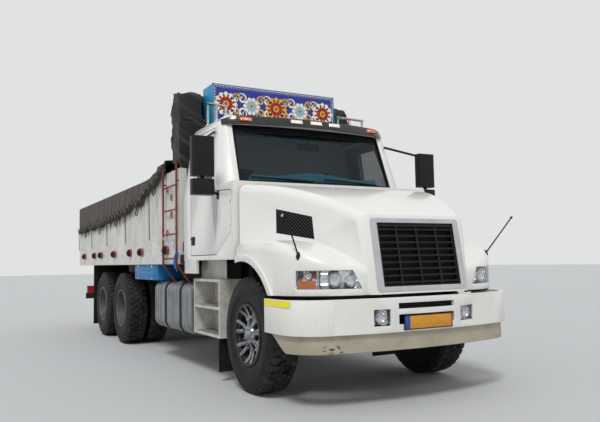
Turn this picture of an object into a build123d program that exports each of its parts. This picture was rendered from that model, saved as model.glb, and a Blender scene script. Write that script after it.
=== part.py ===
from build123d import *
import os
from math import hypot

# A six-wheel bonneted truck with a high-sided body under a roped tarpaulin.
# Millimetres. +X is forward, +Y is the driver's left, +Z is up. The origin is on
# the ground, midway between the front bumper's face and the body's tail.

os.makedirs("parts", exist_ok=True)

# Driving lengths, from the bumper's face to the tail
FRONT_OVERHANG = 1300
WHEELBASE = 4800
BOGIE_SPACING = 1370
REAR_OVERHANG = 2230
LENGTH = FRONT_OVERHANG + WHEELBASE + BOGIE_SPACING + REAR_OVERHANG
X_NOSE = LENGTH / 2
X_TAIL = -LENGTH / 2
X_AXLE = X_NOSE - FRONT_OVERHANG
X_DRIVE = (X_AXLE - WHEELBASE, X_AXLE - WHEELBASE - BOGIE_SPACING)

# Clearances
SEAT = 0.3
PIN_FIT = 0.05
DOOR_GAP = 8

# Wheels
TYRE_R = 562
TYRE_W = 315
TYRE_BORE_R = 286
RIM_LIP_R = 300
RIM_WALL = 12
RIM_INSET = 8
TRACK_FRONT_Y = 1012
TWIN_OUTER_Y = 1086
TWIN_PITCH = 350
AXLE_Z = TYRE_R

# Frame rails
FRAME_ABOVE_AXLE = 178
RAIL_H = 280
RAIL_FLANGE = 80
RAIL_WEB = 9
RAIL_Y = 430
FRAME_BOTTOM = AXLE_Z + FRAME_ABOVE_AXLE
FRAME_TOP = FRAME_BOTTOM + RAIL_H
RAIL_FRONT = X_NOSE - 220
RAIL_REAR = X_TAIL + 120

# Steering
KINGPIN_Y = 860
KINGPIN_R = 22
AXLE_EYE_R = 48
AXLE_EYE_H = 90
FORK_H = 52
FORK_GAP = 5
YOKE_Y = 56
YOKE_T = 38
SPINDLE_R = 38
STEER_ARM = 175
TIE_PIN_R = 12

# Cab
CAB_HALF = 1225
CAB_WALL = 50
CAB_FRONT = X_AXLE - 160
CAB_BACK = X_AXLE - 1670
CAB_FLOOR = FRAME_TOP + 270
BELT = FRAME_TOP + 1060
ROOF = FRAME_TOP + 1915
SCREEN_LEAN = 0.378

# Bonnet and wings
BONNET_REAR = X_AXLE - 120
BONNET_WALL = 22
BONNET_BOTTOM = FRAME_TOP - 55
HOOD_REAR_TOP = FRAME_TOP + 1025
WING_Y = CAB_HALF - 10
ARCH_R = 700
ARCH_X = X_AXLE + 30
ARCH_Z = AXLE_Z + 8
TILT_X = X_NOSE - 110
TILT_Z = FRAME_TOP - 20
TILT_PIN_R = 12
NOSE_LEDGE = 62

# Load body
BODY_FRONT = X_AXLE - 1750
BODY_HALF = 1250
FLOOR_TOP = FRAME_TOP + 345
FLOOR_RAIL_H = 115
WALL_TOP = FRAME_TOP + 1400
WALL_T = 45
POST_W = 90

BOTH_SIDES = (-1, 1)


# Wheels. A tyre and a rim are revolved about the axle line, and a twin pair is
# two of each on one hub.
def tyre_section(centre_y):
    # Half section of a truck tyre: radius is the sketch's X, axle line its Y
    with BuildSketch(Plane.XY) as section:
        with BuildLine():
            low = centre_y - TYRE_W / 2
            high = centre_y + TYRE_W / 2
            side_r = (TYRE_BORE_R + TYRE_R) / 2
            shoulder_r = TYRE_R - 40
            Line((TYRE_BORE_R + SEAT, low + 30), (TYRE_BORE_R + SEAT, high - 30))
            ThreePointArc((TYRE_BORE_R + SEAT, high - 30), (side_r, high), (shoulder_r, high - 14))
            Line((shoulder_r, high - 14), (TYRE_R - 6, high - 40))
            ThreePointArc((TYRE_R - 6, high - 40), (TYRE_R, centre_y), (TYRE_R - 6, low + 40))
            Line((TYRE_R - 6, low + 40), (shoulder_r, low + 14))
            ThreePointArc((shoulder_r, low + 14), (side_r, low), (TYRE_BORE_R + SEAT, low + 30))
        make_face()
    return section.sketch


def wheel_plane(x, side):
    # Sketch plane whose X is the wheel's radius and whose Y points outboard
    return Plane(origin=(x, 0, AXLE_Z), x_dir=(1, 0, 0), z_dir=(0, 0, side))


def wheel_axis(x):
    return Axis((x, 0, AXLE_Z), (0, 1, 0))


def tyres(name, x, side, centres):
    with BuildPart() as rubber:
        for centre_y in centres:
            with BuildSketch(wheel_plane(x, side)):
                add(tyre_section(centre_y))
            revolve(axis=wheel_axis(x))
    rubber.part.label = name
    export_step(rubber.part, "parts/" + name + ".step")
    return rubber


def rim_barrel(centre_y):
    # Drop-centre barrel with a lip at each edge
    low = centre_y - TYRE_W / 2 + RIM_INSET
    high = centre_y + TYRE_W / 2 - RIM_INSET
    with BuildSketch(Plane.XY) as section:
        with BuildLine():
            Polyline(
                (TYRE_BORE_R, low + 12),
                (TYRE_BORE_R, high - 12),
                (RIM_LIP_R, high - 12),
                (RIM_LIP_R, high),
                (TYRE_BORE_R - RIM_WALL, high),
                (TYRE_BORE_R - 2 * RIM_WALL, centre_y + 40),
                (TYRE_BORE_R - 2 * RIM_WALL, centre_y - 40),
                (TYRE_BORE_R - RIM_WALL, low),
                (RIM_LIP_R, low),
                (RIM_LIP_R, low + 12),
                close=True,
            )
        make_face()
    return section.sketch


HUB_R = 140
DISC_T = 16
HAND_HOLES = 10
HAND_HOLE_R = 27
HAND_HOLE_PCR = 205
DRUM_R = 205


def rims(name, x, side, centres, disc_y, hub_y0, hub_y1, nose_r, bore_r, bore_y1):
    # Barrels, one disc between hub and barrels, and the hub with a blind bore
    with BuildPart() as metal:
        for centre_y in centres:
            with BuildSketch(wheel_plane(x, side)):
                add(rim_barrel(centre_y))
            revolve(axis=wheel_axis(x))
        disc_r = TYRE_BORE_R - RIM_WALL
        with BuildSketch(wheel_plane(x, side)):
            with BuildLine():
                Polyline(
                    (0, disc_y - DISC_T / 2),
                    (disc_r, disc_y - DISC_T / 2),
                    (disc_r, disc_y + DISC_T / 2),
                    (0, disc_y + DISC_T / 2),
                    close=True,
                )
            make_face()
            with BuildLine():
                Polyline(
                    (0, hub_y0),
                    (HUB_R, hub_y0),
                    (HUB_R, disc_y + DISC_T),
                    (nose_r, disc_y + 2 * DISC_T),
                    (nose_r, hub_y1 - 15),
                    (nose_r - 20, hub_y1),
                    (0, hub_y1),
                    close=True,
                )
            make_face()
            with BuildLine():
                Polyline(
                    (0, hub_y0),
                    (DRUM_R, hub_y0),
                    (DRUM_R, disc_y),
                    (0, disc_y),
                    close=True,
                )
            make_face()
            if len(centres) > 1:
                with Locations((TYRE_BORE_R - 1.5 * RIM_WALL, disc_y)):
                    Rectangle(RIM_WALL, TWIN_PITCH - TYRE_W + 2 * RIM_INSET + 40)
        revolve(axis=wheel_axis(x))
        face = Plane(origin=(x, side * disc_y, AXLE_Z), x_dir=(1, 0, 0), z_dir=(0, side, 0))
        with BuildSketch(face.offset(DISC_T)):
            with PolarLocations(HAND_HOLE_PCR + 38, HAND_HOLES):
                Circle(HAND_HOLE_R)
        extrude(amount=-3 * DISC_T, mode=Mode.SUBTRACT)
        bore_face = Plane(origin=(x, side * hub_y0, AXLE_Z), x_dir=(1, 0, 0), z_dir=(0, side, 0))
        with BuildSketch(bore_face.offset(-2)):
            Circle(bore_r + PIN_FIT)
        extrude(amount=bore_y1 - hub_y0 + 2 + PIN_FIT, mode=Mode.SUBTRACT)
    metal.part.label = name
    export_step(metal.part, "parts/" + name + ".step")
    return metal


FRONT_DISC_Y = TRACK_FRONT_Y + 38
FRONT_HUB_Y0 = KINGPIN_Y + YOKE_Y + YOKE_T + 6
SPINDLE_END_Y = FRONT_DISC_Y + 40
FRONT_HUB_Y1 = FRONT_DISC_Y + 82
REAR_SPINDLE_R = 55
REAR_HUB_Y0 = TWIN_OUTER_Y - TWIN_PITCH - 80
REAR_DISC_Y = TWIN_OUTER_Y - TWIN_PITCH / 2
REAR_SPINDLE_END_Y = REAR_DISC_Y + 60
REAR_HUB_Y1 = REAR_DISC_Y + 170
TWIN_CENTRES = (TWIN_OUTER_Y, TWIN_OUTER_Y - TWIN_PITCH)

SIDE_NAMES = {-1: "right", 1: "left"}
for side in BOTH_SIDES:
    end = "front_" + SIDE_NAMES[side]
    tyres("tyre_" + end, X_AXLE, side, (TRACK_FRONT_Y,))
    rims("rim_" + end, X_AXLE, side, (TRACK_FRONT_Y,), FRONT_DISC_Y, FRONT_HUB_Y0, FRONT_HUB_Y1,
         95, SPINDLE_R, SPINDLE_END_Y)
    for number, x in enumerate(X_DRIVE):
        end = ("middle_", "rear_")[number] + SIDE_NAMES[side]
        tyres("tyres_" + end, x, side, TWIN_CENTRES)
        rims("rims_" + end, x, side, TWIN_CENTRES, REAR_DISC_Y, REAR_HUB_Y0, REAR_HUB_Y1,
             110, REAR_SPINDLE_R, REAR_SPINDLE_END_Y)


# Front axle: a dropped forged beam with an eye and a king pin at each end
BEAM_W = 84
BEAM_H = 86
BEAM_DROP = 70
SPRING_Y = 400
with BuildPart() as front_axle:
    with BuildSketch(Plane.YZ.offset(X_AXLE - BEAM_W / 2)) as beam:
        with BuildLine():
            Polyline(
                (-KINGPIN_Y, AXLE_Z + AXLE_EYE_H / 2),
                (-SPRING_Y - 180, AXLE_Z - BEAM_DROP + BEAM_H / 2),
                (SPRING_Y + 180, AXLE_Z - BEAM_DROP + BEAM_H / 2),
                (KINGPIN_Y, AXLE_Z + AXLE_EYE_H / 2),
                (KINGPIN_Y, AXLE_Z - AXLE_EYE_H / 2),
                (KINGPIN_Y - AXLE_EYE_R - 12, AXLE_Z - AXLE_EYE_H / 2),
                (SPRING_Y + 180, AXLE_Z - BEAM_DROP - BEAM_H / 2),
                (-SPRING_Y - 180, AXLE_Z - BEAM_DROP - BEAM_H / 2),
                (-KINGPIN_Y + AXLE_EYE_R + 12, AXLE_Z - AXLE_EYE_H / 2),
                (-KINGPIN_Y, AXLE_Z - AXLE_EYE_H / 2),
                close=True,
            )
        make_face()
    extrude(amount=BEAM_W)
    for side in BOTH_SIDES:
        with BuildSketch(Plane.XY.offset(AXLE_Z - AXLE_EYE_H / 2)):
            with Locations((X_AXLE, side * KINGPIN_Y)):
                Circle(AXLE_EYE_R)
        extrude(amount=AXLE_EYE_H)
        with BuildSketch(Plane.XY.offset(AXLE_Z - AXLE_EYE_H / 2 - FORK_H)):
            with Locations((X_AXLE, side * KINGPIN_Y)):
                Circle(KINGPIN_R)
        extrude(amount=AXLE_EYE_H + 2 * FORK_H)
front_axle.part.label = "front_axle"
export_step(front_axle.part, "parts/front_axle.step")

# Knuckles: a fork round the axle's eye, the wheel's stub axle and a steering arm
FORK_INNER = AXLE_EYE_H / 2 + FORK_GAP
ARM_Z = AXLE_Z - FORK_INNER - FORK_H
ARM_T = 26
for side in BOTH_SIDES:
    with BuildPart() as knuckle:
        for level in (FORK_INNER, -FORK_INNER - FORK_H):
            with BuildSketch(Plane.XY.offset(AXLE_Z + level)):
                with Locations((X_AXLE, side * KINGPIN_Y)):
                    Circle(AXLE_EYE_R)
                with Locations((X_AXLE, side * (KINGPIN_Y + (YOKE_Y + YOKE_T) / 2))):
                    Rectangle(2 * AXLE_EYE_R, YOKE_Y + YOKE_T)
            extrude(amount=FORK_H)
        with BuildSketch(Plane.XY.offset(AXLE_Z - FORK_INNER)):
            with Locations((X_AXLE, side * (KINGPIN_Y + YOKE_Y + YOKE_T / 2))):
                Rectangle(2 * AXLE_EYE_R, YOKE_T)
        extrude(amount=2 * FORK_INNER)
        root = Plane(
            origin=(X_AXLE, side * (KINGPIN_Y + YOKE_Y + YOKE_T / 2), AXLE_Z),
            x_dir=(1, 0, 0),
            z_dir=(0, side, 0),
        )
        with BuildSketch(root):
            Circle(SPINDLE_R)
        extrude(amount=SPINDLE_END_Y - KINGPIN_Y - YOKE_Y - YOKE_T / 2)
        with BuildSketch(Plane.XY.offset(ARM_Z)):
            with Locations((X_AXLE - STEER_ARM / 2, side * KINGPIN_Y)):
                Rectangle(STEER_ARM, 2 * ARM_T)
            with Locations((X_AXLE - STEER_ARM, side * KINGPIN_Y)):
                Circle(ARM_T)
        extrude(amount=ARM_T)
        with BuildSketch(Plane.XY.offset(ARM_Z - 44)):
            with Locations((X_AXLE - STEER_ARM, side * KINGPIN_Y)):
                Circle(TIE_PIN_R)
        extrude(amount=44)
        with BuildSketch(Plane.XY.offset(AXLE_Z - FORK_INNER - FORK_H - 1)):
            with Locations((X_AXLE, side * KINGPIN_Y)):
                Circle(KINGPIN_R + PIN_FIT)
        extrude(amount=2 * (FORK_INNER + FORK_H + 1), mode=Mode.SUBTRACT)
    name = "knuckle_" + SIDE_NAMES[side]
    knuckle.part.label = name
    export_step(knuckle.part, "parts/" + name + ".step")

# Tie rod across both steering arms, with an eye on each arm's pin
TIE_ROD_R = 16
TIE_EYE_R = 28
TIE_EYE_H = 32
TIE_Z = ARM_Z - 6 - TIE_EYE_H / 2
with BuildPart() as tie_rod:
    with BuildSketch(Plane.XZ.offset(-KINGPIN_Y)):
        with Locations((X_AXLE - STEER_ARM, TIE_Z)):
            Circle(TIE_ROD_R)
    extrude(amount=2 * KINGPIN_Y)
    for side in BOTH_SIDES:
        with BuildSketch(Plane.XY.offset(TIE_Z - TIE_EYE_H / 2)):
            with Locations((X_AXLE - STEER_ARM, side * KINGPIN_Y)):
                Circle(TIE_EYE_R)
        extrude(amount=TIE_EYE_H)
    for side in BOTH_SIDES:
        with BuildSketch(Plane.XY.offset(TIE_Z - TIE_EYE_H / 2 - 1)):
            with Locations((X_AXLE - STEER_ARM, side * KINGPIN_Y)):
                Circle(TIE_PIN_R + PIN_FIT)
        extrude(amount=TIE_EYE_H + 2, mode=Mode.SUBTRACT)
tie_rod.part.label = "tie_rod"
export_step(tie_rod.part, "parts/tie_rod.step")

# Drive axles: a banjo housing with a round differential bowl and two stubs
HOUSING_R = 75
BANJO_R = 225
BANJO_T = 210
GEARBOX_REAR = X_AXLE - 900
SHAFT_R = 45
SHAFT_Z = AXLE_Z + 40
with BuildPart() as drive_axles:
    for x in X_DRIVE:
        with BuildSketch(Plane.XZ.offset(-REAR_HUB_Y0 + 6)):
            with Locations((x, AXLE_Z)):
                Circle(HOUSING_R)
        extrude(amount=2 * REAR_HUB_Y0 - 12)
        with BuildSketch(Plane.XZ.offset(-REAR_SPINDLE_END_Y)):
            with Locations((x, AXLE_Z)):
                Circle(REAR_SPINDLE_R)
        extrude(amount=2 * REAR_SPINDLE_END_Y)
        with BuildSketch(Plane.YZ.offset(x - BANJO_T / 2)):
            with Locations((0, AXLE_Z)):
                Circle(BANJO_R)
        extrude(amount=BANJO_T)
    # Prop shafts, from the gearbox to the first axle and between the axles
    runs = (
        (GEARBOX_REAR, X_DRIVE[0] + BANJO_T / 2),
        (X_DRIVE[0] - BANJO_T / 2, X_DRIVE[1] + BANJO_T / 2),
    )
    for ahead, behind in runs:
        with BuildSketch(Plane.YZ.offset(behind)):
            with Locations((0, SHAFT_Z)):
                Circle(SHAFT_R)
        extrude(amount=ahead - behind)
drive_axles.part.label = "drive_axles"
export_step(drive_axles.part, "parts/drive_axles.step")

# Leaf springs: a front pair over the axle, and a bogie pair across both axles
LEAF_W = 80
with BuildPart() as leaf_springs:
    for side in BOTH_SIDES:
        seat_z = AXLE_Z - BEAM_DROP + BEAM_H / 2
        with BuildSketch(Plane.XZ.offset(-side * SPRING_Y - LEAF_W / 2)):
            with BuildLine():
                Polyline(
                    (X_AXLE - 120, seat_z),
                    (X_AXLE + 120, seat_z),
                    (X_AXLE + 700, FRAME_BOTTOM - 30),
                    (X_AXLE + 700, FRAME_BOTTOM),
                    (X_AXLE + 650, FRAME_BOTTOM),
                    (X_AXLE + 120, seat_z + 60),
                    (X_AXLE - 120, seat_z + 60),
                    (X_AXLE - 650, FRAME_BOTTOM),
                    (X_AXLE - 700, FRAME_BOTTOM),
                    (X_AXLE - 700, FRAME_BOTTOM - 30),
                    close=True,
                )
            make_face()
        extrude(amount=LEAF_W)
        middle = (X_DRIVE[0] + X_DRIVE[1]) / 2
        with BuildSketch(Plane.XZ.offset(-side * (RAIL_Y + LEAF_W / 2 + 15) - LEAF_W / 2)):
            with BuildLine():
                Polyline(
                    (X_DRIVE[1] - 90, AXLE_Z + HOUSING_R),
                    (X_DRIVE[1] + 90, AXLE_Z + HOUSING_R),
                    (middle - 260, AXLE_Z + 60),
                    (middle + 260, AXLE_Z + 60),
                    (X_DRIVE[0] - 90, AXLE_Z + HOUSING_R),
                    (X_DRIVE[0] + 90, AXLE_Z + HOUSING_R),
                    (X_DRIVE[0] + 90, AXLE_Z + HOUSING_R + 24),
                    (middle + 260, AXLE_Z + HOUSING_R + 85),
                    (middle - 260, AXLE_Z + HOUSING_R + 85),
                    (X_DRIVE[1] - 90, AXLE_Z + HOUSING_R + 24),
                    close=True,
                )
            make_face()
        extrude(amount=LEAF_W)
        with BuildSketch(Plane.XZ.offset(-side * (RAIL_Y + LEAF_W / 2 + 15) - LEAF_W / 2)):
            with Locations((middle, (AXLE_Z + FRAME_BOTTOM + 120) / 2)):
                Rectangle(300, FRAME_BOTTOM + 120 - AXLE_Z)
        extrude(amount=LEAF_W)
        with BuildSketch(Plane.XZ.offset(-side * (RAIL_Y + 15 / 2) - 15 / 2)):
            with Locations((middle, FRAME_BOTTOM + 60)):
                Rectangle(300, 120)
        extrude(amount=15)
leaf_springs.part.label = "leaf_springs"
export_step(leaf_springs.part, "parts/leaf_springs.step")

# Frame: channel rails, cross-members, cab posts and the bonnet's hinge horns
CROSS_X = (
    RAIL_FRONT - 36,
    X_AXLE - 1400,
    X_AXLE - 2500,
    X_AXLE - 3600,
    X_DRIVE[0] + 685,
    X_DRIVE[1] - 685,
    RAIL_REAR + 60,
)
CROSS_W = 70
CAB_POST_X = (CAB_FRONT - 160, CAB_BACK + 180)
HORN_T = 30
HORN_Y = RAIL_Y - RAIL_WEB - HORN_T / 2
with BuildPart() as frame:
    for side in BOTH_SIDES:
        with BuildSketch(Plane.YZ.offset(RAIL_REAR)):
            with Locations((side * (RAIL_Y - RAIL_FLANGE / 2), FRAME_BOTTOM + RAIL_H / 2)):
                Rectangle(RAIL_FLANGE, RAIL_H)
            with Locations((side * (RAIL_Y - RAIL_WEB - RAIL_FLANGE / 2), FRAME_BOTTOM + RAIL_H / 2)):
                Rectangle(RAIL_FLANGE, RAIL_H - 2 * RAIL_WEB, mode=Mode.SUBTRACT)
        extrude(amount=RAIL_FRONT - RAIL_REAR)
        with BuildSketch(Plane.XZ.offset(-side * HORN_Y - HORN_T / 2)):
            with BuildLine():
                Polyline(
                    (RAIL_FRONT - 200, FRAME_BOTTOM + RAIL_WEB),
                    (RAIL_FRONT, FRAME_BOTTOM + 60),
                    (TILT_X, TILT_Z - 20),
                    (TILT_X, TILT_Z + 20),
                    (RAIL_FRONT, FRAME_TOP - RAIL_WEB),
                    (RAIL_FRONT - 200, FRAME_TOP - RAIL_WEB),
                    close=True,
                )
            make_face()
            with Locations((TILT_X, TILT_Z)):
                Circle(20)
        extrude(amount=HORN_T)
        with BuildSketch(Plane.XZ.offset(-side * HORN_Y - HORN_T / 2 - 1)):
            with Locations((TILT_X, TILT_Z)):
                Circle(TILT_PIN_R + PIN_FIT)
        extrude(amount=HORN_T + 2, mode=Mode.SUBTRACT)
        for x in CAB_POST_X:
            with BuildSketch(Plane.XY.offset(FRAME_TOP - RAIL_WEB)):
                with Locations((x, side * (RAIL_Y - RAIL_FLANGE / 2))):
                    Rectangle(120, RAIL_FLANGE)
            extrude(amount=CAB_FLOOR - FRAME_TOP + RAIL_WEB)
frame.part.label = "frame"
export_step(frame.part, "parts/frame.step")

# Cross-members between the rails, each an open box section
CROSS_WALL = 40
with BuildPart() as cross_members:
    for x in CROSS_X:
        # The foremost one ends at the horns, the others at the rails
        half = (HORN_Y - HORN_T / 2 if x == CROSS_X[0] else RAIL_Y - RAIL_WEB) - SEAT
        with BuildSketch(Plane.YZ.offset(x - CROSS_W / 2)):
            with Locations((0, FRAME_BOTTOM + RAIL_H / 2)):
                Rectangle(2 * half, RAIL_H - 2 * RAIL_WEB - 2 * SEAT)
                Rectangle(
                    2 * (RAIL_Y - RAIL_FLANGE - CROSS_WALL),
                    RAIL_H - 2 * (RAIL_WEB + SEAT + CROSS_WALL),
                    mode=Mode.SUBTRACT,
                )
        extrude(amount=CROSS_W)
cross_members.part.label = "cross_members"
export_step(cross_members.part, "parts/cross_members.step")

# Engine with its gearbox as plain blocks, and the radiator in front of it
ENGINE_Y = RAIL_Y - RAIL_FLANGE - SEAT
ENGINE_FRONT = X_AXLE + 820
ENGINE_REAR = X_AXLE - 110
RADIATOR_T = 90
RADIATOR_X = RAIL_FRONT - 36 - CROSS_W / 2 - 15 - RADIATOR_T
with BuildPart() as engine:
    with BuildSketch(Plane.XZ.offset(-ENGINE_Y)):
        with Locations(((ENGINE_FRONT + ENGINE_REAR) / 2, FRAME_TOP + 60)):
            Rectangle(ENGINE_FRONT - ENGINE_REAR, 900)
    extrude(amount=2 * ENGINE_Y)
    with BuildSketch(Plane.XZ.offset(-220)):
        with Locations(((ENGINE_REAR + GEARBOX_REAR) / 2, FRAME_BOTTOM + 40)):
            Rectangle(ENGINE_REAR - GEARBOX_REAR, 380)
    extrude(amount=440)
    with BuildSketch(Plane.YZ.offset(RADIATOR_X)):
        with Locations((0, FRAME_BOTTOM + 20)):
            Rectangle(2 * ENGINE_Y, 770, align=(Align.CENTER, Align.MIN))
    extrude(amount=RADIATOR_T)
engine.part.label = "engine"
export_step(engine.part, "parts/engine.step")


# Bonnet. The hood narrows towards the grille, and the wings stand beside it. The
# same form with an inset is the hollow inside its wall.
NOSE_TOP_Z = FRAME_TOP + 640
GRILLE_LEAN = 98 / 583
HOOD_REAR_HALF = CAB_HALF - 30
HOOD_FRONT_HALF = 515
WING_REAR_TOP = FRAME_TOP + 440
LAMP_TOP = FRAME_TOP + 160
LAMP_BOTTOM = FRAME_TOP
LINER_Y = 520
LINER_T = 14
LIP_W = 60
LIP_T = 15


def bonnet_form(inset):
    # The hood between its side line and plan line
    with BuildPart() as form:
        with BuildSketch(Plane.XZ) as side_view:
            with BuildLine():
                nose_low = (X_NOSE - 38, BONNET_BOTTOM)
                nose_high = (X_NOSE - 38 - (NOSE_TOP_Z - BONNET_BOTTOM) * GRILLE_LEAN, NOSE_TOP_Z)
                Line((BONNET_REAR, BONNET_BOTTOM), nose_low)
                Line(nose_low, nose_high)
                ThreePointArc(nose_high, (X_AXLE + 540, FRAME_TOP + 893), (BONNET_REAR, HOOD_REAR_TOP))
                Line((BONNET_REAR, HOOD_REAR_TOP), (BONNET_REAR, BONNET_BOTTOM))
            make_face()
            brow = side_view.vertices().filter_by(lambda v: v.Z > FRAME_TOP + 300)
            brow = brow.filter_by(lambda v: v.X > X_AXLE + 500)
            fillet(brow, radius=70)
            if inset:
                offset(amount=-inset, kind=Kind.INTERSECTION, mode=Mode.REPLACE)
                with Locations((BONNET_REAR, BONNET_BOTTOM)):
                    Rectangle(
                        2 * inset + 2,
                        HOOD_REAR_TOP - BONNET_BOTTOM - 60,
                        align=(Align.CENTER, Align.MIN),
                    )
                with Locations(((BONNET_REAR + X_NOSE - NOSE_LEDGE) / 2, BONNET_BOTTOM)):
                    Rectangle(X_NOSE - NOSE_LEDGE - BONNET_REAR, 2 * inset + 2)
        extrude(amount=WING_Y, both=True)
        with BuildSketch(Plane.XY.offset(BONNET_BOTTOM - 50)):
            with BuildLine():
                Polyline(
                    (BONNET_REAR - 50, -HOOD_REAR_HALF + inset),
                    (X_NOSE, -HOOD_FRONT_HALF + inset),
                    (X_NOSE, HOOD_FRONT_HALF - inset),
                    (BONNET_REAR - 50, HOOD_REAR_HALF - inset),
                    close=True,
                )
            make_face()
        extrude(amount=1400, mode=Mode.INTERSECT)
        crest = form.edges().filter_by(lambda e: e.center().Z > FRAME_TOP + 50)
        crest = crest.filter_by(lambda e: abs(e.center().Y) > 300 and e.center().X > BONNET_REAR + 60)
        fillet(crest, radius=100 - inset)
    return form.part


WING_FRONT = X_NOSE - 100
WING_CORNER_R = 640
WING_LEVEL_X = X_AXLE + 420
WING_CREST_R = 100


def wing_form(inset):
    # Both wings as one low form, as wide as the truck, level over the wheels and
    # falling in one arc to the lamps, with a rounded crest
    with BuildPart() as form:
        with BuildSketch(Plane.XZ):
            with BuildLine():
                rear_top = (BONNET_REAR, WING_REAR_TOP - inset)
                level_end = (WING_LEVEL_X, WING_REAR_TOP - inset)
                front_top = (WING_FRONT + 30, LAMP_TOP - 20 - inset)
                front_low = (WING_FRONT + 30, BONNET_BOTTOM)
                Line((BONNET_REAR, BONNET_BOTTOM), rear_top)
                Line(rear_top, level_end)
                TangentArc(level_end, front_top, tangent=(1, 0))
                Line(front_top, front_low)
                Line(front_low, (BONNET_REAR, BONNET_BOTTOM))
            make_face()
        extrude(amount=WING_Y + 10, both=True)
        with BuildSketch(Plane.XY.offset(BONNET_BOTTOM - 50)) as plan:
            with Locations((WING_FRONT - inset, 0)):
                Rectangle(2 * ARCH_R, 2 * (WING_Y - inset), align=(Align.MAX, Align.CENTER))
            fillet(plan.vertices().group_by(Axis.X)[-1], radius=WING_CORNER_R - inset)
        extrude(amount=2 * ARCH_R, mode=Mode.INTERSECT)
        crest = form.edges().filter_by(
            lambda e: min((e @ 0).Z, (e @ 1).Z) > LAMP_TOP - 25 - inset
            and max((e @ 0).X, (e @ 1).X) > BONNET_REAR + 5
            and (abs(e.center().Y) > LINER_Y or e.center().X > WING_FRONT - 100)
        )
        fillet(crest, radius=WING_CREST_R - inset)
        if inset:
            # Open behind and below, where only the outer wall's edge shows
            with BuildSketch(Plane.XZ):
                with Locations((BONNET_REAR, BONNET_BOTTOM)):
                    Rectangle(
                        2 * inset + 2,
                        WING_REAR_TOP - BONNET_BOTTOM - 60,
                        align=(Align.CENTER, Align.MIN),
                    )
                with Locations(((BONNET_REAR + X_NOSE - 200) / 2, BONNET_BOTTOM)):
                    Rectangle(X_NOSE - 200 - BONNET_REAR, 2 * inset + 2)
            extrude(amount=WING_Y - WING_CORNER_R, both=True)
    return form.part


hood_outer = bonnet_form(0)
hood_inner = bonnet_form(BONNET_WALL)
wings_outer = wing_form(0)
wings_inner = wing_form(BONNET_WALL)

GRILLE_HALF = 445
GRILLE_BOTTOM = FRAME_TOP - 16
GRILLE_TOP = FRAME_TOP + 567
LAMP_OUTLINE = (
    (1108, LAMP_BOTTOM),
    (1108, LAMP_TOP),
    (700, LAMP_TOP),
    (620, LAMP_BOTTOM),
)
LAMP_REAR = X_AXLE + 850
INTAKE_OUTLINE = (
    (X_AXLE + 300, FRAME_TOP + 510),
    (X_AXLE + 300, FRAME_TOP + 740),
    (X_AXLE + 680, FRAME_TOP + 645),
    (X_AXLE + 700, FRAME_TOP + 437),
)
ROD_X = X_AXLE + 925
ROD_Y = 1085
TILT_LUG_T = 25

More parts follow.
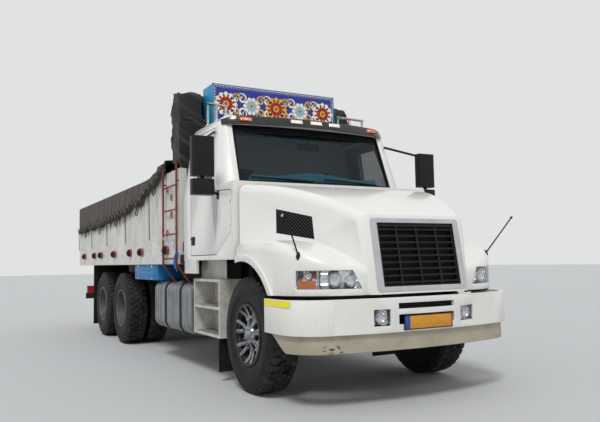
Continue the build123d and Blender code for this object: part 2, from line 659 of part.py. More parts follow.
with BuildPart() as bonnet:
    add(hood_outer)
    add(wings_outer)
    add(hood_inner, mode=Mode.SUBTRACT)
    add(wings_inner, mode=Mode.SUBTRACT)
    # Wheel arches, with a liner over each wheel
    with BuildSketch(Plane.XZ.offset(-WING_Y - 10)):
        with Locations((ARCH_X, ARCH_Z)):
            Circle(ARCH_R)
    extrude(amount=2 * WING_Y + 20, mode=Mode.SUBTRACT)
    for side in BOTH_SIDES:
        with BuildSketch(Plane.XZ.offset(-side * (LINER_Y + WING_Y - 10) / 2)):
            with Locations((ARCH_X, ARCH_Z)):
                Circle(ARCH_R + LINER_T)
                Circle(ARCH_R, mode=Mode.SUBTRACT)
            with Locations((ARCH_X, BONNET_BOTTOM)):
                Rectangle(3 * ARCH_R, 2 * ARCH_R, align=(Align.CENTER, Align.MAX), mode=Mode.SUBTRACT)
            with Locations((BONNET_REAR, ARCH_Z)):
                Rectangle(1000, 2000, align=(Align.MAX, Align.CENTER), mode=Mode.SUBTRACT)
        extrude(amount=(WING_Y - 10 - LINER_Y) / 2, both=True)
    # A lip round each arch
    for side in BOTH_SIDES:
        with BuildSketch(Plane.XZ.offset(-side * (WING_Y + LIP_T))):
            with Locations((ARCH_X, ARCH_Z)):
                Circle(ARCH_R + LIP_W)
                Circle(ARCH_R, mode=Mode.SUBTRACT)
            with Locations((ARCH_X, BONNET_BOTTOM)):
                Rectangle(3 * ARCH_R, 2 * ARCH_R, align=(Align.CENTER, Align.MAX), mode=Mode.SUBTRACT)
            with Locations((BONNET_REAR, ARCH_Z)):
                Rectangle(1000, 2000, align=(Align.MAX, Align.CENTER), mode=Mode.SUBTRACT)
        extrude(amount=side * (LIP_T + BONNET_WALL + 8))
    # Grille, lamp and intake openings
    with BuildSketch(Plane.YZ.offset(X_NOSE - 260)):
        with Locations((0, (GRILLE_BOTTOM + GRILLE_TOP) / 2)):
            Rectangle(2 * GRILLE_HALF, GRILLE_TOP - GRILLE_BOTTOM)
    extrude(amount=300, mode=Mode.SUBTRACT)
    for side in BOTH_SIDES:
        with BuildSketch(Plane.YZ.offset(LAMP_REAR)):
            with BuildLine():
                Polyline([(side * y, z) for y, z in LAMP_OUTLINE], close=True)
            make_face()
        extrude(amount=600, mode=Mode.SUBTRACT)
        with BuildSketch(Plane.XZ.offset(-side * 900)):
            with BuildLine():
                Polyline(INTAKE_OUTLINE, close=True)
            make_face()
        extrude(amount=300, both=True, mode=Mode.SUBTRACT)
    # Lugs inside the nose that carry the tilt pin in the frame's horns
    for side in BOTH_SIDES:
        for gap_side in BOTH_SIDES:
            lug_y = side * HORN_Y + gap_side * (HORN_T / 2 + 5 + TILT_LUG_T / 2)
            with BuildSketch(Plane.XZ.offset(-lug_y - TILT_LUG_T / 2)):
                with Locations((TILT_X, TILT_Z)):
                    Circle(22)
                with Locations((TILT_X, TILT_Z)):
                    Rectangle(X_NOSE - 55 - TILT_X, 30, align=(Align.MIN, Align.MAX))
            extrude(amount=TILT_LUG_T)
        with BuildSketch(Plane.XZ.offset(-side * HORN_Y - HORN_T / 2 - 5 - TILT_LUG_T / 2)):
            with Locations((TILT_X, TILT_Z)):
                Circle(TILT_PIN_R)
        extrude(amount=HORN_T + 10 + TILT_LUG_T)
bonnet.part.label = "bonnet"
export_step(bonnet.part, "parts/bonnet.step")

# Side intakes: a mesh panel in each opening of the hood's sides
INTAKE_T = 18
with BuildPart() as intakes:
    with BuildSketch(Plane.XZ):
        with BuildLine():
            Polyline(INTAKE_OUTLINE, close=True)
        make_face()
        offset(amount=-SEAT, mode=Mode.REPLACE)
    extrude(amount=WING_Y, both=True)
    add(hood_outer, mode=Mode.INTERSECT)
    add(bonnet_form(INTAKE_T), mode=Mode.SUBTRACT)

# Grille: a framed set of bars that fills the opening in the leaning nose, kept
# together with the side intakes
GRILLE_T = 30
SURROUND_HALF = 500
SURROUND_BOTTOM = FRAME_TOP - 30
SURROUND_TOP = FRAME_TOP + 607
SURROUND_T = 8
BAR_H = 16
BARS = 9
with BuildPart() as grille:
    with BuildSketch(Plane.YZ.offset(X_NOSE - 300)):
        with Locations((0, (GRILLE_BOTTOM + GRILLE_TOP) / 2)):
            Rectangle(2 * (GRILLE_HALF - SEAT), GRILLE_TOP - GRILLE_BOTTOM - 2 * SEAT)
            Rectangle(2 * GRILLE_HALF - 70, GRILLE_TOP - GRILLE_BOTTOM - 70, mode=Mode.SUBTRACT)
        pitch = (GRILLE_TOP - GRILLE_BOTTOM) / (BARS + 1)
        for row in range(BARS):
            with Locations((0, GRILLE_BOTTOM + pitch * (row + 1))):
                Rectangle(2 * GRILLE_HALF - 60, BAR_H)
        for column in (-1, 0, 1):
            with Locations((column * GRILLE_HALF / 2, (GRILLE_BOTTOM + GRILLE_TOP) / 2)):
                Rectangle(20, GRILLE_TOP - GRILLE_BOTTOM - 60)
    extrude(amount=340)
    with BuildSketch(Plane.XZ):
        with BuildLine():
            foot = X_NOSE - 38 - 6
            head = foot - (NOSE_TOP_Z - BONNET_BOTTOM) * GRILLE_LEAN
            Polyline(
                (foot, BONNET_BOTTOM),
                (head, NOSE_TOP_Z),
                (head - GRILLE_T, NOSE_TOP_Z),
                (foot - GRILLE_T, BONNET_BOTTOM),
                close=True,
            )
        make_face()
    extrude(amount=GRILLE_HALF + 10, both=True, mode=Mode.INTERSECT)
    add(intakes.part)
    # Bright surround, standing on the nose round the opening
    with BuildSketch(Plane.YZ.offset(X_NOSE - 300)):
        with Locations((0, (SURROUND_BOTTOM + SURROUND_TOP) / 2)):
            RectangleRounded(2 * SURROUND_HALF, SURROUND_TOP - SURROUND_BOTTOM, 30)
            Rectangle(2 * (GRILLE_HALF - 12), GRILLE_TOP - GRILLE_BOTTOM - 24, mode=Mode.SUBTRACT)
    surround = extrude(amount=340, mode=Mode.PRIVATE)
    with BuildSketch(Plane.XZ):
        with BuildLine():
            nose = X_NOSE - 38 + SEAT
            crown = nose - (NOSE_TOP_Z - BONNET_BOTTOM) * GRILLE_LEAN
            Polyline(
                (nose, BONNET_BOTTOM),
                (crown, NOSE_TOP_Z),
                (crown + SURROUND_T, NOSE_TOP_Z),
                (nose + SURROUND_T, BONNET_BOTTOM),
                close=True,
            )
        make_face()
    slab = extrude(amount=SURROUND_HALF + 10, both=True, mode=Mode.PRIVATE)
    add(surround & slab)
grille.part.label = "grille"
export_step(grille.part, "parts/grille.step")

# Headlamps wrap round the wings' front corners, as deep as a lamp housing
LAMP_DEPTH = 70
with BuildPart() as headlamps:
    add(wings_outer)
    add(wing_form(LAMP_DEPTH), mode=Mode.SUBTRACT)
    with BuildSketch(Plane.YZ.offset(LAMP_REAR + SEAT)):
        for side in BOTH_SIDES:
            with BuildLine():
                Polyline([(side * y, z) for y, z in LAMP_OUTLINE], close=True)
            make_face()
        offset(amount=-SEAT, mode=Mode.REPLACE)
    extrude(amount=600, mode=Mode.INTERSECT)
headlamps.part.label = "headlamps"
export_step(headlamps.part, "parts/headlamps.step")

# Guide rods that show the driver the front corners, each in a socket on its wing
ROD_R = 7
ROD_BASE_Z = FRAME_TOP + 290
with BuildPart() as guide_rods:
    for side, reach, rise in ((-1, 70, 200), (1, 380, 365)):
        base = Vector(ROD_X, side * ROD_Y, ROD_BASE_Z)
        tip = base + Vector(0, side * reach, rise)
        with BuildSketch(Plane(origin=base, z_dir=tip - base)):
            Circle(ROD_R)
        extrude(amount=(tip - base).length)
        with BuildSketch(Plane.XY.offset(ROD_BASE_Z - 40)):
            with Locations((ROD_X, side * ROD_Y)):
                Circle(16)
        extrude(amount=55)
    add(wings_outer, mode=Mode.SUBTRACT)
guide_rods.part.label = "guide_rods"
export_step(guide_rods.part, "parts/guide_rods.step")


# Cab. Below the belt it is as wide as the body; above, it leans in to the roof.
SCREEN_FOOT_X = X_AXLE - 390
SCREEN_SIDE_X = X_AXLE - 500
SCREEN_SIDE_Y = 1040
PILLAR_X = X_AXLE - 640


def cab_form(inset):
    # The cab's closed outside, or with an inset the space inside its walls
    with BuildPart() as form:
        with BuildSketch(Plane.XY.offset(CAB_FLOOR)):
            with BuildLine():
                Polyline(
                    (CAB_BACK - 10, -CAB_HALF),
                    (CAB_FRONT - inset, -CAB_HALF),
                    (CAB_FRONT - inset, CAB_HALF),
                    (CAB_BACK - 10, CAB_HALF),
                    close=True,
                )
            make_face()
        extrude(amount=BELT - CAB_FLOOR - inset)
        with BuildSketch(Plane.XY.offset(BELT - inset - 40)):
            with BuildLine():
                Line((SCREEN_SIDE_X, -SCREEN_SIDE_Y), (PILLAR_X, -CAB_HALF))
                Line((PILLAR_X, -CAB_HALF), (CAB_BACK - 10, -CAB_HALF))
                Line((CAB_BACK - 10, -CAB_HALF), (CAB_BACK - 10, CAB_HALF))
                Line((CAB_BACK - 10, CAB_HALF), (PILLAR_X, CAB_HALF))
                Line((PILLAR_X, CAB_HALF), (SCREEN_SIDE_X, SCREEN_SIDE_Y))
                ThreePointArc(
                    (SCREEN_SIDE_X, SCREEN_SIDE_Y),
                    (SCREEN_FOOT_X, 0),
                    (SCREEN_SIDE_X, -SCREEN_SIDE_Y),
                )
            make_face()
            if inset:
                offset(amount=-inset, mode=Mode.REPLACE)
        extrude(amount=(ROOF - BELT + 200) * hypot(1, SCREEN_LEAN), dir=(-SCREEN_LEAN, 0, 1))
        with BuildSketch(Plane.YZ.offset(CAB_BACK - 500)):
            with BuildLine():
                Line((-CAB_HALF, CAB_FLOOR), (-CAB_HALF, BELT - 60))
                Line((-CAB_HALF, BELT - 60), (-CAB_HALF + 115, ROOF - 170))
                ThreePointArc(
                    (-CAB_HALF + 115, ROOF - 170),
                    (-CAB_HALF + 160, ROOF - 75),
                    (-CAB_HALF + 260, ROOF - 25),
                )
                ThreePointArc(
                    (-CAB_HALF + 260, ROOF - 25),
                    (0, ROOF + 20),
                    (CAB_HALF - 260, ROOF - 25),
                )
                ThreePointArc(
                    (CAB_HALF - 260, ROOF - 25),
                    (CAB_HALF - 160, ROOF - 75),
                    (CAB_HALF - 115, ROOF - 170),
                )
                Line((CAB_HALF - 115, ROOF - 170), (CAB_HALF, BELT - 60))
                Line((CAB_HALF, BELT - 60), (CAB_HALF, CAB_FLOOR))
                Line((CAB_HALF, CAB_FLOOR), (-CAB_HALF, CAB_FLOOR))
            make_face()
            if inset:
                offset(amount=-inset, mode=Mode.REPLACE)
        extrude(amount=2500, mode=Mode.INTERSECT)
        with BuildSketch(Plane.XZ):
            with BuildLine():
                Line((CAB_BACK, CAB_FLOOR), (CAB_FRONT, CAB_FLOOR))
                Line((CAB_FRONT, CAB_FLOOR), (CAB_FRONT, BELT + 40))
                Line((CAB_FRONT, BELT + 40), (X_AXLE - 690, ROOF - 65))
                ThreePointArc(
                    (X_AXLE - 690, ROOF - 65),
                    (X_AXLE - 1050, ROOF + 5),
                    (CAB_BACK + 60, ROOF),
                )
                Line((CAB_BACK + 60, ROOF), (CAB_BACK, ROOF - 60))
                Line((CAB_BACK, ROOF - 60), (CAB_BACK, CAB_FLOOR))
            make_face()
            if inset:
                offset(amount=-inset, mode=Mode.REPLACE)
        extrude(amount=CAB_HALF + 10, both=True, mode=Mode.INTERSECT)
        with BuildSketch(Plane.XZ):
            with Locations((ARCH_X, ARCH_Z)):
                Circle(ARCH_R + 10 + inset)
        extrude(amount=CAB_HALF + 10, both=True, mode=Mode.SUBTRACT)
    return form.part


cab_outer = cab_form(0)
cab_inner = cab_form(CAB_WALL)

# Door outline and window outline in side view
DOOR_BACK = CAB_BACK + 250
DOOR_FRONT = CAB_FRONT - 70
DOOR_LOW = CAB_FLOOR + CAB_WALL + DOOR_GAP
DOOR_TOP = ROOF - 175
DOOR_OUTLINE = (
    (DOOR_BACK, DOOR_LOW),
    (X_AXLE - 620, DOOR_LOW),
    (DOOR_FRONT, DOOR_LOW + 230),
    (DOOR_FRONT, BELT - 90),
    (X_AXLE - 640, BELT - 60),
    (X_AXLE - 705, BELT + 20),
    (X_AXLE - 930, DOOR_TOP),
    (DOOR_BACK + 14, DOOR_TOP),
    (DOOR_BACK, BELT),
)
WINDOW_OUTLINE = (
    (DOOR_BACK + 80, BELT - 20),
    (X_AXLE - 760, BELT + 20),
    (X_AXLE - 965, DOOR_TOP - 70),
    (DOOR_BACK + 90, DOOR_TOP - 70),
)
SCREEN_OUTLINE = (
    (-SCREEN_SIDE_Y + 45, BELT + 35),
    (SCREEN_SIDE_Y - 45, BELT + 35),
    (SCREEN_SIDE_Y - 65, ROOF - 150),
    (-SCREEN_SIDE_Y + 65, ROOF - 150),
)
STEP_BACK = X_AXLE - 1480
STEP_FRONT = X_AXLE - 672
SKIRT_BOTTOM = FRAME_TOP + 120


def side_prism(outline, grow, y0, y1):
    # A prism across the truck with the given outline in side view
    with BuildPart() as prism:
        with BuildSketch(Plane.XZ.offset(-y1)):
            with BuildLine():
                Polyline(outline, close=True)
            make_face()
            if grow:
                offset(amount=grow, kind=Kind.INTERSECTION, mode=Mode.REPLACE)
        extrude(amount=y1 - y0)
    return prism.part


def screen_prism(grow):
    # A prism along the truck with the windscreen's outline in front view
    with BuildPart() as prism:
        with BuildSketch(Plane.YZ.offset(X_AXLE - 1000)):
            with BuildLine():
                Polyline(SCREEN_OUTLINE, close=True)
            make_face()
            if grow:
                offset(amount=grow, kind=Kind.INTERSECTION, mode=Mode.REPLACE)
        extrude(amount=800)
    return prism.part


# Door hinges: a lug and pin on the shell's front post, a barrel on the door
DOOR_HINGE_X = DOOR_FRONT + DOOR_GAP / 2
DOOR_HINGE_Y = CAB_HALF + 2
DOOR_HINGE_Z = (DOOR_LOW + 290, BELT - 200)
DOOR_PIN_R = 6
DOOR_BARREL_R = 11
DOOR_BARREL_H = 40
DOOR_LUG_H = 18
SWING_GAP = 5

with BuildPart() as cab_shell:
    add(cab_outer)
    add(cab_inner, mode=Mode.SUBTRACT)
    add(side_prism(DOOR_OUTLINE, DOOR_GAP, CAB_HALF - 300, CAB_HALF + 20), mode=Mode.SUBTRACT)
    add(side_prism(DOOR_OUTLINE, DOOR_GAP, -CAB_HALF - 20, -CAB_HALF + 300), mode=Mode.SUBTRACT)
    add(screen_prism(0), mode=Mode.SUBTRACT)
    # Skirt below the cab's rear corner, down behind the steps
    for side in BOTH_SIDES:
        with BuildSketch(Plane.XZ.offset(-side * (CAB_HALF - 15) - 15)):
            with BuildLine():
                Polyline(
                    (CAB_BACK + 20, CAB_FLOOR + 10),
                    (DOOR_BACK + 180, CAB_FLOOR + 10),
                    (DOOR_BACK + 180, SKIRT_BOTTOM),
                    (CAB_BACK + 20, SKIRT_BOTTOM),
                    close=True,
                )
            make_face()
        extrude(amount=30)
        for z in DOOR_HINGE_Z:
            with BuildSketch(Plane.XY.offset(z + DOOR_LUG_H)):
                with Locations((DOOR_HINGE_X, side * DOOR_HINGE_Y)):
                    Circle(DOOR_BARREL_R + SWING_GAP)
            extrude(amount=SEAT + DOOR_BARREL_H + SWING_GAP, mode=Mode.SUBTRACT)
            with BuildSketch(Plane.XY.offset(z)):
                with Locations((DOOR_HINGE_X, side * DOOR_HINGE_Y)):
                    Circle(DOOR_BARREL_R)
            extrude(amount=DOOR_LUG_H)
            with BuildSketch(Plane.XY.offset(z)):
                with Locations((DOOR_HINGE_X, side * DOOR_HINGE_Y)):
                    Circle(DOOR_PIN_R)
            extrude(amount=DOOR_LUG_H + DOOR_BARREL_H - 1)
cab_shell.part.label = "cab_shell"
export_step(cab_shell.part, "parts/cab_shell.step")

# Windscreen, a bonded pane flush in the shell's opening
GLASS_IN = 18
GLASS_T = 6
glass_outer = cab_form(GLASS_IN)
glass_inner = cab_form(GLASS_IN + GLASS_T)
with BuildPart() as windscreen:
    add(screen_prism(-SEAT))
    add(glass_outer, mode=Mode.INTERSECT)
    add(glass_inner, mode=Mode.SUBTRACT)
windscreen.part.label = "windscreen"
export_step(windscreen.part, "parts/windscreen.step")

# Doors with their glass and mirrors
MIRROR_X = X_AXLE - 420
MIRROR_Y = CAB_HALF + 225
MIRROR_W = 240
MIRROR_T = 110
MIRROR_LOW = BELT + 60
MIRROR_HIGH = BELT + 470
ARM_R = 14
for side in BOTH_SIDES:
    low_y = min(side * (CAB_HALF + 20), side * (CAB_HALF - 300))
    high_y = max(side * (CAB_HALF + 20), side * (CAB_HALF - 300))
    door_prism = side_prism(DOOR_OUTLINE, 0, low_y, high_y)
    window_prism = side_prism(WINDOW_OUTLINE, 0, low_y, high_y)
    pane_prism = side_prism(WINDOW_OUTLINE, -SEAT, low_y, high_y)
    with BuildPart() as door:
        add(door_prism)
        add(cab_outer, mode=Mode.INTERSECT)
        add(cab_inner, mode=Mode.SUBTRACT)
        add(window_prism, mode=Mode.SUBTRACT)
        for z in DOOR_HINGE_Z:
            with BuildSketch(Plane.XY.offset(z - SWING_GAP)):
                with Locations((DOOR_HINGE_X, side * DOOR_HINGE_Y)):
                    Circle(DOOR_BARREL_R + SWING_GAP)
            extrude(amount=SWING_GAP + DOOR_LUG_H + SEAT, mode=Mode.SUBTRACT)
            with BuildSketch(Plane.XY.offset(z + DOOR_LUG_H + SEAT)):
                with Locations((DOOR_HINGE_X, side * DOOR_HINGE_Y)):
                    Circle(DOOR_BARREL_R)
            extrude(amount=DOOR_BARREL_H)
            with BuildSketch(Plane.XY.offset(z + DOOR_LUG_H + SEAT)):
                with Locations((DOOR_HINGE_X, side * DOOR_HINGE_Y)):
                    Circle(DOOR_PIN_R + PIN_FIT)
            extrude(amount=DOOR_BARREL_H, mode=Mode.SUBTRACT)
    name = "door_" + SIDE_NAMES[side]
    door.part.label = name
    export_step(door.part, "parts/" + name + ".step")

    with BuildPart() as pane:
        add(pane_prism)
        add(glass_outer, mode=Mode.INTERSECT)
        add(glass_inner, mode=Mode.SUBTRACT)
    name = "door_glass_" + SIDE_NAMES[side]
    pane.part.label = name
    export_step(pane.part, "parts/" + name + ".step")

    # Main mirror head over a wide-angle head, on two arms from the door's frame
    with BuildPart() as mirror:
        with BuildSketch(Plane.XY.offset(MIRROR_LOW)):
            with Locations((MIRROR_X, side * MIRROR_Y)):
                RectangleRounded(MIRROR_T, MIRROR_W, 30)
        extrude(amount=MIRROR_HIGH - MIRROR_LOW)
        with BuildSketch(Plane.XY.offset(MIRROR_LOW - 190)):
            with Locations((MIRROR_X, side * MIRROR_Y)):
                RectangleRounded(MIRROR_T + 20, MIRROR_W, 40)
        extrude(amount=160)
        with BuildSketch(Plane.XY.offset(MIRROR_LOW - 40)):
            with Locations((MIRROR_X, side * MIRROR_Y)):
                Circle(22)
        extrude(amount=50)
        foot = Vector(X_AXLE - 560, side * (CAB_HALF - 12), BELT - 110)
        reach = Vector(MIRROR_X, side * MIRROR_Y, MIRROR_LOW - 100) - foot
        with BuildSketch(Plane(origin=foot, z_dir=reach)):
            Circle(ARM_R)
        extrude(amount=reach.length)
        foot = Vector(X_AXLE - 950, side * (CAB_HALF - 118), DOOR_TOP - 32)
        reach = Vector(MIRROR_X, side * MIRROR_Y, MIRROR_HIGH - 40) - foot
        with BuildSketch(Plane(origin=foot, z_dir=reach)):
            Circle(ARM_R)
        extrude(amount=reach.length)
        add(cab_outer, mode=Mode.SUBTRACT)
    name = "mirror_" + SIDE_NAMES[side]
    mirror.part.label = name
    export_step(mirror.part, "parts/" + name + ".step")

# Dashboard across the cab, under the windscreen
with BuildPart() as dashboard:
    with BuildSketch(Plane.XZ):
        with BuildLine():
            Polyline(
                (CAB_FRONT - CAB_WALL - SEAT, BELT - 520),
                (CAB_FRONT - CAB_WALL - SEAT, BELT - CAB_WALL - SEAT),
                (CAB_FRONT - 330, BELT - CAB_WALL - SEAT),
                (CAB_FRONT - 480, BELT - 150),
                (CAB_FRONT - 430, BELT - 520),
                close=True,
            )
        make_face()
    extrude(amount=CAB_HALF - CAB_WALL - 20, both=True)
dashboard.part.label = "dashboard"
export_step(dashboard.part, "parts/dashboard.step")

# Seats, each a pedestal, cushion and back
SEAT_Y = 560
CABIN_FLOOR = CAB_FLOOR + CAB_WALL
with BuildPart() as seats:
    for side in BOTH_SIDES:
        with BuildSketch(Plane.XZ.offset(-side * SEAT_Y - 240)):
            with BuildLine():
                Polyline(
                    (CAB_BACK + 220, CABIN_FLOOR),
                    (CAB_BACK + 620, CABIN_FLOOR),
                    (CAB_BACK + 620, CABIN_FLOOR + 330),
                    (CAB_BACK + 700, CABIN_FLOOR + 350),
                    (CAB_BACK + 700, CABIN_FLOOR + 460),
                    (CAB_BACK + 330, CABIN_FLOOR + 440),
                    (CAB_BACK + 200, CABIN_FLOOR + 1060),
                    (CAB_BACK + 90, CABIN_FLOOR + 1040),
                    (CAB_BACK + 200, CABIN_FLOOR + 380),
                    (CAB_BACK + 220, CABIN_FLOOR + 330),
                    close=True,
                )
            make_face()
        extrude(amount=480)
seats.part.label = "seats"
export_step(seats.part, "parts/seats.step")

# Steering wheel on its column from the dashboard
WHEEL_C = Vector(CAB_FRONT - 570, SEAT_Y, BELT - 105)
WHEEL_N = Vector(-0.55, 0, 0.83)
with BuildPart() as steering_wheel:
    with BuildSketch(Plane(origin=WHEEL_C, x_dir=(0, 1, 0), z_dir=WHEEL_N)) as rim_plane:
        Circle(235)
        Circle(207, mode=Mode.SUBTRACT)
        Rectangle(430, 30)
        Circle(60)
    extrude(amount=28)
    with BuildSketch(Plane(origin=WHEEL_C, x_dir=(0, 1, 0), z_dir=WHEEL_N)):
        Circle(35)
    extrude(amount=-160)
    add(dashboard.part, mode=Mode.SUBTRACT)
steering_wheel.part.label = "steering_wheel"
export_step(steering_wheel.part, "parts/steering_wheel.step")

# Sun visor: a bowed hood over the top of the windscreen
VISOR_Z0 = ROOF - 150
VISOR_Z1 = ROOF - 55
VISOR_HALF = 1083
VISOR_T = 14
with BuildPart() as sun_visor:
    with BuildSketch(Plane.XY.offset(VISOR_Z0)):
        with BuildLine():
            ThreePointArc(
                (X_AXLE - 745, -VISOR_HALF),
                (X_AXLE - 560, 0),
                (X_AXLE - 745, VISOR_HALF),
            )
            Line((X_AXLE - 745, VISOR_HALF), (X_AXLE - 745 - VISOR_T, VISOR_HALF))
            ThreePointArc(
                (X_AXLE - 745 - VISOR_T, VISOR_HALF),
                (X_AXLE - 560 - VISOR_T, 0),
                (X_AXLE - 745 - VISOR_T, -VISOR_HALF),
            )
            Line((X_AXLE - 745 - VISOR_T, -VISOR_HALF), (X_AXLE - 745, -VISOR_HALF))
        make_face()
    extrude(amount=VISOR_Z1 - VISOR_Z0)
    with BuildSketch(Plane.XY.offset(VISOR_Z1 - VISOR_T)):
        with BuildLine():
            ThreePointArc(
                (X_AXLE - 745, -VISOR_HALF),
                (X_AXLE - 560, 0),
                (X_AXLE - 745, VISOR_HALF),
            )
            Line((X_AXLE - 745, VISOR_HALF), (X_AXLE - 860, VISOR_HALF))
            Line((X_AXLE - 860, VISOR_HALF), (X_AXLE - 860, -VISOR_HALF))
            Line((X_AXLE - 860, -VISOR_HALF), (X_AXLE - 745, -VISOR_HALF))
        make_face()
    extrude(amount=VISOR_T)
    add(cab_outer, mode=Mode.SUBTRACT)
sun_visor.part.label = "sun_visor"
export_step(sun_visor.part, "parts/sun_visor.step")

# Roof rack: a rail on posts along each side of the roof
RACK_Y = 940
RACK_R = 16
RACK_FRONT = X_AXLE - 1000
RACK_REAR = CAB_BACK + 60
RACK_Z0 = ROOF + 110
RACK_Z1 = ROOF + 280
with BuildPart() as roof_rack:
    for side in BOTH_SIDES:
        start = Vector(RACK_FRONT, side * RACK_Y, RACK_Z0)
        end = Vector(RACK_REAR, side * RACK_Y, RACK_Z1)
        with BuildSketch(Plane(origin=start, z_dir=end - start)):
            Circle(RACK_R)
        extrude(amount=(end - start).length)
        for share in (0.02, 0.5, 0.98):
            foot = start + (end - start) * share
            with BuildSketch(Plane.XY.offset(ROOF - 60)):
                with Locations((foot.X, foot.Y)):
                    Circle(RACK_R)
            extrude(amount=foot.Z - ROOF + 60)
    add(cab_outer, mode=Mode.SUBTRACT)
roof_rack.part.label = "roof_rack"
export_step(roof_rack.part, "parts/roof_rack.step")

# Crown box on the roof: a box on feet with the painted board as its face
CROWN_HALF = 875
CROWN_X1 = CAB_BACK + 70
CROWN_X0 = CAB_BACK - 260
CROWN_Z0 = ROOF + 60
CROWN_Z1 = ROOF + 540
with BuildPart() as crown_box:
    with BuildSketch(Plane.YZ.offset(CROWN_X0)):
        with Locations((0, CROWN_Z0)):
            Rectangle(2 * CROWN_HALF, CROWN_Z1 - CROWN_Z0, align=(Align.CENTER, Align.MIN))
    extrude(amount=CROWN_X1 - CROWN_X0)
    with BuildSketch(Plane.XY.offset(ROOF - 60)):
        for y in (-700, 700):
            with Locations((CROWN_X1 - 40, y)):
                Rectangle(60, 60)
    extrude(amount=120)
    add(cab_outer, mode=Mode.SUBTRACT)
crown_box.part.label = "crown_box"
export_step(crown_box.part, "parts/crown_box.step")


# Front bumper: a bowed box section, open behind, with lamp and plate openings
BUMPER_TOP = FRAME_TOP - 83
BUMPER_BOTTOM = FRAME_TOP - 378
BUMPER_T = 30
BUMPER_HALF = 1240
BUMPER_END_X = X_AXLE + 560


def bumper_plan(inset):
    # The bumper's outline seen from above, set in by a wall or a lip
    with BuildSketch(Plane.XY) as plan:
        with BuildLine():
            Line((BUMPER_END_X, -BUMPER_HALF + inset), (X_AXLE + 850, -BUMPER_HALF + inset))
            ThreePointArc(
                (X_AXLE + 850, -BUMPER_HALF + inset),
                (X_AXLE + 1095 - inset, -1135 + inset),
                (X_AXLE + 1205 - inset, -900 + inset / 2),
            )
            ThreePointArc(
                (X_AXLE + 1205 - inset, -900 + inset / 2),
                (X_NOSE - inset, 0),
                (X_AXLE + 1205 - inset, 900 - inset / 2),
            )
            ThreePointArc(
                (X_AXLE + 1205 - inset, 900 - inset / 2),
                (X_AXLE + 1095 - inset, 1135 - inset),
                (X_AXLE + 850, BUMPER_HALF - inset),
            )
            Line((X_AXLE + 850, BUMPER_HALF - inset), (BUMPER_END_X, BUMPER_HALF - inset))
            Line((BUMPER_END_X, BUMPER_HALF - inset), (BUMPER_END_X, -BUMPER_HALF + inset))
        make_face()
        if inset:
            with Locations((BUMPER_END_X, 0)):
                Rectangle(20, 2 * (BUMPER_HALF - inset))
    return plan.sketch


FOG_Y = 472
FOG_W = 165
FOG_Z0 = FRAME_TOP - 320
FOG_Z1 = FRAME_TOP - 180
SLOT_HALF = 310
with BuildPart() as front_bumper:
    with BuildSketch(Plane.XY.offset(BUMPER_BOTTOM)):
        add(bumper_plan(0))
    extrude(amount=BUMPER_TOP - BUMPER_BOTTOM)
    with BuildSketch(Plane.XY.offset(BUMPER_BOTTOM - 1)):
        add(bumper_plan(BUMPER_T))
    extrude(amount=BUMPER_TOP - BUMPER_BOTTOM + 2, mode=Mode.SUBTRACT)
    with BuildSketch(Plane.YZ.offset(X_NOSE - 200)):
        for side in BOTH_SIDES:
            with Locations((side * FOG_Y, (FOG_Z0 + FOG_Z1) / 2)):
                Rectangle(FOG_W, FOG_Z1 - FOG_Z0)
        with Locations((0, FRAME_TOP - 157)):
            Rectangle(2 * SLOT_HALF, 50)
        with Locations((0, FRAME_TOP - 272)):
            Rectangle(2 * SLOT_HALF, 85)
    extrude(amount=220, mode=Mode.SUBTRACT)
    # Arms from the rails' ends to the bumper's back
    for side in BOTH_SIDES:
        with BuildSketch(Plane.YZ.offset(RAIL_FRONT)):
            with Locations((side * 365, (BUMPER_BOTTOM + BUMPER_TOP) / 2 + 25)):
                Rectangle(20, 160)
        extrude(amount=X_NOSE - RAIL_FRONT - BUMPER_T - 5)
front_bumper.part.label = "front_bumper"
export_step(front_bumper.part, "parts/front_bumper.step")

# Valance under the bumper
VALANCE_BOTTOM = FRAME_TOP - 533
VALANCE_INSET = 28
with BuildPart() as valance:
    with BuildSketch(Plane.XY.offset(VALANCE_BOTTOM)):
        add(bumper_plan(VALANCE_INSET))
    extrude(amount=BUMPER_BOTTOM - VALANCE_BOTTOM)
    with BuildSketch(Plane.XY.offset(VALANCE_BOTTOM - 1)):
        add(bumper_plan(VALANCE_INSET + 22))
    extrude(amount=BUMPER_BOTTOM - VALANCE_BOTTOM + 2, mode=Mode.SUBTRACT)
    with BuildSketch(Plane.XZ):
        with BuildLine():
            Polyline(
                (BUMPER_END_X - 30, VALANCE_BOTTOM - 10),
                (X_AXLE + 890, VALANCE_BOTTOM - 10),
                (X_AXLE + 890, VALANCE_BOTTOM),
                (X_AXLE + 630, BUMPER_BOTTOM),
                (X_AXLE + 630, BUMPER_BOTTOM + 10),
                (BUMPER_END_X - 30, BUMPER_BOTTOM + 10),
                close=True,
            )
        make_face()
    extrude(amount=BUMPER_HALF + 10, both=True, mode=Mode.SUBTRACT)
valance.part.label = "valance"
export_step(valance.part, "parts/valance.step")

# Fog lamps in the bumper's square openings
with BuildPart() as fog_lamps:
    with BuildSketch(Plane.XY.offset(FOG_Z0 - 10)):
        add(bumper_plan(6))
    extrude(amount=FOG_Z1 - FOG_Z0 + 20)
    with BuildSketch(Plane.XY.offset(FOG_Z0 - 11)):
        add(bumper_plan(66))
    extrude(amount=FOG_Z1 - FOG_Z0 + 22, mode=Mode.SUBTRACT)
    with BuildSketch(Plane.YZ.offset(X_NOSE - 200)):
        for side in BOTH_SIDES:
            with Locations((side * FOG_Y, (FOG_Z0 + FOG_Z1) / 2)):
                Rectangle(FOG_W - 2 * SEAT, FOG_Z1 - FOG_Z0 - 2 * SEAT)
    extrude(amount=220, mode=Mode.INTERSECT)
fog_lamps.part.label = "fog_lamps"
export_step(fog_lamps.part, "parts/fog_lamps.step")


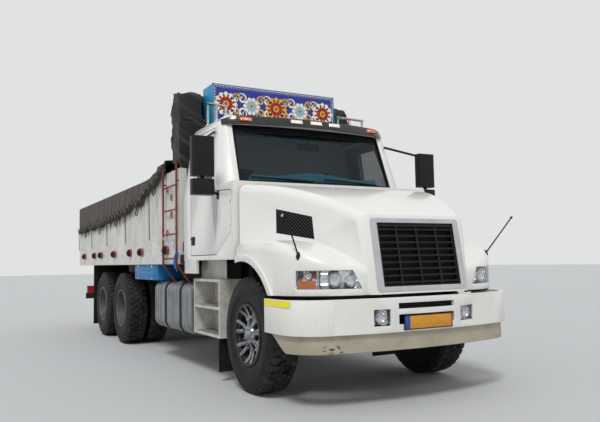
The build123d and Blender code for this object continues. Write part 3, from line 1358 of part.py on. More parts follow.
# Fuel tanks on both sides of the frame, and the straps that hold them
TANK_FRONT = STEP_BACK - 15
TANK_REAR = TANK_FRONT - 1510
TANK_Y0 = 590
TANK_Y1 = 1190
TANK_Z0 = FRAME_TOP - 610
TANK_Z1 = FRAME_TOP + 10
TANK_CORNER = 120
STRAP_X = (TANK_FRONT - 420, TANK_FRONT - 1020)
STRAP_W = 60
STRAP_T = 6
with BuildPart() as fuel_tanks:
    for side in BOTH_SIDES:
        with BuildSketch(Plane.YZ.offset(TANK_REAR)):
            with Locations((side * (TANK_Y0 + TANK_Y1) / 2, (TANK_Z0 + TANK_Z1) / 2)):
                RectangleRounded(TANK_Y1 - TANK_Y0, TANK_Z1 - TANK_Z0, TANK_CORNER)
        extrude(amount=TANK_FRONT - TANK_REAR)
fuel_tanks.part.label = "fuel_tanks"
export_step(fuel_tanks.part, "parts/fuel_tanks.step")

with BuildPart() as tank_straps:
    for side in BOTH_SIDES:
        for x in STRAP_X:
            with BuildSketch(Plane.YZ.offset(x - STRAP_W / 2)):
                with Locations((side * (TANK_Y0 + TANK_Y1) / 2, (TANK_Z0 + TANK_Z1) / 2)):
                    RectangleRounded(
                        TANK_Y1 - TANK_Y0 + 2 * STRAP_T + 2 * SEAT,
                        TANK_Z1 - TANK_Z0 + 2 * STRAP_T + 2 * SEAT,
                        TANK_CORNER + STRAP_T + SEAT,
                    )
                bracket_y0 = RAIL_Y + SEAT
                bracket_y1 = TANK_Y0
                with Locations((side * (bracket_y0 + bracket_y1) / 2, FRAME_BOTTOM + RAIL_H / 2)):
                    Rectangle(bracket_y1 - bracket_y0, RAIL_H)
                with Locations((side * (TANK_Y0 + TANK_Y1) / 2, (TANK_Z0 + TANK_Z1) / 2)):
                    RectangleRounded(
                        TANK_Y1 - TANK_Y0 + 2 * SEAT,
                        TANK_Z1 - TANK_Z0 + 2 * SEAT,
                        TANK_CORNER + SEAT,
                        mode=Mode.SUBTRACT,
                    )
            extrude(amount=STRAP_W)
tank_straps.part.label = "tank_straps"
export_step(tank_straps.part, "parts/tank_straps.step")

# Steps under each door: cheeks, back and three treads
STEP_Y0 = 900
STEP_Y1 = 1172
STEP_Z0 = FRAME_TOP - 560
STEP_Z1 = FRAME_TOP + 60
STEP_T = 30
with BuildPart() as steps:
    for side in BOTH_SIDES:
        middle_y = side * (STEP_Y0 + STEP_Y1) / 2
        with BuildSketch(Plane.XY.offset(STEP_Z0)):
            with Locations(((STEP_FRONT + STEP_BACK) / 2, middle_y)):
                Rectangle(STEP_FRONT - STEP_BACK, STEP_Y1 - STEP_Y0)
        extrude(amount=STEP_Z1 - STEP_Z0)
        well_h = (STEP_Z1 - STEP_Z0 - 3 * STEP_T) / 2
        for level in (0, 1):
            with BuildSketch(Plane.XY.offset(STEP_Z0 + STEP_T + level * (well_h + STEP_T))):
                with Locations(((STEP_FRONT + STEP_BACK) / 2, middle_y + side * STEP_T)):
                    Rectangle(STEP_FRONT - STEP_BACK - 2 * STEP_T, STEP_Y1 - STEP_Y0)
            extrude(amount=well_h, mode=Mode.SUBTRACT)
        # Hanger from the frame rail
        with BuildSketch(Plane.XZ.offset(-side * (RAIL_Y + STEP_Y0 + SEAT) / 2)):
            with Locations(((STEP_FRONT + STEP_BACK) / 2, FRAME_TOP - 60)):
                Rectangle(120, 100)
        extrude(amount=(STEP_Y0 - RAIL_Y - SEAT) / 2, both=True)
steps.part.label = "steps"
export_step(steps.part, "parts/steps.step")

# Mud flaps behind the steered wheels and behind the bogie
FLAP_T = 8
FRONT_FLAP_W = 360
FRONT_FLAP_LOW = 105
REAR_FLAP_X = X_DRIVE[1] - TYRE_R - 210
REAR_FLAP_LOW = 150
REAR_FLAP_IN = TWIN_OUTER_Y - TWIN_PITCH - TYRE_W / 2
REAR_FLAP_OUT = BODY_HALF - 8
with BuildPart() as mud_flaps:
    for side in BOTH_SIDES:
        with BuildSketch(Plane.YZ.offset(STEP_FRONT - 50)):
            with Locations((side * (STEP_Y1 - 7 - FRONT_FLAP_W / 2), FRONT_FLAP_LOW)):
                Rectangle(
                    FRONT_FLAP_W,
                    STEP_Z0 - SEAT - FRONT_FLAP_LOW,
                    align=(Align.CENTER, Align.MIN),
                )
        extrude(amount=FLAP_T)
        with BuildSketch(Plane.YZ.offset(REAR_FLAP_X)):
            with Locations((side * (REAR_FLAP_IN + REAR_FLAP_OUT) / 2, REAR_FLAP_LOW)):
                Rectangle(
                    REAR_FLAP_OUT - REAR_FLAP_IN,
                    FLOOR_TOP - FLOOR_RAIL_H - SEAT - REAR_FLAP_LOW,
                    align=(Align.CENTER, Align.MIN),
                )
        extrude(amount=FLAP_T)
mud_flaps.part.label = "mud_flaps"
export_step(mud_flaps.part, "parts/mud_flaps.step")

# Air tanks beside the rail, behind each fuel tank
AIR_X = TANK_REAR - 230
with BuildPart() as air_tanks:
    for side in BOTH_SIDES:
        with BuildSketch(Plane.XZ.offset(-side * (RAIL_Y + SEAT + 300))):
            with Locations((AIR_X, FRAME_BOTTOM + 60)):
                Circle(135)
        extrude(amount=300, both=True)
air_tanks.part.label = "air_tanks"
export_step(air_tanks.part, "parts/air_tanks.step")


# Load body: floor with its edge rails and bearers
FLOOR_T = 50
BEARER_H = FLOOR_TOP - FLOOR_T - FRAME_TOP
BEARER_Y = RAIL_Y - RAIL_FLANGE / 2
CROSS_BEARERS = 9
CROSS_BEARER_H = 60
with BuildPart() as load_floor:
    with BuildSketch(Plane.XY.offset(FLOOR_TOP - FLOOR_T)):
        with Locations(((X_TAIL + BODY_FRONT) / 2, 0)):
            Rectangle(BODY_FRONT - X_TAIL, 2 * BODY_HALF)
    extrude(amount=FLOOR_T)
    for side in BOTH_SIDES:
        with BuildSketch(Plane.XY.offset(FLOOR_TOP - FLOOR_RAIL_H)):
            with Locations(((X_TAIL + BODY_FRONT) / 2, side * (BODY_HALF - 40))):
                Rectangle(BODY_FRONT - X_TAIL, 80)
        extrude(amount=FLOOR_RAIL_H - FLOOR_T)
        with BuildSketch(Plane.XY.offset(FRAME_TOP)):
            with Locations(((X_TAIL + BODY_FRONT) / 2, side * BEARER_Y)):
                Rectangle(BODY_FRONT - X_TAIL - 120, 80)
        extrude(amount=BEARER_H)
    bearer_pitch = (BODY_FRONT - X_TAIL - 400) / (CROSS_BEARERS - 1)
    with BuildSketch(Plane.XY.offset(FLOOR_TOP - FLOOR_T - CROSS_BEARER_H)):
        with Locations(((X_TAIL + BODY_FRONT) / 2, 0)):
            with GridLocations(bearer_pitch, 0, CROSS_BEARERS, 1):
                Rectangle(80, 2 * BODY_HALF - 40)
    extrude(amount=CROSS_BEARER_H)
load_floor.part.label = "load_floor"
export_step(load_floor.part, "parts/load_floor.step")

# Side walls: three panels a side between posts, each panel with upright ribs
WALL_IN = 12
WALL_POSTS = (BODY_FRONT - 300, X_AXLE - 4070, X_AXLE - 6740)
RIB_W = 50
RIB_PITCH = 330
HINGE_X = X_TAIL - 18
HINGE_Y = BODY_HALF - 94
HINGE_Z = (FLOOR_TOP + 190, WALL_TOP - 420)
HINGE_PIN_R = 9
BARREL_R = 16
BARREL_H = 50
LUG_H = 26
LUG_W = 44
LUG_OUT = 9
LUG_L = 24
REAR_POST_X = X_TAIL + 10
BOW_H = 30
BOW_CROWN = 20
BOW_XS = [X_TAIL + 300 + n * 1000 for n in range(6)]
with BuildPart() as side_walls:
    for side in BOTH_SIDES:
        with BuildSketch(Plane.XY.offset(FLOOR_TOP)):
            with Locations(((X_TAIL + BODY_FRONT) / 2, side * (BODY_HALF - WALL_IN - WALL_T / 2))):
                Rectangle(BODY_FRONT - X_TAIL - 20, WALL_T)
            rib_count = int((BODY_FRONT - X_TAIL - 700) / RIB_PITCH)
            with Locations(((X_TAIL + BODY_FRONT) / 2, side * (BODY_HALF - WALL_IN / 2))):
                with GridLocations(RIB_PITCH, 0, rib_count, 1):
                    Rectangle(RIB_W, WALL_IN)
            for x in (REAR_POST_X + POST_W / 2, BODY_FRONT - 10 - POST_W / 2):
                with Locations((x, side * (BODY_HALF - WALL_IN / 2 - 40))):
                    Rectangle(POST_W, WALL_IN + 80)
        extrude(amount=WALL_TOP - FLOOR_TOP)
        for x in WALL_POSTS:
            with BuildSketch(Plane.XY.offset(FLOOR_TOP)):
                with Locations((x, side * (BODY_HALF - WALL_IN / 2))):
                    Rectangle(POST_W, WALL_IN)
            extrude(amount=WALL_TOP - FLOOR_TOP)
    # Tarpaulin bows from wall to wall
    for x in BOW_XS:
        with BuildSketch(Plane.YZ.offset(x - 20)):
            with BuildLine():
                half = BODY_HALF - WALL_IN
                Line((-half, WALL_TOP), (half, WALL_TOP))
                Line((half, WALL_TOP), (half, WALL_TOP + BOW_H / 2))
                ThreePointArc(
                    (half, WALL_TOP + BOW_H / 2),
                    (0, WALL_TOP + BOW_H + BOW_CROWN),
                    (-half, WALL_TOP + BOW_H / 2),
                )
                Line((-half, WALL_TOP + BOW_H / 2), (-half, WALL_TOP))
            make_face()
        extrude(amount=40)
    # Two hinge lugs with upright pins on each rear post
    for side in BOTH_SIDES:
        outward = Align.MIN if side > 0 else Align.MAX
        for z in HINGE_Z:
            with BuildSketch(Plane.XY.offset(z)):
                with Locations((HINGE_X - LUG_OUT, side * (HINGE_Y - LUG_OUT))):
                    Rectangle(LUG_L, LUG_W, align=(Align.MIN, outward))
                with Locations((HINGE_X, side * (HINGE_Y + LUG_OUT))):
                    Rectangle(REAR_POST_X - HINGE_X, LUG_W - 2 * LUG_OUT, align=(Align.MIN, outward))
            extrude(amount=LUG_H)
            with BuildSketch(Plane.XY.offset(z)):
                with Locations((HINGE_X, side * HINGE_Y)):
                    Circle(HINGE_PIN_R)
            extrude(amount=LUG_H + BARREL_H)
side_walls.part.label = "side_walls"
export_step(side_walls.part, "parts/side_walls.step")

# Headboard between the side walls, standing above them
HEAD_T = 45
HEAD_TOP = WALL_TOP + 520
HEAD_X = BODY_FRONT - 110 - HEAD_T
with BuildPart() as headboard:
    with BuildSketch(Plane.YZ.offset(HEAD_X)):
        with Locations((0, FLOOR_TOP)):
            Rectangle(
                2 * (BODY_HALF - WALL_IN - WALL_T - SEAT),
                WALL_TOP - FLOOR_TOP,
                align=(Align.CENTER, Align.MIN),
            )
        with Locations((0, WALL_TOP)):
            Rectangle(
                2 * (BODY_HALF - WALL_IN - WALL_T - SEAT),
                HEAD_TOP - WALL_TOP,
                align=(Align.CENTER, Align.MIN),
            )
    extrude(amount=HEAD_T)
headboard.part.label = "headboard"
export_step(headboard.part, "parts/headboard.step")

# Rear doors: two leaves between the rear posts
REAR_DOOR_T = 40
REAR_STRAP_T = 12
REAR_STRAP_L = 260
REAR_DOOR_EDGE = BODY_HALF - 90 - 8
for side in BOTH_SIDES:
    with BuildPart() as rear_door:
        with BuildSketch(Plane.YZ.offset(X_TAIL)):
            with Locations((side * (REAR_DOOR_EDGE + 4) / 2, FLOOR_TOP + 6)):
                Rectangle(REAR_DOOR_EDGE - 4, WALL_TOP - FLOOR_TOP - 12, align=(Align.CENTER, Align.MIN))
        extrude(amount=REAR_DOOR_T)
        with BuildSketch(Plane.YZ.offset(X_TAIL + REAR_DOOR_T)):
            with Locations((side * (REAR_DOOR_EDGE + 4) / 2, FLOOR_TOP + 90)):
                Rectangle(REAR_DOOR_EDGE - 164, WALL_TOP - FLOOR_TOP - 180, align=(Align.CENTER, Align.MIN))
        extrude(amount=-REAR_DOOR_T / 2, mode=Mode.SUBTRACT)
        # A strap at each hinge, with a barrel round the post's pin
        for z in HINGE_Z:
            with BuildSketch(Plane.XY.offset(z + LUG_H + SEAT)):
                with Locations((X_TAIL, side * HINGE_Y)):
                    Rectangle(
                        REAR_STRAP_T,
                        REAR_STRAP_L,
                        align=(Align.MAX, Align.MAX if side > 0 else Align.MIN),
                    )
                with Locations((HINGE_X, side * HINGE_Y)):
                    Circle(BARREL_R)
                    Circle(HINGE_PIN_R + PIN_FIT, mode=Mode.SUBTRACT)
            extrude(amount=BARREL_H)
        for y in (REAR_DOOR_EDGE * 0.35, REAR_DOOR_EDGE * 0.7):
            with BuildSketch(Plane.YZ.offset(X_TAIL + REAR_DOOR_T / 2)):
                with Locations((side * y, (FLOOR_TOP + WALL_TOP) / 2)):
                    Rectangle(60, WALL_TOP - FLOOR_TOP - 170)
            extrude(amount=REAR_DOOR_T / 2)
    name = "rear_door_" + SIDE_NAMES[side]
    rear_door.part.label = name
    export_step(rear_door.part, "parts/" + name + ".step")

# Tarpaulin over the bows, with its lower edge hauled up towards the front
TARP_T = 12
TARP_FRONT = BODY_FRONT - 430
TARP_EDGE = (
    (X_TAIL + 20, FRAME_TOP + 865),
    (X_AXLE - 6270, FRAME_TOP + 907),
    (X_AXLE - 4730, FRAME_TOP + 970),
    (X_AXLE - 3620, FRAME_TOP + 1070),
    (X_AXLE - 2840, FRAME_TOP + 1240),
    (TARP_FRONT, FRAME_TOP + 1390),
)
with BuildPart() as tarpaulin:
    with BuildSketch(Plane.YZ.offset(X_TAIL + 20)):
        for grow, mode in ((TARP_T, Mode.ADD), (0, Mode.SUBTRACT)):
            half = BODY_HALF + SEAT + grow
            crown = WALL_TOP + BOW_H + BOW_CROWN + SEAT + grow
            edge = WALL_TOP + BOW_H / 2 + SEAT + grow
            with BuildLine():
                Line((-half, FRAME_TOP + 500 - grow), (half, FRAME_TOP + 500 - grow))
                Line((half, FRAME_TOP + 500 - grow), (half, edge))
                ThreePointArc((half, edge), (0, crown), (-half, edge))
                Line((-half, edge), (-half, FRAME_TOP + 500 - grow))
            make_face(mode=mode)
    extrude(amount=TARP_FRONT - X_TAIL - 20)
    with BuildSketch(Plane.XZ):
        with BuildLine():
            Polyline(
                [(X_TAIL - 10, FRAME_TOP + 400), (X_TAIL - 10, TARP_EDGE[0][1])]
                + list(TARP_EDGE)
                + [(TARP_FRONT + 10, FRAME_TOP + 1390), (TARP_FRONT + 10, FRAME_TOP + 400)],
                close=True,
            )
        make_face()
    extrude(amount=BODY_HALF + 100, both=True, mode=Mode.SUBTRACT)
tarpaulin.part.label = "tarpaulin"
export_step(tarpaulin.part, "parts/tarpaulin.step")

# Rolled tarpaulin behind the headboard, standing above it
BUNDLE_X0 = BODY_FRONT - 400
BUNDLE_Z1 = ROOF + 485
with BuildPart() as tarp_bundle:
    with BuildSketch(Plane.XZ):
        with BuildLine():
            Polyline(
                (HEAD_X - SEAT, WALL_TOP + 60),
                (HEAD_X - SEAT, HEAD_TOP + SEAT),
                (BODY_FRONT - 20, HEAD_TOP + SEAT),
                (BODY_FRONT - 20, BUNDLE_Z1 - 120),
                (BODY_FRONT - 110, BUNDLE_Z1),
                (BUNDLE_X0 + 130, BUNDLE_Z1 - 20),
                (BUNDLE_X0, BUNDLE_Z1 - 330),
                (BUNDLE_X0, WALL_TOP + 60),
                close=True,
            )
        make_face()
    extrude(amount=BODY_HALF - 10, both=True)
    with BuildSketch(Plane.YZ.offset(CROWN_X0 - 5)):
        with Locations((0, HEAD_TOP - 5)):
            Rectangle(2 * CROWN_HALF + 10, 800, align=(Align.CENTER, Align.MIN))
    extrude(amount=1000, mode=Mode.SUBTRACT)
tarp_bundle.part.label = "tarp_bundle"
export_step(tarp_bundle.part, "parts/tarp_bundle.step")

# Ladder up the body's front right corner, from the tank's top
LADDER_X = (BODY_FRONT - 40, BODY_FRONT - 585)
LADDER_Y = -BODY_HALF - 30
LADDER_R = 13
LADDER_TOP = FRAME_TOP + 1450
LADDER_BEND = FRAME_TOP + 230
LADDER_FOOT_Y = -TANK_Y1 + 90
RUNG_Z = (FRAME_TOP + 300, FRAME_TOP + 600, FRAME_TOP + 900, FRAME_TOP + 1200)
with BuildPart() as ladder:
    for x in LADDER_X:
        with BuildLine() as stile:
            FilletPolyline(
                (x, LADDER_FOOT_Y, TANK_Z1 - 20),
                (x, LADDER_Y, LADDER_BEND),
                (x, LADDER_Y, LADDER_TOP),
                radius=80,
            )
        with BuildSketch(Plane(origin=stile.line @ 0, z_dir=stile.line % 0)):
            Circle(LADDER_R)
        sweep(path=stile.line)
        with BuildSketch(Plane.XZ.offset(-LADDER_Y)):
            with Locations((x, LADDER_TOP - 200)):
                Circle(9)
        extrude(amount=LADDER_Y + BODY_HALF - WALL_IN)
    with BuildSketch(Plane.XY.offset(TANK_Z1 + SEAT)):
        with Locations((BODY_FRONT - 300, LADDER_FOOT_Y)):
            Rectangle(900, 300)
    extrude(amount=-200, mode=Mode.SUBTRACT)
    for z in RUNG_Z:
        with BuildSketch(Plane.YZ.offset(LADDER_X[1])):
            with Locations((LADDER_Y, z)):
                Circle(10)
        extrude(amount=LADDER_X[0] - LADDER_X[1])
    add(side_walls.part, mode=Mode.SUBTRACT)
ladder.part.label = "ladder"
export_step(ladder.part, "parts/ladder.step")

# Toolbox hung under the body on the right
TOOLBOX_X = (X_AXLE - 2810, X_AXLE - 3990)
TOOLBOX_H = 215
with BuildPart() as toolbox:
    with BuildSketch(Plane.XY.offset(FLOOR_TOP - FLOOR_RAIL_H - SEAT - TOOLBOX_H)):
        with Locations(((TOOLBOX_X[0] + TOOLBOX_X[1]) / 2, -BODY_HALF + 200)):
            Rectangle(TOOLBOX_X[0] - TOOLBOX_X[1], 330)
    extrude(amount=TOOLBOX_H)
toolbox.part.label = "toolbox"
export_step(toolbox.part, "parts/toolbox.step")

# Marker lamps: round pods along both side walls and flat ones on the sun visor
VISOR_LAMPS = (-834, -250, 0, 250, 834)
VISOR_LAMP_H = 42
POD_X = (2260, 3470, 4080, 5160, 6200, 6740, 7750)
POD_R = 42
with BuildPart() as marker_lamps:
    for side in BOTH_SIDES:
        for back in POD_X:
            start = side * (BODY_HALF - WALL_IN)
            plane = Plane(
                origin=(X_AXLE - back, start, FLOOR_TOP + 60),
                x_dir=(1, 0, 0),
                z_dir=(0, side, 0),
            )
            with BuildSketch(plane):
                Circle(POD_R)
            extrude(amount=WALL_IN + 75)
    add(side_walls.part, mode=Mode.SUBTRACT)
    for y in VISOR_LAMPS:
        front_x = X_AXLE - 560 - 185 * (y / VISOR_HALF) ** 2
        with BuildSketch(Plane.XY.offset(VISOR_Z1)):
            with Locations((front_x - 45, y)):
                RectangleRounded(70, 150, 20)
        extrude(amount=VISOR_LAMP_H)
marker_lamps.part.label = "marker_lamps"
export_step(marker_lamps.part, "parts/marker_lamps.step")

# Underrun bar with its posts, and the rear lamps on it
UNDERRUN_X = X_TAIL + 160
JAW_H = 60
JAW_BORE_R = 20
with BuildPart() as underrun_bar:
    with BuildSketch(Plane.YZ.offset(UNDERRUN_X)):
        with Locations((0, FRAME_BOTTOM - 120)):
            Rectangle(2300, 110)
        for side in BOTH_SIDES:
            with Locations((side * (RAIL_Y + 15 + SEAT), FRAME_BOTTOM + 40)):
                Rectangle(30, 400)
    extrude(amount=80)
    # Towing jaw on the bar, with an upright bore for its pin
    with BuildSketch(Plane.XY.offset(FRAME_BOTTOM - 120 - JAW_H / 2)):
        with Locations((UNDERRUN_X - 60, 0)):
            RectangleRounded(140, 120, 20)
        with Locations((UNDERRUN_X - 70, 0)):
            Circle(JAW_BORE_R, mode=Mode.SUBTRACT)
    extrude(amount=JAW_H)
underrun_bar.part.label = "underrun_bar"
export_step(underrun_bar.part, "parts/underrun_bar.step")

with BuildPart() as rear_lamps:
    for side in BOTH_SIDES:
        with BuildSketch(Plane.YZ.offset(UNDERRUN_X)):
            with Locations((side * 960, FRAME_BOTTOM + 5)):
                Rectangle(340, 140)
        extrude(amount=60)
rear_lamps.part.label = "rear_lamps"
export_step(rear_lamps.part, "parts/rear_lamps.step")
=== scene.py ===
import math
from functools import partial

import bmesh
import bpy
from mathutils import Matrix, Vector
from mathutils.bvhtree import BVHTree


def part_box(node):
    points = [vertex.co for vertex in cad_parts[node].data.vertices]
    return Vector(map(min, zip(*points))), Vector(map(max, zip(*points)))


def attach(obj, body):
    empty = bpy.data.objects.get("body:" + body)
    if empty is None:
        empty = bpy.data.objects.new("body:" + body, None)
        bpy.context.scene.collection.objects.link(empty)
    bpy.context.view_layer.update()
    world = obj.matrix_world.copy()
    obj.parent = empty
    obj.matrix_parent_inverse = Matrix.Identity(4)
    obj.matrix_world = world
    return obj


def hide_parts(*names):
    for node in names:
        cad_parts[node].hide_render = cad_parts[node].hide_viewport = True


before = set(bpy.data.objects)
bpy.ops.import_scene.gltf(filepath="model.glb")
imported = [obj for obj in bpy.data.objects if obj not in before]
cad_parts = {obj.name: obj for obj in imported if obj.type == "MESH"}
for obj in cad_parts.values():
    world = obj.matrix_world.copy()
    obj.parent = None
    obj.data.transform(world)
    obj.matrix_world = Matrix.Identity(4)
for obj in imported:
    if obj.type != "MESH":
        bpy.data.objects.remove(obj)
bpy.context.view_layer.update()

# Camera. It stands low off the truck's front right corner, about level with the
# bumper. Its place, turn and lens are those that put the tyres, bumper and cab
# edges where the photograph has them.
CAMERA_AT = Vector((9.304, -3.719, 1.263))
CAMERA_YAW = 2.638339
CAMERA_PITCH = 0.077506
CAMERA_ROLL = -0.017815
CAMERA_LENS = 38.576
level_right = Vector((math.sin(CAMERA_YAW), -math.cos(CAMERA_YAW), 0))
ahead = Vector((
    math.cos(CAMERA_YAW) * math.cos(CAMERA_PITCH),
    math.sin(CAMERA_YAW) * math.cos(CAMERA_PITCH),
    math.sin(CAMERA_PITCH),
))
level_up = level_right.cross(ahead)
right = math.cos(CAMERA_ROLL) * level_right + math.sin(CAMERA_ROLL) * level_up
up = math.cos(CAMERA_ROLL) * level_up - math.sin(CAMERA_ROLL) * level_right
camera_data = bpy.data.cameras.new("camera")
camera_data.lens = CAMERA_LENS
camera_data.clip_end = 400
camera = bpy.data.objects.new("camera", camera_data)
camera.matrix_world = Matrix.Translation(CAMERA_AT) @ Matrix((right, up, -ahead)).transposed().to_4x4()
bpy.context.scene.collection.objects.link(camera)
bpy.context.scene.camera = camera
bpy.context.scene.view_settings.view_transform = "Standard"

# Light. A bright hazy day: the whole sky is pale and even, with a wide soft sun
# high on the truck's right. The sky is white to the camera and in reflections.
SKY_LIGHT = 0.68
SKY_SEEN = 0.86
SUN_POWER = 1.55
SUN_SPREAD = math.radians(14)
SUN_TURN = (math.radians(38), 0, math.radians(52))


def linear(code):
    # Turns a colour written as sRGB hex into the linear values that nodes take
    parts = [int(code[i:i + 2], 16) / 255 for i in (1, 3, 5)]
    return [c / 12.92 if c <= 0.04045 else ((c + 0.055) / 1.055) ** 2.4 for c in parts] + [1]


def fill(made, *values, **named):
    # Gives a node's sockets a value or a link each, in their order or by name
    sockets = [socket for socket in made.inputs if socket.enabled][:len(values)]
    sockets += [made.inputs[name.replace("_", " ")] for name in named]
    for socket, value in zip(sockets, [*values, *named.values()]):
        if isinstance(value, bpy.types.Node):
            value = next(output for output in value.outputs if output.enabled)
        if isinstance(value, bpy.types.NodeSocket):
            made.id_data.links.new(value, socket)
        else:
            socket.default_value = linear(value) if isinstance(value, str) else value


def add_node(tree, kind, *values, **named):
    # Adds one node; names in small letters are its settings, the rest its sockets
    made = tree.nodes.new("ShaderNode" + kind)
    for name in [name for name in named if name.islower()]:
        setattr(made, name, named.pop(name))
    fill(made, *values, **named)
    return made


world = bpy.data.worlds.new("haze")
bpy.context.scene.world = world
world.use_nodes = True
sky = world.node_tree
sky.nodes.clear()
rays = add_node(sky, "LightPath")
seen = add_node(sky, "Math", rays.outputs["Is Camera Ray"], rays.outputs["Is Glossy Ray"],
                operation="MAXIMUM")
seen = add_node(sky, "Math", seen, rays.outputs["Is Transmission Ray"], operation="MAXIMUM")
level = add_node(sky, "MapRange", seen, 0.0, 1.0, SKY_LIGHT, SKY_SEEN)
back = add_node(sky, "Background", Color="#f1f2f2", Strength=level)
add_node(sky, "OutputWorld", Surface=back)

sun_data = bpy.data.lights.new("sun", "SUN")
sun_data.energy = SUN_POWER
sun_data.angle = SUN_SPREAD
sun = bpy.data.objects.new("sun", sun_data)
sun.rotation_euler = SUN_TURN
bpy.context.scene.collection.objects.link(sun)

# Floor. A plain pale floor without an edge in view, matt like painted board. It
# takes the truck's shadow.
FLOOR_SIZE = 160
floor_mesh = bmesh.new()
bmesh.ops.create_grid(floor_mesh, x_segments=1, y_segments=1, size=FLOOR_SIZE / 2)
floor_data = bpy.data.meshes.new("floor")
floor_mesh.to_mesh(floor_data)
floor_mesh.free()
floor = bpy.data.objects.new("floor", floor_data)
bpy.context.scene.collection.objects.link(floor)
floor_paint = bpy.data.materials.new("pale_floor")
floor_paint.use_nodes = True
floor_shader = floor_paint.node_tree.nodes["Principled BSDF"]
floor_shader.inputs["Base Color"].default_value = linear("#c4c6c8")
floor_shader.inputs["Roughness"].default_value = 0.85
floor_data.materials.append(floor_paint)

# White enamel on the cab, bonnet, doors and bumper: an acrylic truck paint, sprayed
# on pressed steel and moulded panels. It is glossy with a faint orange peel, and
# road dust dulls it towards the sills.
def new_material(name):
    # A material, the call that adds a node to it, and its surface shader
    made = bpy.data.materials.new(name)
    made.use_nodes = True
    return made, partial(add_node, made.node_tree), made.node_tree.nodes["Principled BSDF"]


def white_enamel(name, paint, dust, dust_top, dust_most, roughness):
    # Glossy white under road dust, which is thickest low down and thins to its top
    made, add, shader = new_material(name)
    where = add("TexCoord").outputs["Object"]
    low = add("MapRange", add("SeparateXYZ", where).outputs["Z"], 0.4, dust_top, dust_most, 0.06)
    cloud = add("MapRange", add("TexNoise", where, 2.2, 8.0, 0.55), 0.3, 0.7)
    fine = add("MapRange", add("TexNoise", where, 45.0, 5.0, 0.55), 0.35, 0.75)
    share = add("Math", low, add("Math", cloud, fine, operation="MAXIMUM"), operation="MULTIPLY")
    fill(
        shader,
        Base_Color=add("Mix", share, paint, dust, data_type="RGBA"),
        Roughness=add("MapRange", share, 0.0, 0.6, roughness, 0.6),
        Normal=add("Bump", Height=add("TexNoise", where, 90.0, 2.0, 0.55), Distance=0.00012),
        Coat_Weight=0.35,
        Coat_Roughness=0.06,
    )
    return made


cab_white = white_enamel("cab_white", "#ecebe8", "#b5ae9f", 1.7, 0.34, 0.24)

# Skins of the sheet-metal pieces, each a copy of the CAD piece with rounded edges.
# Behind the enamel the panels are lined: the bonnet and arches with black
# sound-proofing, the cab and doors with grey trim cloth, darkened to near-black as
# painted shade of the dim cab inside.
MERGE_DIST = 0.00002
FLAT_ANGLE = math.radians(0.6)


def shade(data, angle=30.0):
    # Smooth shading, but for the edges that are sharper than the angle
    data.polygons.foreach_set("use_smooth", [True] * len(data.polygons))
    data.set_sharp_from_angle(angle=math.radians(angle))


def keep(name, made, material, body, angle=30.0):
    # Turns a finished mesh into a piece of the truck that moves with one body
    data = bpy.data.meshes.new(name)
    made.to_mesh(data)
    made.free()
    data.materials.append(material)
    shade(data, angle)
    piece = bpy.data.objects.new(name, data)
    bpy.context.scene.collection.objects.link(piece)
    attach(piece, body)
    return piece


def merged(node, flat=0.0):
    # A copy of a CAD piece, its doubled points merged and, to an angle, its flat faces
    made = bmesh.new()
    made.from_mesh(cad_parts[node].data)
    bmesh.ops.remove_doubles(made, verts=made.verts, dist=MERGE_DIST)
    if flat:
        bmesh.ops.dissolve_limit(made, angle_limit=flat, verts=made.verts, edges=made.edges)
    return made


def round_edges(made, edges, offset, segments=2, clamped=True):
    # Rounds edges; where clamped, rounds that would meet stop short of each other
    bmesh.ops.bevel(made, geom=edges, offset=offset, segments=segments, profile=0.5,
                    affect="EDGES", material=-1, clamp_overlap=clamped)


def smooth_copy(node, body, material, bevel=0.0, segments=2, angle=28.0):
    # A copy of a CAD piece with rounded edges and smooth curves, in its place
    made = merged(node, FLAT_ANGLE)
    if bevel:
        sharp = [e for e in made.edges
                 if len(e.link_faces) == 2 and e.calc_face_angle(0) > math.radians(angle)]
        round_edges(made, sharp, bevel, segments)
    piece = keep(node + "_skin", made, material, body, angle)
    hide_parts(node)
    return piece


def lined(piece, lining, hidden):
    # Gives the faces that look into the panel's hollow the lining
    piece.data.materials.append(lining)
    made = bmesh.new()
    made.from_mesh(piece.data)
    walls = BVHTree.FromBMesh(made)
    for face in made.faces:
        middle = face.calc_center_median()
        hit = walls.ray_cast(middle + face.normal * 0.002, face.normal, 2.6)
        if hidden(middle, face.normal, hit[0] is not None):
            face.material_index = 1
    made.to_mesh(piece.data)
    made.free()


def cloth_like(name, colour, thread, threads_per_metre, roughness=0.9, sheen=0.3, puckers=0.0):
    # A woven cloth in Object coordinates, its threads drawn coarse enough to show
    made, add, shader = new_material(name)
    where = add("TexCoord").outputs["Object"]
    warp = add("TexWave", Vector=where, Scale=threads_per_metre / 6.3,
               bands_direction="DIAGONAL").outputs["Fac"]
    tone = add("MapRange", add("TexNoise", where, 4.0, 8.0, 0.6), 0.3, 0.75)
    cloth = add("Math", tone, add("MapRange", warp, 0.0, 1.0, 0.6, 1.0), operation="MULTIPLY")
    fill(
        shader,
        Base_Color=add("Mix", cloth, colour, thread, data_type="RGBA"),
        Roughness=roughness,
        Sheen_Weight=sheen,
        Sheen_Roughness=0.5,
        Normal=add("Bump", Height=add("Math", warp, add("Math", add("TexNoise", where, 9.0, 5.0, 0.55),
                                                        puckers, operation="MULTIPLY"), operation="ADD"),
                   Distance=0.0012),
    )
    return made


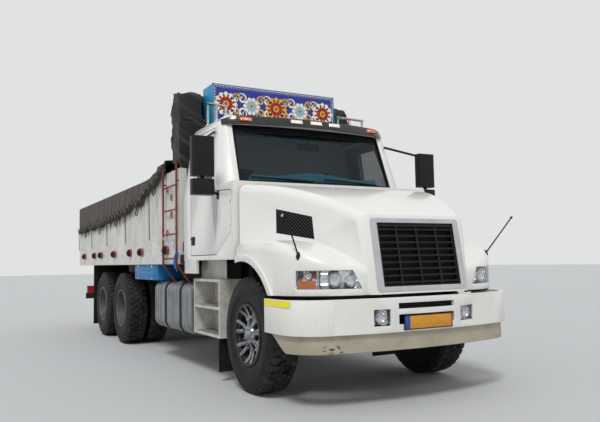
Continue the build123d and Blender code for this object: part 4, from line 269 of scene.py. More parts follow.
bay_black, bay_add, bay_shader = new_material("bay_black")
fill(
    bay_shader,
    Roughness=0.9,
    Base_Color=bay_add("Mix", bay_add("TexNoise", bay_add("TexCoord").outputs["Object"], 8.0, 5.0, 0.55),
                       "#0d0d0e", "#1d1b19", data_type="RGBA"),
)
# Grey trim cloth darkened to near-black: painted shade for the dim inside of the cab
trim_cloth_and_painted_shade = cloth_like("trim_cloth_and_painted_shade", "#111315", "#1d2023", 320)
ARCH_CENTRE = Vector((3.58, 0, 0.57))
ARCH_LINER = 0.722
ARCH_HALF = 1.19
CAB_FRONT_X = 3.37

bonnet_skin = smooth_copy("bonnet", "bonnet", cab_white, 0.004)
lined(bonnet_skin, bay_black, lambda at, normal, covered: normal.y * at.y < 0.5 * abs(at.y) and (
    covered and at.z < 1.9 or normal.z < -0.9
    or math.hypot(at.x - ARCH_CENTRE.x, at.z - ARCH_CENTRE.z) < ARCH_LINER and abs(at.y) < ARCH_HALF))
shell_skin = smooth_copy("cab_shell", "chassis", cab_white, 0.004)
lined(shell_skin, trim_cloth_and_painted_shade, lambda at, normal, covered: covered and at.x < CAB_FRONT_X)
# On the right door a grey streak runs down from the mirror's lower head: the
# mirror's shadow, painted into the door's white as painted shadow.
door_white_and_painted_shadow = white_enamel("door_white_and_painted_shadow", "#ecebe8", "#b5ae9f", 1.7, 0.34, 0.24)
door_add = partial(add_node, door_white_and_painted_shadow.node_tree)
door_shader = door_white_and_painted_shadow.node_tree.nodes["Principled BSDF"]
door_at = door_add("TexCoord").outputs["Object"]
door_axes = door_add("SeparateXYZ", door_at)
# Where the mirror's painted shadow lies on the right door
MIRROR_SHADOW_X = 2.900
MIRROR_SHADOW_TOP = 1.960
MIRROR_SHADOW_FOOT = 1.440
off_middle = door_add("Math", door_axes.outputs["X"], MIRROR_SHADOW_X, operation="SUBTRACT")
aside = door_add("Math", off_middle, operation="ABSOLUTE")
reach = door_add("MapRange", door_axes.outputs["Z"], MIRROR_SHADOW_FOOT, MIRROR_SHADOW_TOP, 0.020, 0.125)
across = door_add("MapRange", door_add("Math", aside, reach, operation="DIVIDE"), 1.0, 0.55)
fading = door_add("MapRange", door_axes.outputs["Z"], MIRROR_SHADOW_FOOT, MIRROR_SHADOW_TOP - 0.25)
thread_at = door_add("Mapping", Vector=door_at, Scale=(40, 40, 2))
threads = door_add("MapRange", door_add("TexNoise", thread_at, 1.0, 5.0, 0.55), 0.3, 0.7, 0.55, 1.0)
# Painted shadow of the mirror: wide and strong near the mirror, narrowing and fading downwards, broken
# into streaks
painted_mirror_shadow = door_add("Math", door_add("Math", across, fading, operation="MULTIPLY"), threads,
                 operation="MULTIPLY")
clean = door_shader.inputs["Base Color"].links[0].from_socket
fill(
    door_shader,
    Base_Color=door_add("Mix", door_add("Math", painted_mirror_shadow, 0.80, operation="MULTIPLY"), clean, "#807d79",
                        data_type="RGBA"),
)
for door_name, side in (("door_left", 1), ("door_right", -1)):
    door_skin = smooth_copy(door_name, door_name, door_white_and_painted_shadow if side < 0 else cab_white, 0.004)
    lined(door_skin, trim_cloth_and_painted_shade, lambda at, normal, covered: normal.y * side < -0.3)
smooth_copy("front_bumper", "chassis", cab_white, 0.006)

# Chassis: rails, cross-members, horns, axles, springs and brackets of rolled and
# forged steel, dipped and brushed in black chassis paint. Road dust has settled
# on it, most of all low down, and it is matt where the paint has weathered.
def dusted(name, paint, dust, amount, roughness, patches=9.0, grain=0.0006, metallic=0.0, gloss=0.5):
    # A painted surface with cloudy road dust and a fine rough grain
    made, add, shader = new_material(name)
    where = add("TexCoord").outputs["Object"]
    cloud = add("MapRange", add("TexNoise", where, patches, 8.0, 0.62), 0.38, 0.72)
    fine = add("MapRange", add("TexNoise", where, 70.0, 5.0, 0.55), 0.3, 0.8)
    share = add("Math", add("Math", cloud, fine, operation="MULTIPLY"), 2.0 * amount,
                operation="MULTIPLY")
    fill(
        shader,
        Base_Color=add("Mix", share, paint, dust, data_type="RGBA"),
        Metallic=metallic,
        Roughness=add("MapRange", share, 0.0, 0.7, roughness, 0.85),
        Specular_IOR_Level=gloss,
        Normal=add("Bump", Height=add("TexNoise", where, 220.0, 3.0, 0.55), Distance=grain),
    )
    return made


def paint_node(material, *names):
    # Gives CAD pieces their finish
    for name in names:
        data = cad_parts[name].data
        data.materials.clear()
        data.materials.append(material)


chassis_black = dusted("chassis_black", "#151516", "#5d564d", 0.4, 0.5, gloss=0.3)
paint_node(chassis_black, "frame", "cross_members", "front_axle", "drive_axles", "leaf_springs",
           "knuckle_left", "knuckle_right", "tie_rod", "underrun_bar", "tank_straps")
engine_iron = dusted("engine_iron", "#3d4245", "#574f45", 0.5, 0.6, 6.0, 0.002)
paint_node(engine_iron, "engine")

# Rivets and bolts along the rails: hot rivets hold the spring hangers, and bolts
# the tank and step brackets. Each is a low round head on the rail's web.
def pour(part, whole):
    # Adds a finished mesh to a larger one
    data = bpy.data.meshes.new("part")
    part.to_mesh(data)
    part.free()
    whole.from_mesh(data)
    bpy.data.meshes.remove(data)


def turned(made, profile, centre, axis, steps=32):
    # A lathe form: points of (distance along the axis, radius), spun full circle
    axis = Vector(axis).normalized()
    outward = axis.orthogonal().normalized()
    form = bmesh.new()
    line = [form.verts.new(Vector(centre) + axis * along + outward * radius)
            for along, radius in profile]
    edges = [form.edges.new(pair) for pair in zip(line, line[1:])]
    bmesh.ops.spin(form, geom=line + edges, cent=centre, axis=axis, angle=2 * math.pi,
                   steps=steps, use_merge=True)
    bmesh.ops.remove_doubles(form, verts=form.verts, dist=0.00001)
    bmesh.ops.recalc_face_normals(form, faces=form.faces)
    pour(form, made)


RIVET_R = 0.011
RIVET_H = 0.007
RAIL_FACE = 0.430
RIVET_GROUPS = (4.40, 2.72, 2.40, 1.63, 1.03, 0.55, -0.20, -0.94, -1.56, -2.31, -2.93, -4.30)
RIVET_ROWS = (0.795, 0.88, 0.965)
rivets = bmesh.new()
for side in (-1, 1):
    for group_x in RIVET_GROUPS:
        for step_x in (-0.045, 0.045):
            for z in RIVET_ROWS:
                turned(rivets, ((0, RIVET_R), (RIVET_H * 0.6, RIVET_R * 0.8), (RIVET_H, 0)),
                       (group_x + step_x, side * RAIL_FACE, z), (0, side, 0), 8)
keep("rail_rivets", rivets, chassis_black, "chassis")

# Brake chambers: pressed steel cans on the axle beams, held by a clamp band, with
# a short push rod to the wheel's slack adjuster.
def block(made, low, high, bevel=0.0):
    # A box between two corners, its edges rounded by the bevel
    corners = bmesh.ops.create_cube(made, size=1.0)["verts"]
    bmesh.ops.scale(made, vec=[b - a for a, b in zip(low, high)], verts=corners)
    bmesh.ops.translate(made, vec=[(a + b) / 2 for a, b in zip(low, high)], verts=corners)
    if bevel:
        edges = list({e for v in corners for e in v.link_edges})
        round_edges(made, edges, bevel, clamped=False)
    return corners


BOGIE_X = {"middle": -1.25, "rear": -2.62}
CHAMBER = ((0, 0), (0, 0.06), (0.02, 0.082), (0.075, 0.085), (0.08, 0.094), (0.10, 0.094),
           (0.105, 0.085), (0.17, 0.08), (0.19, 0.06), (0.19, 0))
CHAMBER_Y = 0.47
CHAMBER_Z = 0.60
chambers = bmesh.new()
for side in (-1, 1):
    for axle_x in BOGIE_X.values():
        y = side * CHAMBER_Y
        turned(chambers, CHAMBER, (axle_x + 0.19, y, CHAMBER_Z), (1, 0, 0), 20)
        block(chambers, (axle_x + 0.05, y - 0.03, 0.57), (axle_x + 0.20, y + 0.03, CHAMBER_Z), 0.004)
keep("brake_chambers", chambers, chassis_black, "chassis")

# Tyres: black rubber with natural grey bloom, moulded with chunky lugs that run
# over the shoulder and a broken centre rib. Dust greys the tread and the foot of
# the sidewall, and the sidewall keeps its moulded rings.
TYRE_AXLE_Z = 0.562
TREAD_PITCHES = 42
TYRE_STEPS = 84
TYRE_HALF = [(0.0, 0.5475), (0.060, 0.5470), (0.118, 0.5440), (0.130, 0.5390), (0.143, 0.5200),
             (0.1475, 0.5050), (0.1530, 0.4700), (0.1545, 0.4660), (0.1565, 0.4620),
             (0.1572, 0.4250), (0.1560, 0.3850), (0.1545, 0.3815), (0.1515, 0.3790),
             (0.1475, 0.3350), (0.1400, 0.3080), (0.1300, 0.2960), (0.1200, 0.2885)]
# Lug corners at the tread's edge and middle: across, radius, and shift round the tyre
SHOULDER_LUG = {"top_out": (0.1255, 0.5560, 0.006), "foot_out": (0.1470, 0.5180, 0.006),
                "top_in": (0.0560, 0.5612, -0.010), "foot_in": (0.0560, 0.5440, -0.010)}
CENTRE_LUG = {"top_out": (0.0455, 0.5614, 0.004), "foot_out": (0.0480, 0.5440, 0.004),
              "top_in": (0.0050, 0.5616, -0.006), "foot_in": (0.0035, 0.5440, -0.006)}
LUG_HALF = 0.0275


def add_lug(made, side, corners, half, turn):
    # One lug from a cube, its corners moved to the tread's section, then turned
    cube = bmesh.ops.create_cube(made, size=1.0)["verts"]
    for corner in cube:
        level = "top" if corner.co.z > 0 else "foot"
        edge = "out" if corner.co.y > 0 else "in"
        across, radius, shift = corners[level + "_" + edge]
        flare = half if level == "top" else half + 0.003
        round_by = (math.copysign(flare, corner.co.x) + shift) / radius
        corner.co = Vector((radius * math.sin(round_by), side * across,
                            radius * math.cos(round_by)))
    bmesh.ops.rotate(made, verts=cube, cent=(0, 0, 0), matrix=Matrix.Rotation(turn, 3, "Y"))
    if side < 0:
        faces = list({f for v in cube for f in v.link_faces})
        bmesh.ops.reverse_faces(made, faces=faces)


tyre = bmesh.new()
ring = [(y, r) for y, r in reversed(TYRE_HALF)] + [(-y, r) for y, r in TYRE_HALF[1:]]
turned(tyre, ring + [ring[0]], (0, 0, 0), (0, 1, 0), TYRE_STEPS)
for pitch in range(TREAD_PITCHES):
    turn = 2 * math.pi * pitch / TREAD_PITCHES
    half_turn = turn + math.pi / TREAD_PITCHES
    for side in (-1, 1):
        add_lug(tyre, side, SHOULDER_LUG, LUG_HALF, turn if side > 0 else half_turn)
        add_lug(tyre, side, CENTRE_LUG, LUG_HALF - 0.004, half_turn if side > 0 else turn)
tyre_data = bpy.data.meshes.new("tyre")
tyre.to_mesh(tyre_data)
tyre.free()
reach = tyre_data.attributes.new("reach", "FLOAT", "POINT")
for vert, value in zip(tyre_data.vertices, reach.data):
    value.value = math.hypot(vert.co.x, vert.co.z)

tyre_rubber, rubber_add, rubber_shader = new_material("tyre_rubber")
rubber_at = rubber_add("TexCoord").outputs["Object"]
rubber_reach = rubber_add("Attribute", attribute_name="reach").outputs["Fac"]
rubber_tread = rubber_add("MapRange", rubber_reach, 0.49, 0.555)
rubber_bead = rubber_add("MapRange", rubber_reach, 0.36, 0.30)
rubber_cloud = rubber_add("MapRange", rubber_add("TexNoise", rubber_at, 14.0, 7.0, 0.55), 0.35, 0.75)
rubber_worn = rubber_add("Math", rubber_tread, rubber_bead, operation="MAXIMUM")
rubber_rubbed = rubber_add("Math", rubber_worn, 0.30, operation="MULTIPLY")
rubber_amount = rubber_add("Math", 0.10, rubber_rubbed, operation="ADD")
rubber_dust = rubber_add("Math", rubber_cloud, rubber_amount, operation="MULTIPLY")
fill(
    rubber_shader,
    Base_Color=rubber_add("Mix", rubber_dust, "#101113", "#6f6962", data_type="RGBA"),
    Roughness=rubber_add("MapRange", rubber_dust, 0.0, 0.4, 0.62, 0.9),
    Normal=rubber_add("Bump", Height=rubber_add("TexNoise", rubber_at, 260.0, 2.0, 0.55),
                      Distance=0.0005),
    Specular_IOR_Level=0.25,
)
SIDES = {"right": -1, "left": 1}
FRONT_AXLE_X = 3.55
FRONT_TYRE_Y = (1.012,)
TWIN_TYRE_Y = (1.086, 0.736)
wheels = []
for side_name, side in SIDES.items():
    end = "front_" + side_name
    wheels.append(("tyre_" + end, "wheel_" + end, FRONT_AXLE_X, side, FRONT_TYRE_Y))
    for axle_name, axle_x in BOGIE_X.items():
        end = "%s_%s" % (axle_name, side_name)
        wheels.append(("tyres_" + end, "wheels_" + end, axle_x, side, TWIN_TYRE_Y))
for node, body, axle_x, side, centres in wheels:
    made = bmesh.new()
    for number, centre in enumerate(centres):
        copy = tyre_data.copy()
        copy.transform(Matrix.Translation((axle_x, side * centre, TYRE_AXLE_Z))
                       @ Matrix.Rotation(0.5 * number + 0.9 * abs(axle_x), 4, "Y"))
        made.from_mesh(copy)
        bpy.data.meshes.remove(copy)
    piece = keep(node + "_tread", made, tyre_rubber, body, 32.0)
    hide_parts(node)
bpy.data.meshes.remove(tyre_data)

# Rear wheels: pressed steel discs in silver-grey enamel, dulled by road film. Ten
# nuts hold each pair of discs to the hub.
rim_silver = dusted("rim_silver", "#63676b", "#423d36", 0.8, 0.42, 7.0, 0.0004, 0.35)
NUT_CIRCLE = 0.168
NUT_COUNT = 10
NUT_R = 0.019
NUT_H = 0.026
STUD_R = 0.0105


def rod(made, start, end, radius, segments=12, end_radius=None):
    # A round bar, or a taper, from one point to another
    start, end = Vector(start), Vector(end)
    along = end - start
    turn = along.to_track_quat("Z", "Y").to_matrix().to_4x4()
    bmesh.ops.create_cone(made, cap_ends=True, segments=segments, radius1=radius,
                          radius2=radius if end_radius is None else end_radius,
                          depth=along.length, matrix=Matrix.Translation((start + end) / 2) @ turn)


def add_nuts(made, axle_x, side, face_y, count, circle, tall):
    # Hexagon nuts on their studs, in a ring on the wheel's disc
    for number in range(count):
        turn = 2 * math.pi * (number + 0.5) / count
        foot = Vector((axle_x + circle * math.cos(turn), side * face_y,
                       TYRE_AXLE_Z + circle * math.sin(turn)))
        out = Vector((0, side, 0))
        rod(made, foot, foot + out * 0.004, NUT_R * 1.25, 16)
        rod(made, foot, foot + out * (0.004 + tall), NUT_R, 6)
        rod(made, foot, foot + out * (0.016 + tall), STUD_R, 8)


REAR_DISC_FACE = 0.919
CAP_FACE = 1.081
CAP_BOLTS = 8
CAP_CIRCLE = 0.072
for side_name, side in SIDES.items():
    for axle_name, axle_x in BOGIE_X.items():
        end = "%s_%s" % (axle_name, side_name)
        paint_node(rim_silver, "rims_" + end)
        nuts = bmesh.new()
        add_nuts(nuts, axle_x, side, REAR_DISC_FACE, NUT_COUNT, NUT_CIRCLE, NUT_H)
        for number in range(CAP_BOLTS):
            turn = 2 * math.pi * number / CAP_BOLTS
            foot = Vector((axle_x + CAP_CIRCLE * math.cos(turn), side * CAP_FACE,
                           TYRE_AXLE_Z + CAP_CIRCLE * math.sin(turn)))
            rod(nuts, foot, foot + Vector((0, side * 0.010, 0)), 0.011, 6)
        keep("wheel_nuts_" + end, nuts, rim_silver, "wheels_" + end)

# Front wheel trims: chromed pressings over the steered wheels, with seven split
# spokes and dark pockets between them. The chrome is scratched and holds brake
# dust in its corners, and the nuts stand bright in the pockets.
trim_chrome, trim_add, trim_shader = new_material("trim_chrome")
trim_at = trim_add("TexCoord").outputs["Object"]
trim_film = trim_add("MapRange", trim_add("TexNoise", trim_at, 30.0, 7.0, 0.65), 0.38, 0.66)
fill(
    trim_shader,
    Base_Color=trim_add("Mix", trim_film, "#a9acb0", "#34322f", data_type="RGBA"),
    Metallic=trim_add("MapRange", trim_film, 0.0, 1.0, 1.0, 0.35),
    Roughness=trim_add("MapRange", trim_film, 0.0, 1.0, 0.16, 0.55),
    Normal=trim_add("Bump", Height=trim_add("TexNoise", trim_at, 60.0, 3.0, 0.55), Distance=0.0006),
)
bright_chrome, bright_add, bright_shader = new_material("bright_chrome")
bright_film = bright_add("MapRange", bright_add("TexNoise", bright_add("TexCoord").outputs["Object"],
                                                40.0, 6.0, 0.55), 0.45, 0.8)
fill(
    bright_shader,
    Base_Color=bright_add("Mix", bright_film, "#d4d6d8", "#8a8781", data_type="RGBA"),
    Metallic=1.0,
    Roughness=bright_add("MapRange", bright_film, 0.0, 1.0, 0.12, 0.4),
)
rim_dark = dusted("rim_dark", "#26272a", "#4c463f", 0.7, 0.45, 9.0, 0.0004, 0.3)
lamp_red_paint = dusted("trim_red", "#7e1f22", "#4a3c36", 0.5, 0.5)

SPOKES = 7
SPOKE_SPLIT = 0.16
SPOKE_STEPS = 8
SPOKE_INNER = 0.075
SPOKE_OUTER = 0.262
TRIM_RING = ((-0.030, 0.270), (-0.004, 0.274), (0.002, 0.280), (0.003, 0.290), (-0.003, 0.297),
             (-0.010, 0.298), (-0.012, 0.292), (-0.006, 0.284), (-0.030, 0.276), (-0.030, 0.270))
TRIM_CAP = ((-0.055, 0.095), (-0.020, 0.092), (-0.010, 0.084), (-0.004, 0.060), (0.008, 0.052),
            (0.014, 0.040), (0.016, 0.022), (0.016, 0.0))
RED_BAND = ((-0.045, 0.262), (-0.012, 0.266), (-0.008, 0.258), (-0.045, 0.250), (-0.045, 0.262))
TRIM_FACE = 1.156
FRONT_DISC_FACE = 1.058
for side_name, side in SIDES.items():
    end = "front_" + side_name
    body = "wheel_" + end
    hub = Vector((FRONT_AXLE_X, side * TRIM_FACE, TYRE_AXLE_Z))
    paint_node(rim_dark, "rim_" + end)
    trim = bmesh.new()
    turned(trim, TRIM_RING, hub, (0, side, 0), 64)
    turned(trim, TRIM_CAP, hub, (0, side, 0), 40)
    for number in range(SPOKES):
        for split in (-1, 1):
            spoke = bmesh.ops.create_grid(trim, x_segments=SPOKE_STEPS, y_segments=4, size=0.5)
            for vert in spoke["verts"]:
                share = vert.co.x + 0.5
                across = vert.co.y * 2
                radius = SPOKE_INNER + (SPOKE_OUTER + 0.014 - SPOKE_INNER) * share
                width = 0.015 + 0.006 * share
                turn = 2 * math.pi * (number + 0.25) / SPOKES + split * SPOKE_SPLIT * (0.35 + share * 0.9)
                dish = -0.020 - 0.030 * math.sin(math.pi * min(share * 1.05, 1.0)) + 0.016 * share ** 3
                crown = 0.010 * (1 - across ** 2)
                flat = Vector((radius * math.cos(turn) - width * across * math.sin(turn), 0,
                               radius * math.sin(turn) + width * across * math.cos(turn)))
                vert.co = hub + flat + Vector((0, side * (dish + crown), 0))
            faces = list({f for v in spoke["verts"] for f in v.link_faces})
            edge = [e for f in faces for e in f.edges if e.is_boundary]
            wall = bmesh.ops.extrude_edge_only(trim, edges=list(set(edge)))
            rim = [v for v in wall["geom"] if isinstance(v, bmesh.types.BMVert)]
            bmesh.ops.translate(trim, verts=rim, vec=(0, -side * 0.016, 0))
    bmesh.ops.recalc_face_normals(trim, faces=trim.faces)
    keep("wheel_trim_" + end, trim, trim_chrome, body, 35.0)

    nuts = bmesh.new()
    add_nuts(nuts, FRONT_AXLE_X, side, FRONT_DISC_FACE, NUT_COUNT, NUT_CIRCLE, NUT_H + 0.02)
    keep("wheel_nuts_" + end, nuts, bright_chrome, body)

    patch = bmesh.new()
    turned(patch, RED_BAND, hub, (0, side, 0), 60)
    away = [f for f in patch.faces if (f.calc_center_median() - hub).z > -0.235]
    bmesh.ops.delete(patch, geom=away, context="FACES")
    bmesh.ops.holes_fill(patch, edges=[e for e in patch.edges if e.is_boundary], sides=0)
    bmesh.ops.recalc_face_normals(patch, faces=patch.faces)
    keep("rim_red_segment_" + end, patch, lamp_red_paint, body)

# Fuel tanks: drawn aluminium shells with rolled seams, hung in black steel straps
# over rubber strips. The metal has gone grey and streaky, with fuel-stained dust.
def streaked(name, light, dark, dirt, metallic, roughness, across=26.0, down=1.6, dirt_share=0.5):
    # A surface with upright streaks and cloudy dirt
    made, add, shader = new_material(name)
    where = add("TexCoord").outputs["Object"]
    drawn = add("Mapping", Vector=where, Scale=(across, across, down))
    streak = add("MapRange", add("TexNoise", drawn, 1.0, 6.0, 0.55), 0.3, 0.7)
    cloud = add("MapRange", add("TexNoise", where, 5.0, 8.0, 0.6), 0.45, 0.8)
    base = add("Mix", streak, light, dark, data_type="RGBA")
    fill(
        shader,
        Base_Color=add("Mix", add("Math", cloud, dirt_share, operation="MULTIPLY"), base, dirt,
                       data_type="RGBA"),
        Metallic=metallic,
        Roughness=add("MapRange", add("Math", streak, cloud, operation="ADD"), 0.0, 2.0, roughness,
                      roughness + 0.3),
        Normal=add("Bump", Height=add("TexNoise", drawn, 3.0, 4.0, 0.55), Distance=0.0006),
    )
    return made


tank_aluminium = streaked("tank_aluminium", "#a3a6a9", "#75787b", "#5b564e", 0.75, 0.36)
strap_rubber = dusted("strap_rubber", "#111112", "#4f4a43", 0.3, 0.7, gloss=0.2)
paint_node(tank_aluminium, "fuel_tanks")
paint_node(strap_rubber, "tank_straps")
TANK_CAP = ((0, 0), (0, 0.052), (0.014, 0.056), (0.030, 0.056), (0.036, 0.050), (0.036, 0.0))
tank_trim = bmesh.new()
for side in (-1, 1):
    # Rolled seams round the tank, each a low bead on its section
    for seam_x in (0.58, 2.02, 1.335, 0.80):
        loop = bmesh.ops.create_cube(tank_trim, size=1.0)["verts"]
        bmesh.ops.scale(tank_trim, vec=(0.012, 0.606, 0.626), verts=loop)
        bmesh.ops.translate(tank_trim, vec=(seam_x, side * 0.890, 0.720), verts=loop)
        long_edges = [e for v in loop for e in v.link_edges
                      if abs(e.verts[0].co.x - e.verts[1].co.x) > 0.005]
        round_edges(tank_trim, list(set(long_edges)), 0.122, 8, clamped=False)
    turned(tank_trim, TANK_CAP, (1.47, side * 1.115, 1.001), (0, side * 0.35, 1), 24)
keep("tank_seams_and_caps", tank_trim, tank_aluminium, "chassis", 35.0)
strap_bolts = bmesh.new()
for side in (-1, 1):
    for strap_x in (1.635, 1.035):
        for step_x in (-0.018, 0.018):
            rod(strap_bolts, (strap_x + step_x, side * 1.196, 0.735),
                (strap_x + step_x, side * 1.204, 0.735), 0.009, 6)
        block(strap_bolts, (strap_x - 0.022, side * 1.197 - 0.004, 0.70),
              (strap_x + 0.022, side * 1.197 + 0.004, 0.77), 0.002)
keep("strap_bolts", strap_bolts, chassis_black, "chassis")

# Air tanks: welded steel cylinders in white enamel, their domed ends rimmed by the
# weld, with a drain plug in the middle.
tank_white = dusted("tank_white", "#d2d2cf", "#7c746a", 0.55, 0.42)
paint_node(rim_dark, "air_tanks")
AIR_RIM = ((-0.002, 0.136), (0.004, 0.137), (0.008, 0.130), (0.006, 0.118), (-0.002, 0.116))
DRAIN_PLUG = ((0, 0.022), (0.016, 0.020), (0.018, 0))
air_rims = bmesh.new()
for side in (-1, 1):
    end_at = (0.315, side * 1.030, 0.800)
    turned(air_rims, AIR_RIM, end_at, (0, side, 0), 40)
    turned(air_rims, DRAIN_PLUG, end_at, (0, side, 0), 8)
keep("air_tank_rims", air_rims, tank_white, "chassis")

# Steps: folded steel boxes in off-white enamel, worn and scuffed by boots. Each
# tread is an aluminium plate with rows of raised, punched holes.
step_cream = dusted("step_cream", "#cfcdc4", "#80776a", 0.65, 0.5, 6.0)
paint_node(step_cream, "steps")
tread_alloy = streaked("tread_alloy", "#a5a7a8", "#85878a", "#6a6359", 0.7, 0.42)
treads = bmesh.new()
HOLE_RING = ((0.0, 0.0095), (0.0035, 0.0085), (0.0035, 0.0060), (-0.0005, 0.0050))
for side in (-1, 1):
    for tread_z in (0.490, 0.785, 1.080):
        block(treads, (2.110, side * 1.165, tread_z), (2.838, side * 0.945, tread_z + 0.003))
        for row in range(4):
            for column in range(15):
                turned(treads, HOLE_RING,
                       (2.150 + 0.0463 * column + 0.0115 * (row % 2), side * (0.985 + 0.048 * row),
                        tread_z + 0.003), (0, 0, 1), 8)
bmesh.ops.recalc_face_normals(treads, faces=treads.faces)
keep("step_treads", treads, tread_alloy, "chassis")
step_edges = bmesh.new()
for side in (-1, 1):
    for lip_z in (0.470, 0.765, 1.060):
        block(step_edges, (2.085, side * 1.172 - 0.003, lip_z - 0.010),
              (2.863, side * 1.172 + 0.003, lip_z + 0.016), 0.0025)
    for bolt_x in (2.10, 2.85):
        for bolt_z in (0.56, 0.66, 0.86, 0.96):
            rod(step_edges, (bolt_x, side * 1.172, bolt_z), (bolt_x, side * 1.178, bolt_z), 0.008, 6)
keep("step_edges", step_edges, step_cream, "chassis")

# Mud flaps: black rubber sheets behind the steps and the last axle, each hung from
# a bare metal strip that is bolted along its top.
paint_node(strap_rubber, "mud_flaps")
flap_strips = bmesh.new()
for side in (-1, 1):
    for flap_x, low_y, high_y, top_z in ((2.828, 0.80, 1.16, 0.455), (-3.392, 0.60, 1.23, 1.225)):
        near, far = sorted((side * low_y, side * high_y))
        block(flap_strips, (flap_x - 0.004, near, top_z - 0.035), (flap_x, far, top_z), 0.001)
        for number in range(5):
            y = near + (far - near) * (number + 0.5) / 5
            rod(flap_strips, (flap_x - 0.010, y, top_z - 0.018), (flap_x - 0.004, y, top_z - 0.018),
                0.009, 6)
keep("flap_strips", flap_strips, tread_alloy, "chassis")

# Toolbox: a folded sheet-steel box in bright blue gloss paint under the body's
# floor. Its drop lid has a raised panel, two hinges and a catch, and it is chipped
# along its edges.
tool_blue = dusted("tool_blue", "#0079b6", "#2c6a90", 0.3, 0.38, 7.0, 0.0003)
smooth_copy("toolbox", "chassis", tool_blue, 0.008)
lid = bmesh.new()
block(lid, (-0.415, -1.221, 1.052), (0.715, -1.214, 1.232), 0.003)
block(lid, (-0.360, -1.225, 1.085), (0.660, -1.220, 1.200), 0.003)
for rib_z in (1.110, 1.175):
    block(lid, (-0.340, -1.229, rib_z - 0.006), (0.640, -1.224, rib_z + 0.006), 0.002)
keep("toolbox_lid", lid, tool_blue, "chassis")
catches = bmesh.new()
for catch_x in (-0.20, 0.50):
    block(catches, (catch_x - 0.025, -1.229, 1.205), (catch_x + 0.025, -1.214, 1.243), 0.003)
    rod(catches, (catch_x - 0.05, -1.222, 1.052), (catch_x + 0.05, -1.222, 1.052), 0.007, 10)
keep("toolbox_catches", catches, bright_chrome, "chassis")

# Rear lamps: red and amber moulded acrylic lenses at both ends of the underrun bar,
# each clipped into a black housing.
def lens(name, colour, glow=0.0):
    # Moulded acrylic over a bright reflector, which lights the colour from inside
    made, add, shader = new_material(name)
    ribs = add("TexWave", Vector=add("TexCoord").outputs["Object"], Scale=40.0,
               bands_direction="Y").outputs["Fac"]
    fill(
        shader,
        Base_Color=colour,
        Roughness=0.12,
        Normal=add("Bump", Height=ribs, Distance=0.0015),
        Coat_Weight=0.6,
        Coat_Roughness=0.05,
        Emission_Color=colour,
        Emission_Strength=glow,
    )
    return made


lens_red = lens("lens_red", "#a3161c", 0.05)
lens_amber = lens("lens_amber", "#d9571b", 0.10)
paint_node(lens_red, "rear_lamps")
amber_corners = bmesh.new()
lamp_frames = bmesh.new()
for side in (-1, 1):
    near, far = sorted((side * 0.99, side * 1.122))
    block(amber_corners, (-4.6955, near, 0.682), (-4.6895, far, 0.808), 0.002)
    near, far = sorted((side * 0.70, side * 1.135))
    for low_z, high_z in ((0.668, 0.678), (0.812, 0.822)):
        block(lamp_frames, (-4.699, near, low_z), (-4.640, far, high_z), 0.003)
keep("amber_corners", amber_corners, lens_amber, "chassis")
keep("rear_lamp_frames", lamp_frames, strap_rubber, "chassis")

# Step wells' back panels: cream sheet steel between the steps' top and the cab floor,
# bolted to the step brackets.
well_panels = bmesh.new()
for side in (-1, 1):
    low_y, high_y = sorted((side * 1.080, side * 1.088))
    block(well_panels, (2.110, low_y, 1.084), (2.868, high_y, 1.316), 0.002)
    for x in (2.160, 2.490, 2.820):
        turned(well_panels, ((0.0, 0.010), (0.005, 0.010), (0.007, 0.0)), (x, side * 1.088, 1.120),
               (0, side, 0), 12)
keep("step_panels", well_panels, step_cream, "chassis")

# Grille: black moulded bars in a surround, both clipped to the bonnet's nose, with a
# black insect screen behind. The surround is painted a satin silver-grey: the bonnet's
# white as it looks in shade, as painted shade. The mesh panels of the side intakes are
# of the same black nylon, pressed with a fine diagonal weave.
black_nylon = dusted("black_nylon", "#0b0c0e", "#4b4945", 0.12, 0.42, 6.0, 0.0003, gloss=0.28)
# Satin silver-grey: on the grille surround it is painted shade, the bonnet's white as it looks in shade;
# the lamp dividers use it too
satin_silver_and_painted_shade = dusted("satin_silver_and_painted_shade", "#c3c6c9", "#8f8c86", 0.35, 0.34, 6.0, 0.0002, 0.45)
intake_mesh, mesh_add, mesh_shader = new_material("intake_mesh")
mesh_at = mesh_add("Mapping", Vector=mesh_add("TexCoord").outputs["Object"],
                   Rotation=(0, math.radians(45), 0))
MESH_BANDS = 13.0
mesh_wires = mesh_add("TexWave", Vector=mesh_at, Scale=MESH_BANDS, bands_direction="X").outputs["Fac"]
fill(
    mesh_shader,
    Base_Color=mesh_add("Mix", mesh_add("MapRange", mesh_wires, 0.84, 0.98), "#040405", "#4a4b4e",
                        data_type="RGBA"),
    Roughness=0.6,
    Specular_IOR_Level=0.12,
    Normal=mesh_add("Bump", Height=mesh_wires, Distance=0.004),
)
GRILLE_INNER_Y = 0.4335
GRILLE_INNER_Z = (1.0155, 1.5755)
grille_skin = smooth_copy("grille", "bonnet", black_nylon, 0.002)
grille_skin.data.materials.append(satin_silver_and_painted_shade)
grille_skin.data.materials.append(intake_mesh)
for face in grille_skin.data.polygons:
    spots = [grille_skin.data.vertices[number].co for number in face.vertices]
    outside = [max(abs(at.y) - GRILLE_INNER_Y, GRILLE_INNER_Z[0] - at.z, at.z - GRILLE_INNER_Z[1])
               for at in spots]
    if abs(face.center.y) > 0.6:
        face.material_index = 2
    # The surround's faces take the silver-grey painted shade
    elif min(outside) > -0.004 and max(outside) > 0.004 and min(at.x for at in spots) > 4.66:
        face.material_index = 1
NOSE_FOOT = Vector((4.745, 0, 0.965))
NOSE_LEAN = 0.168
screen = bmesh.new()
corners = block(screen, (0, -0.44, 1.008), (0.006, 0.44, 1.584))
for corner in corners:
    corner.co.x += NOSE_FOOT.x - NOSE_LEAN * (corner.co.z - NOSE_FOOT.z)
keep("grille_screen", screen, bay_black, "bonnet")

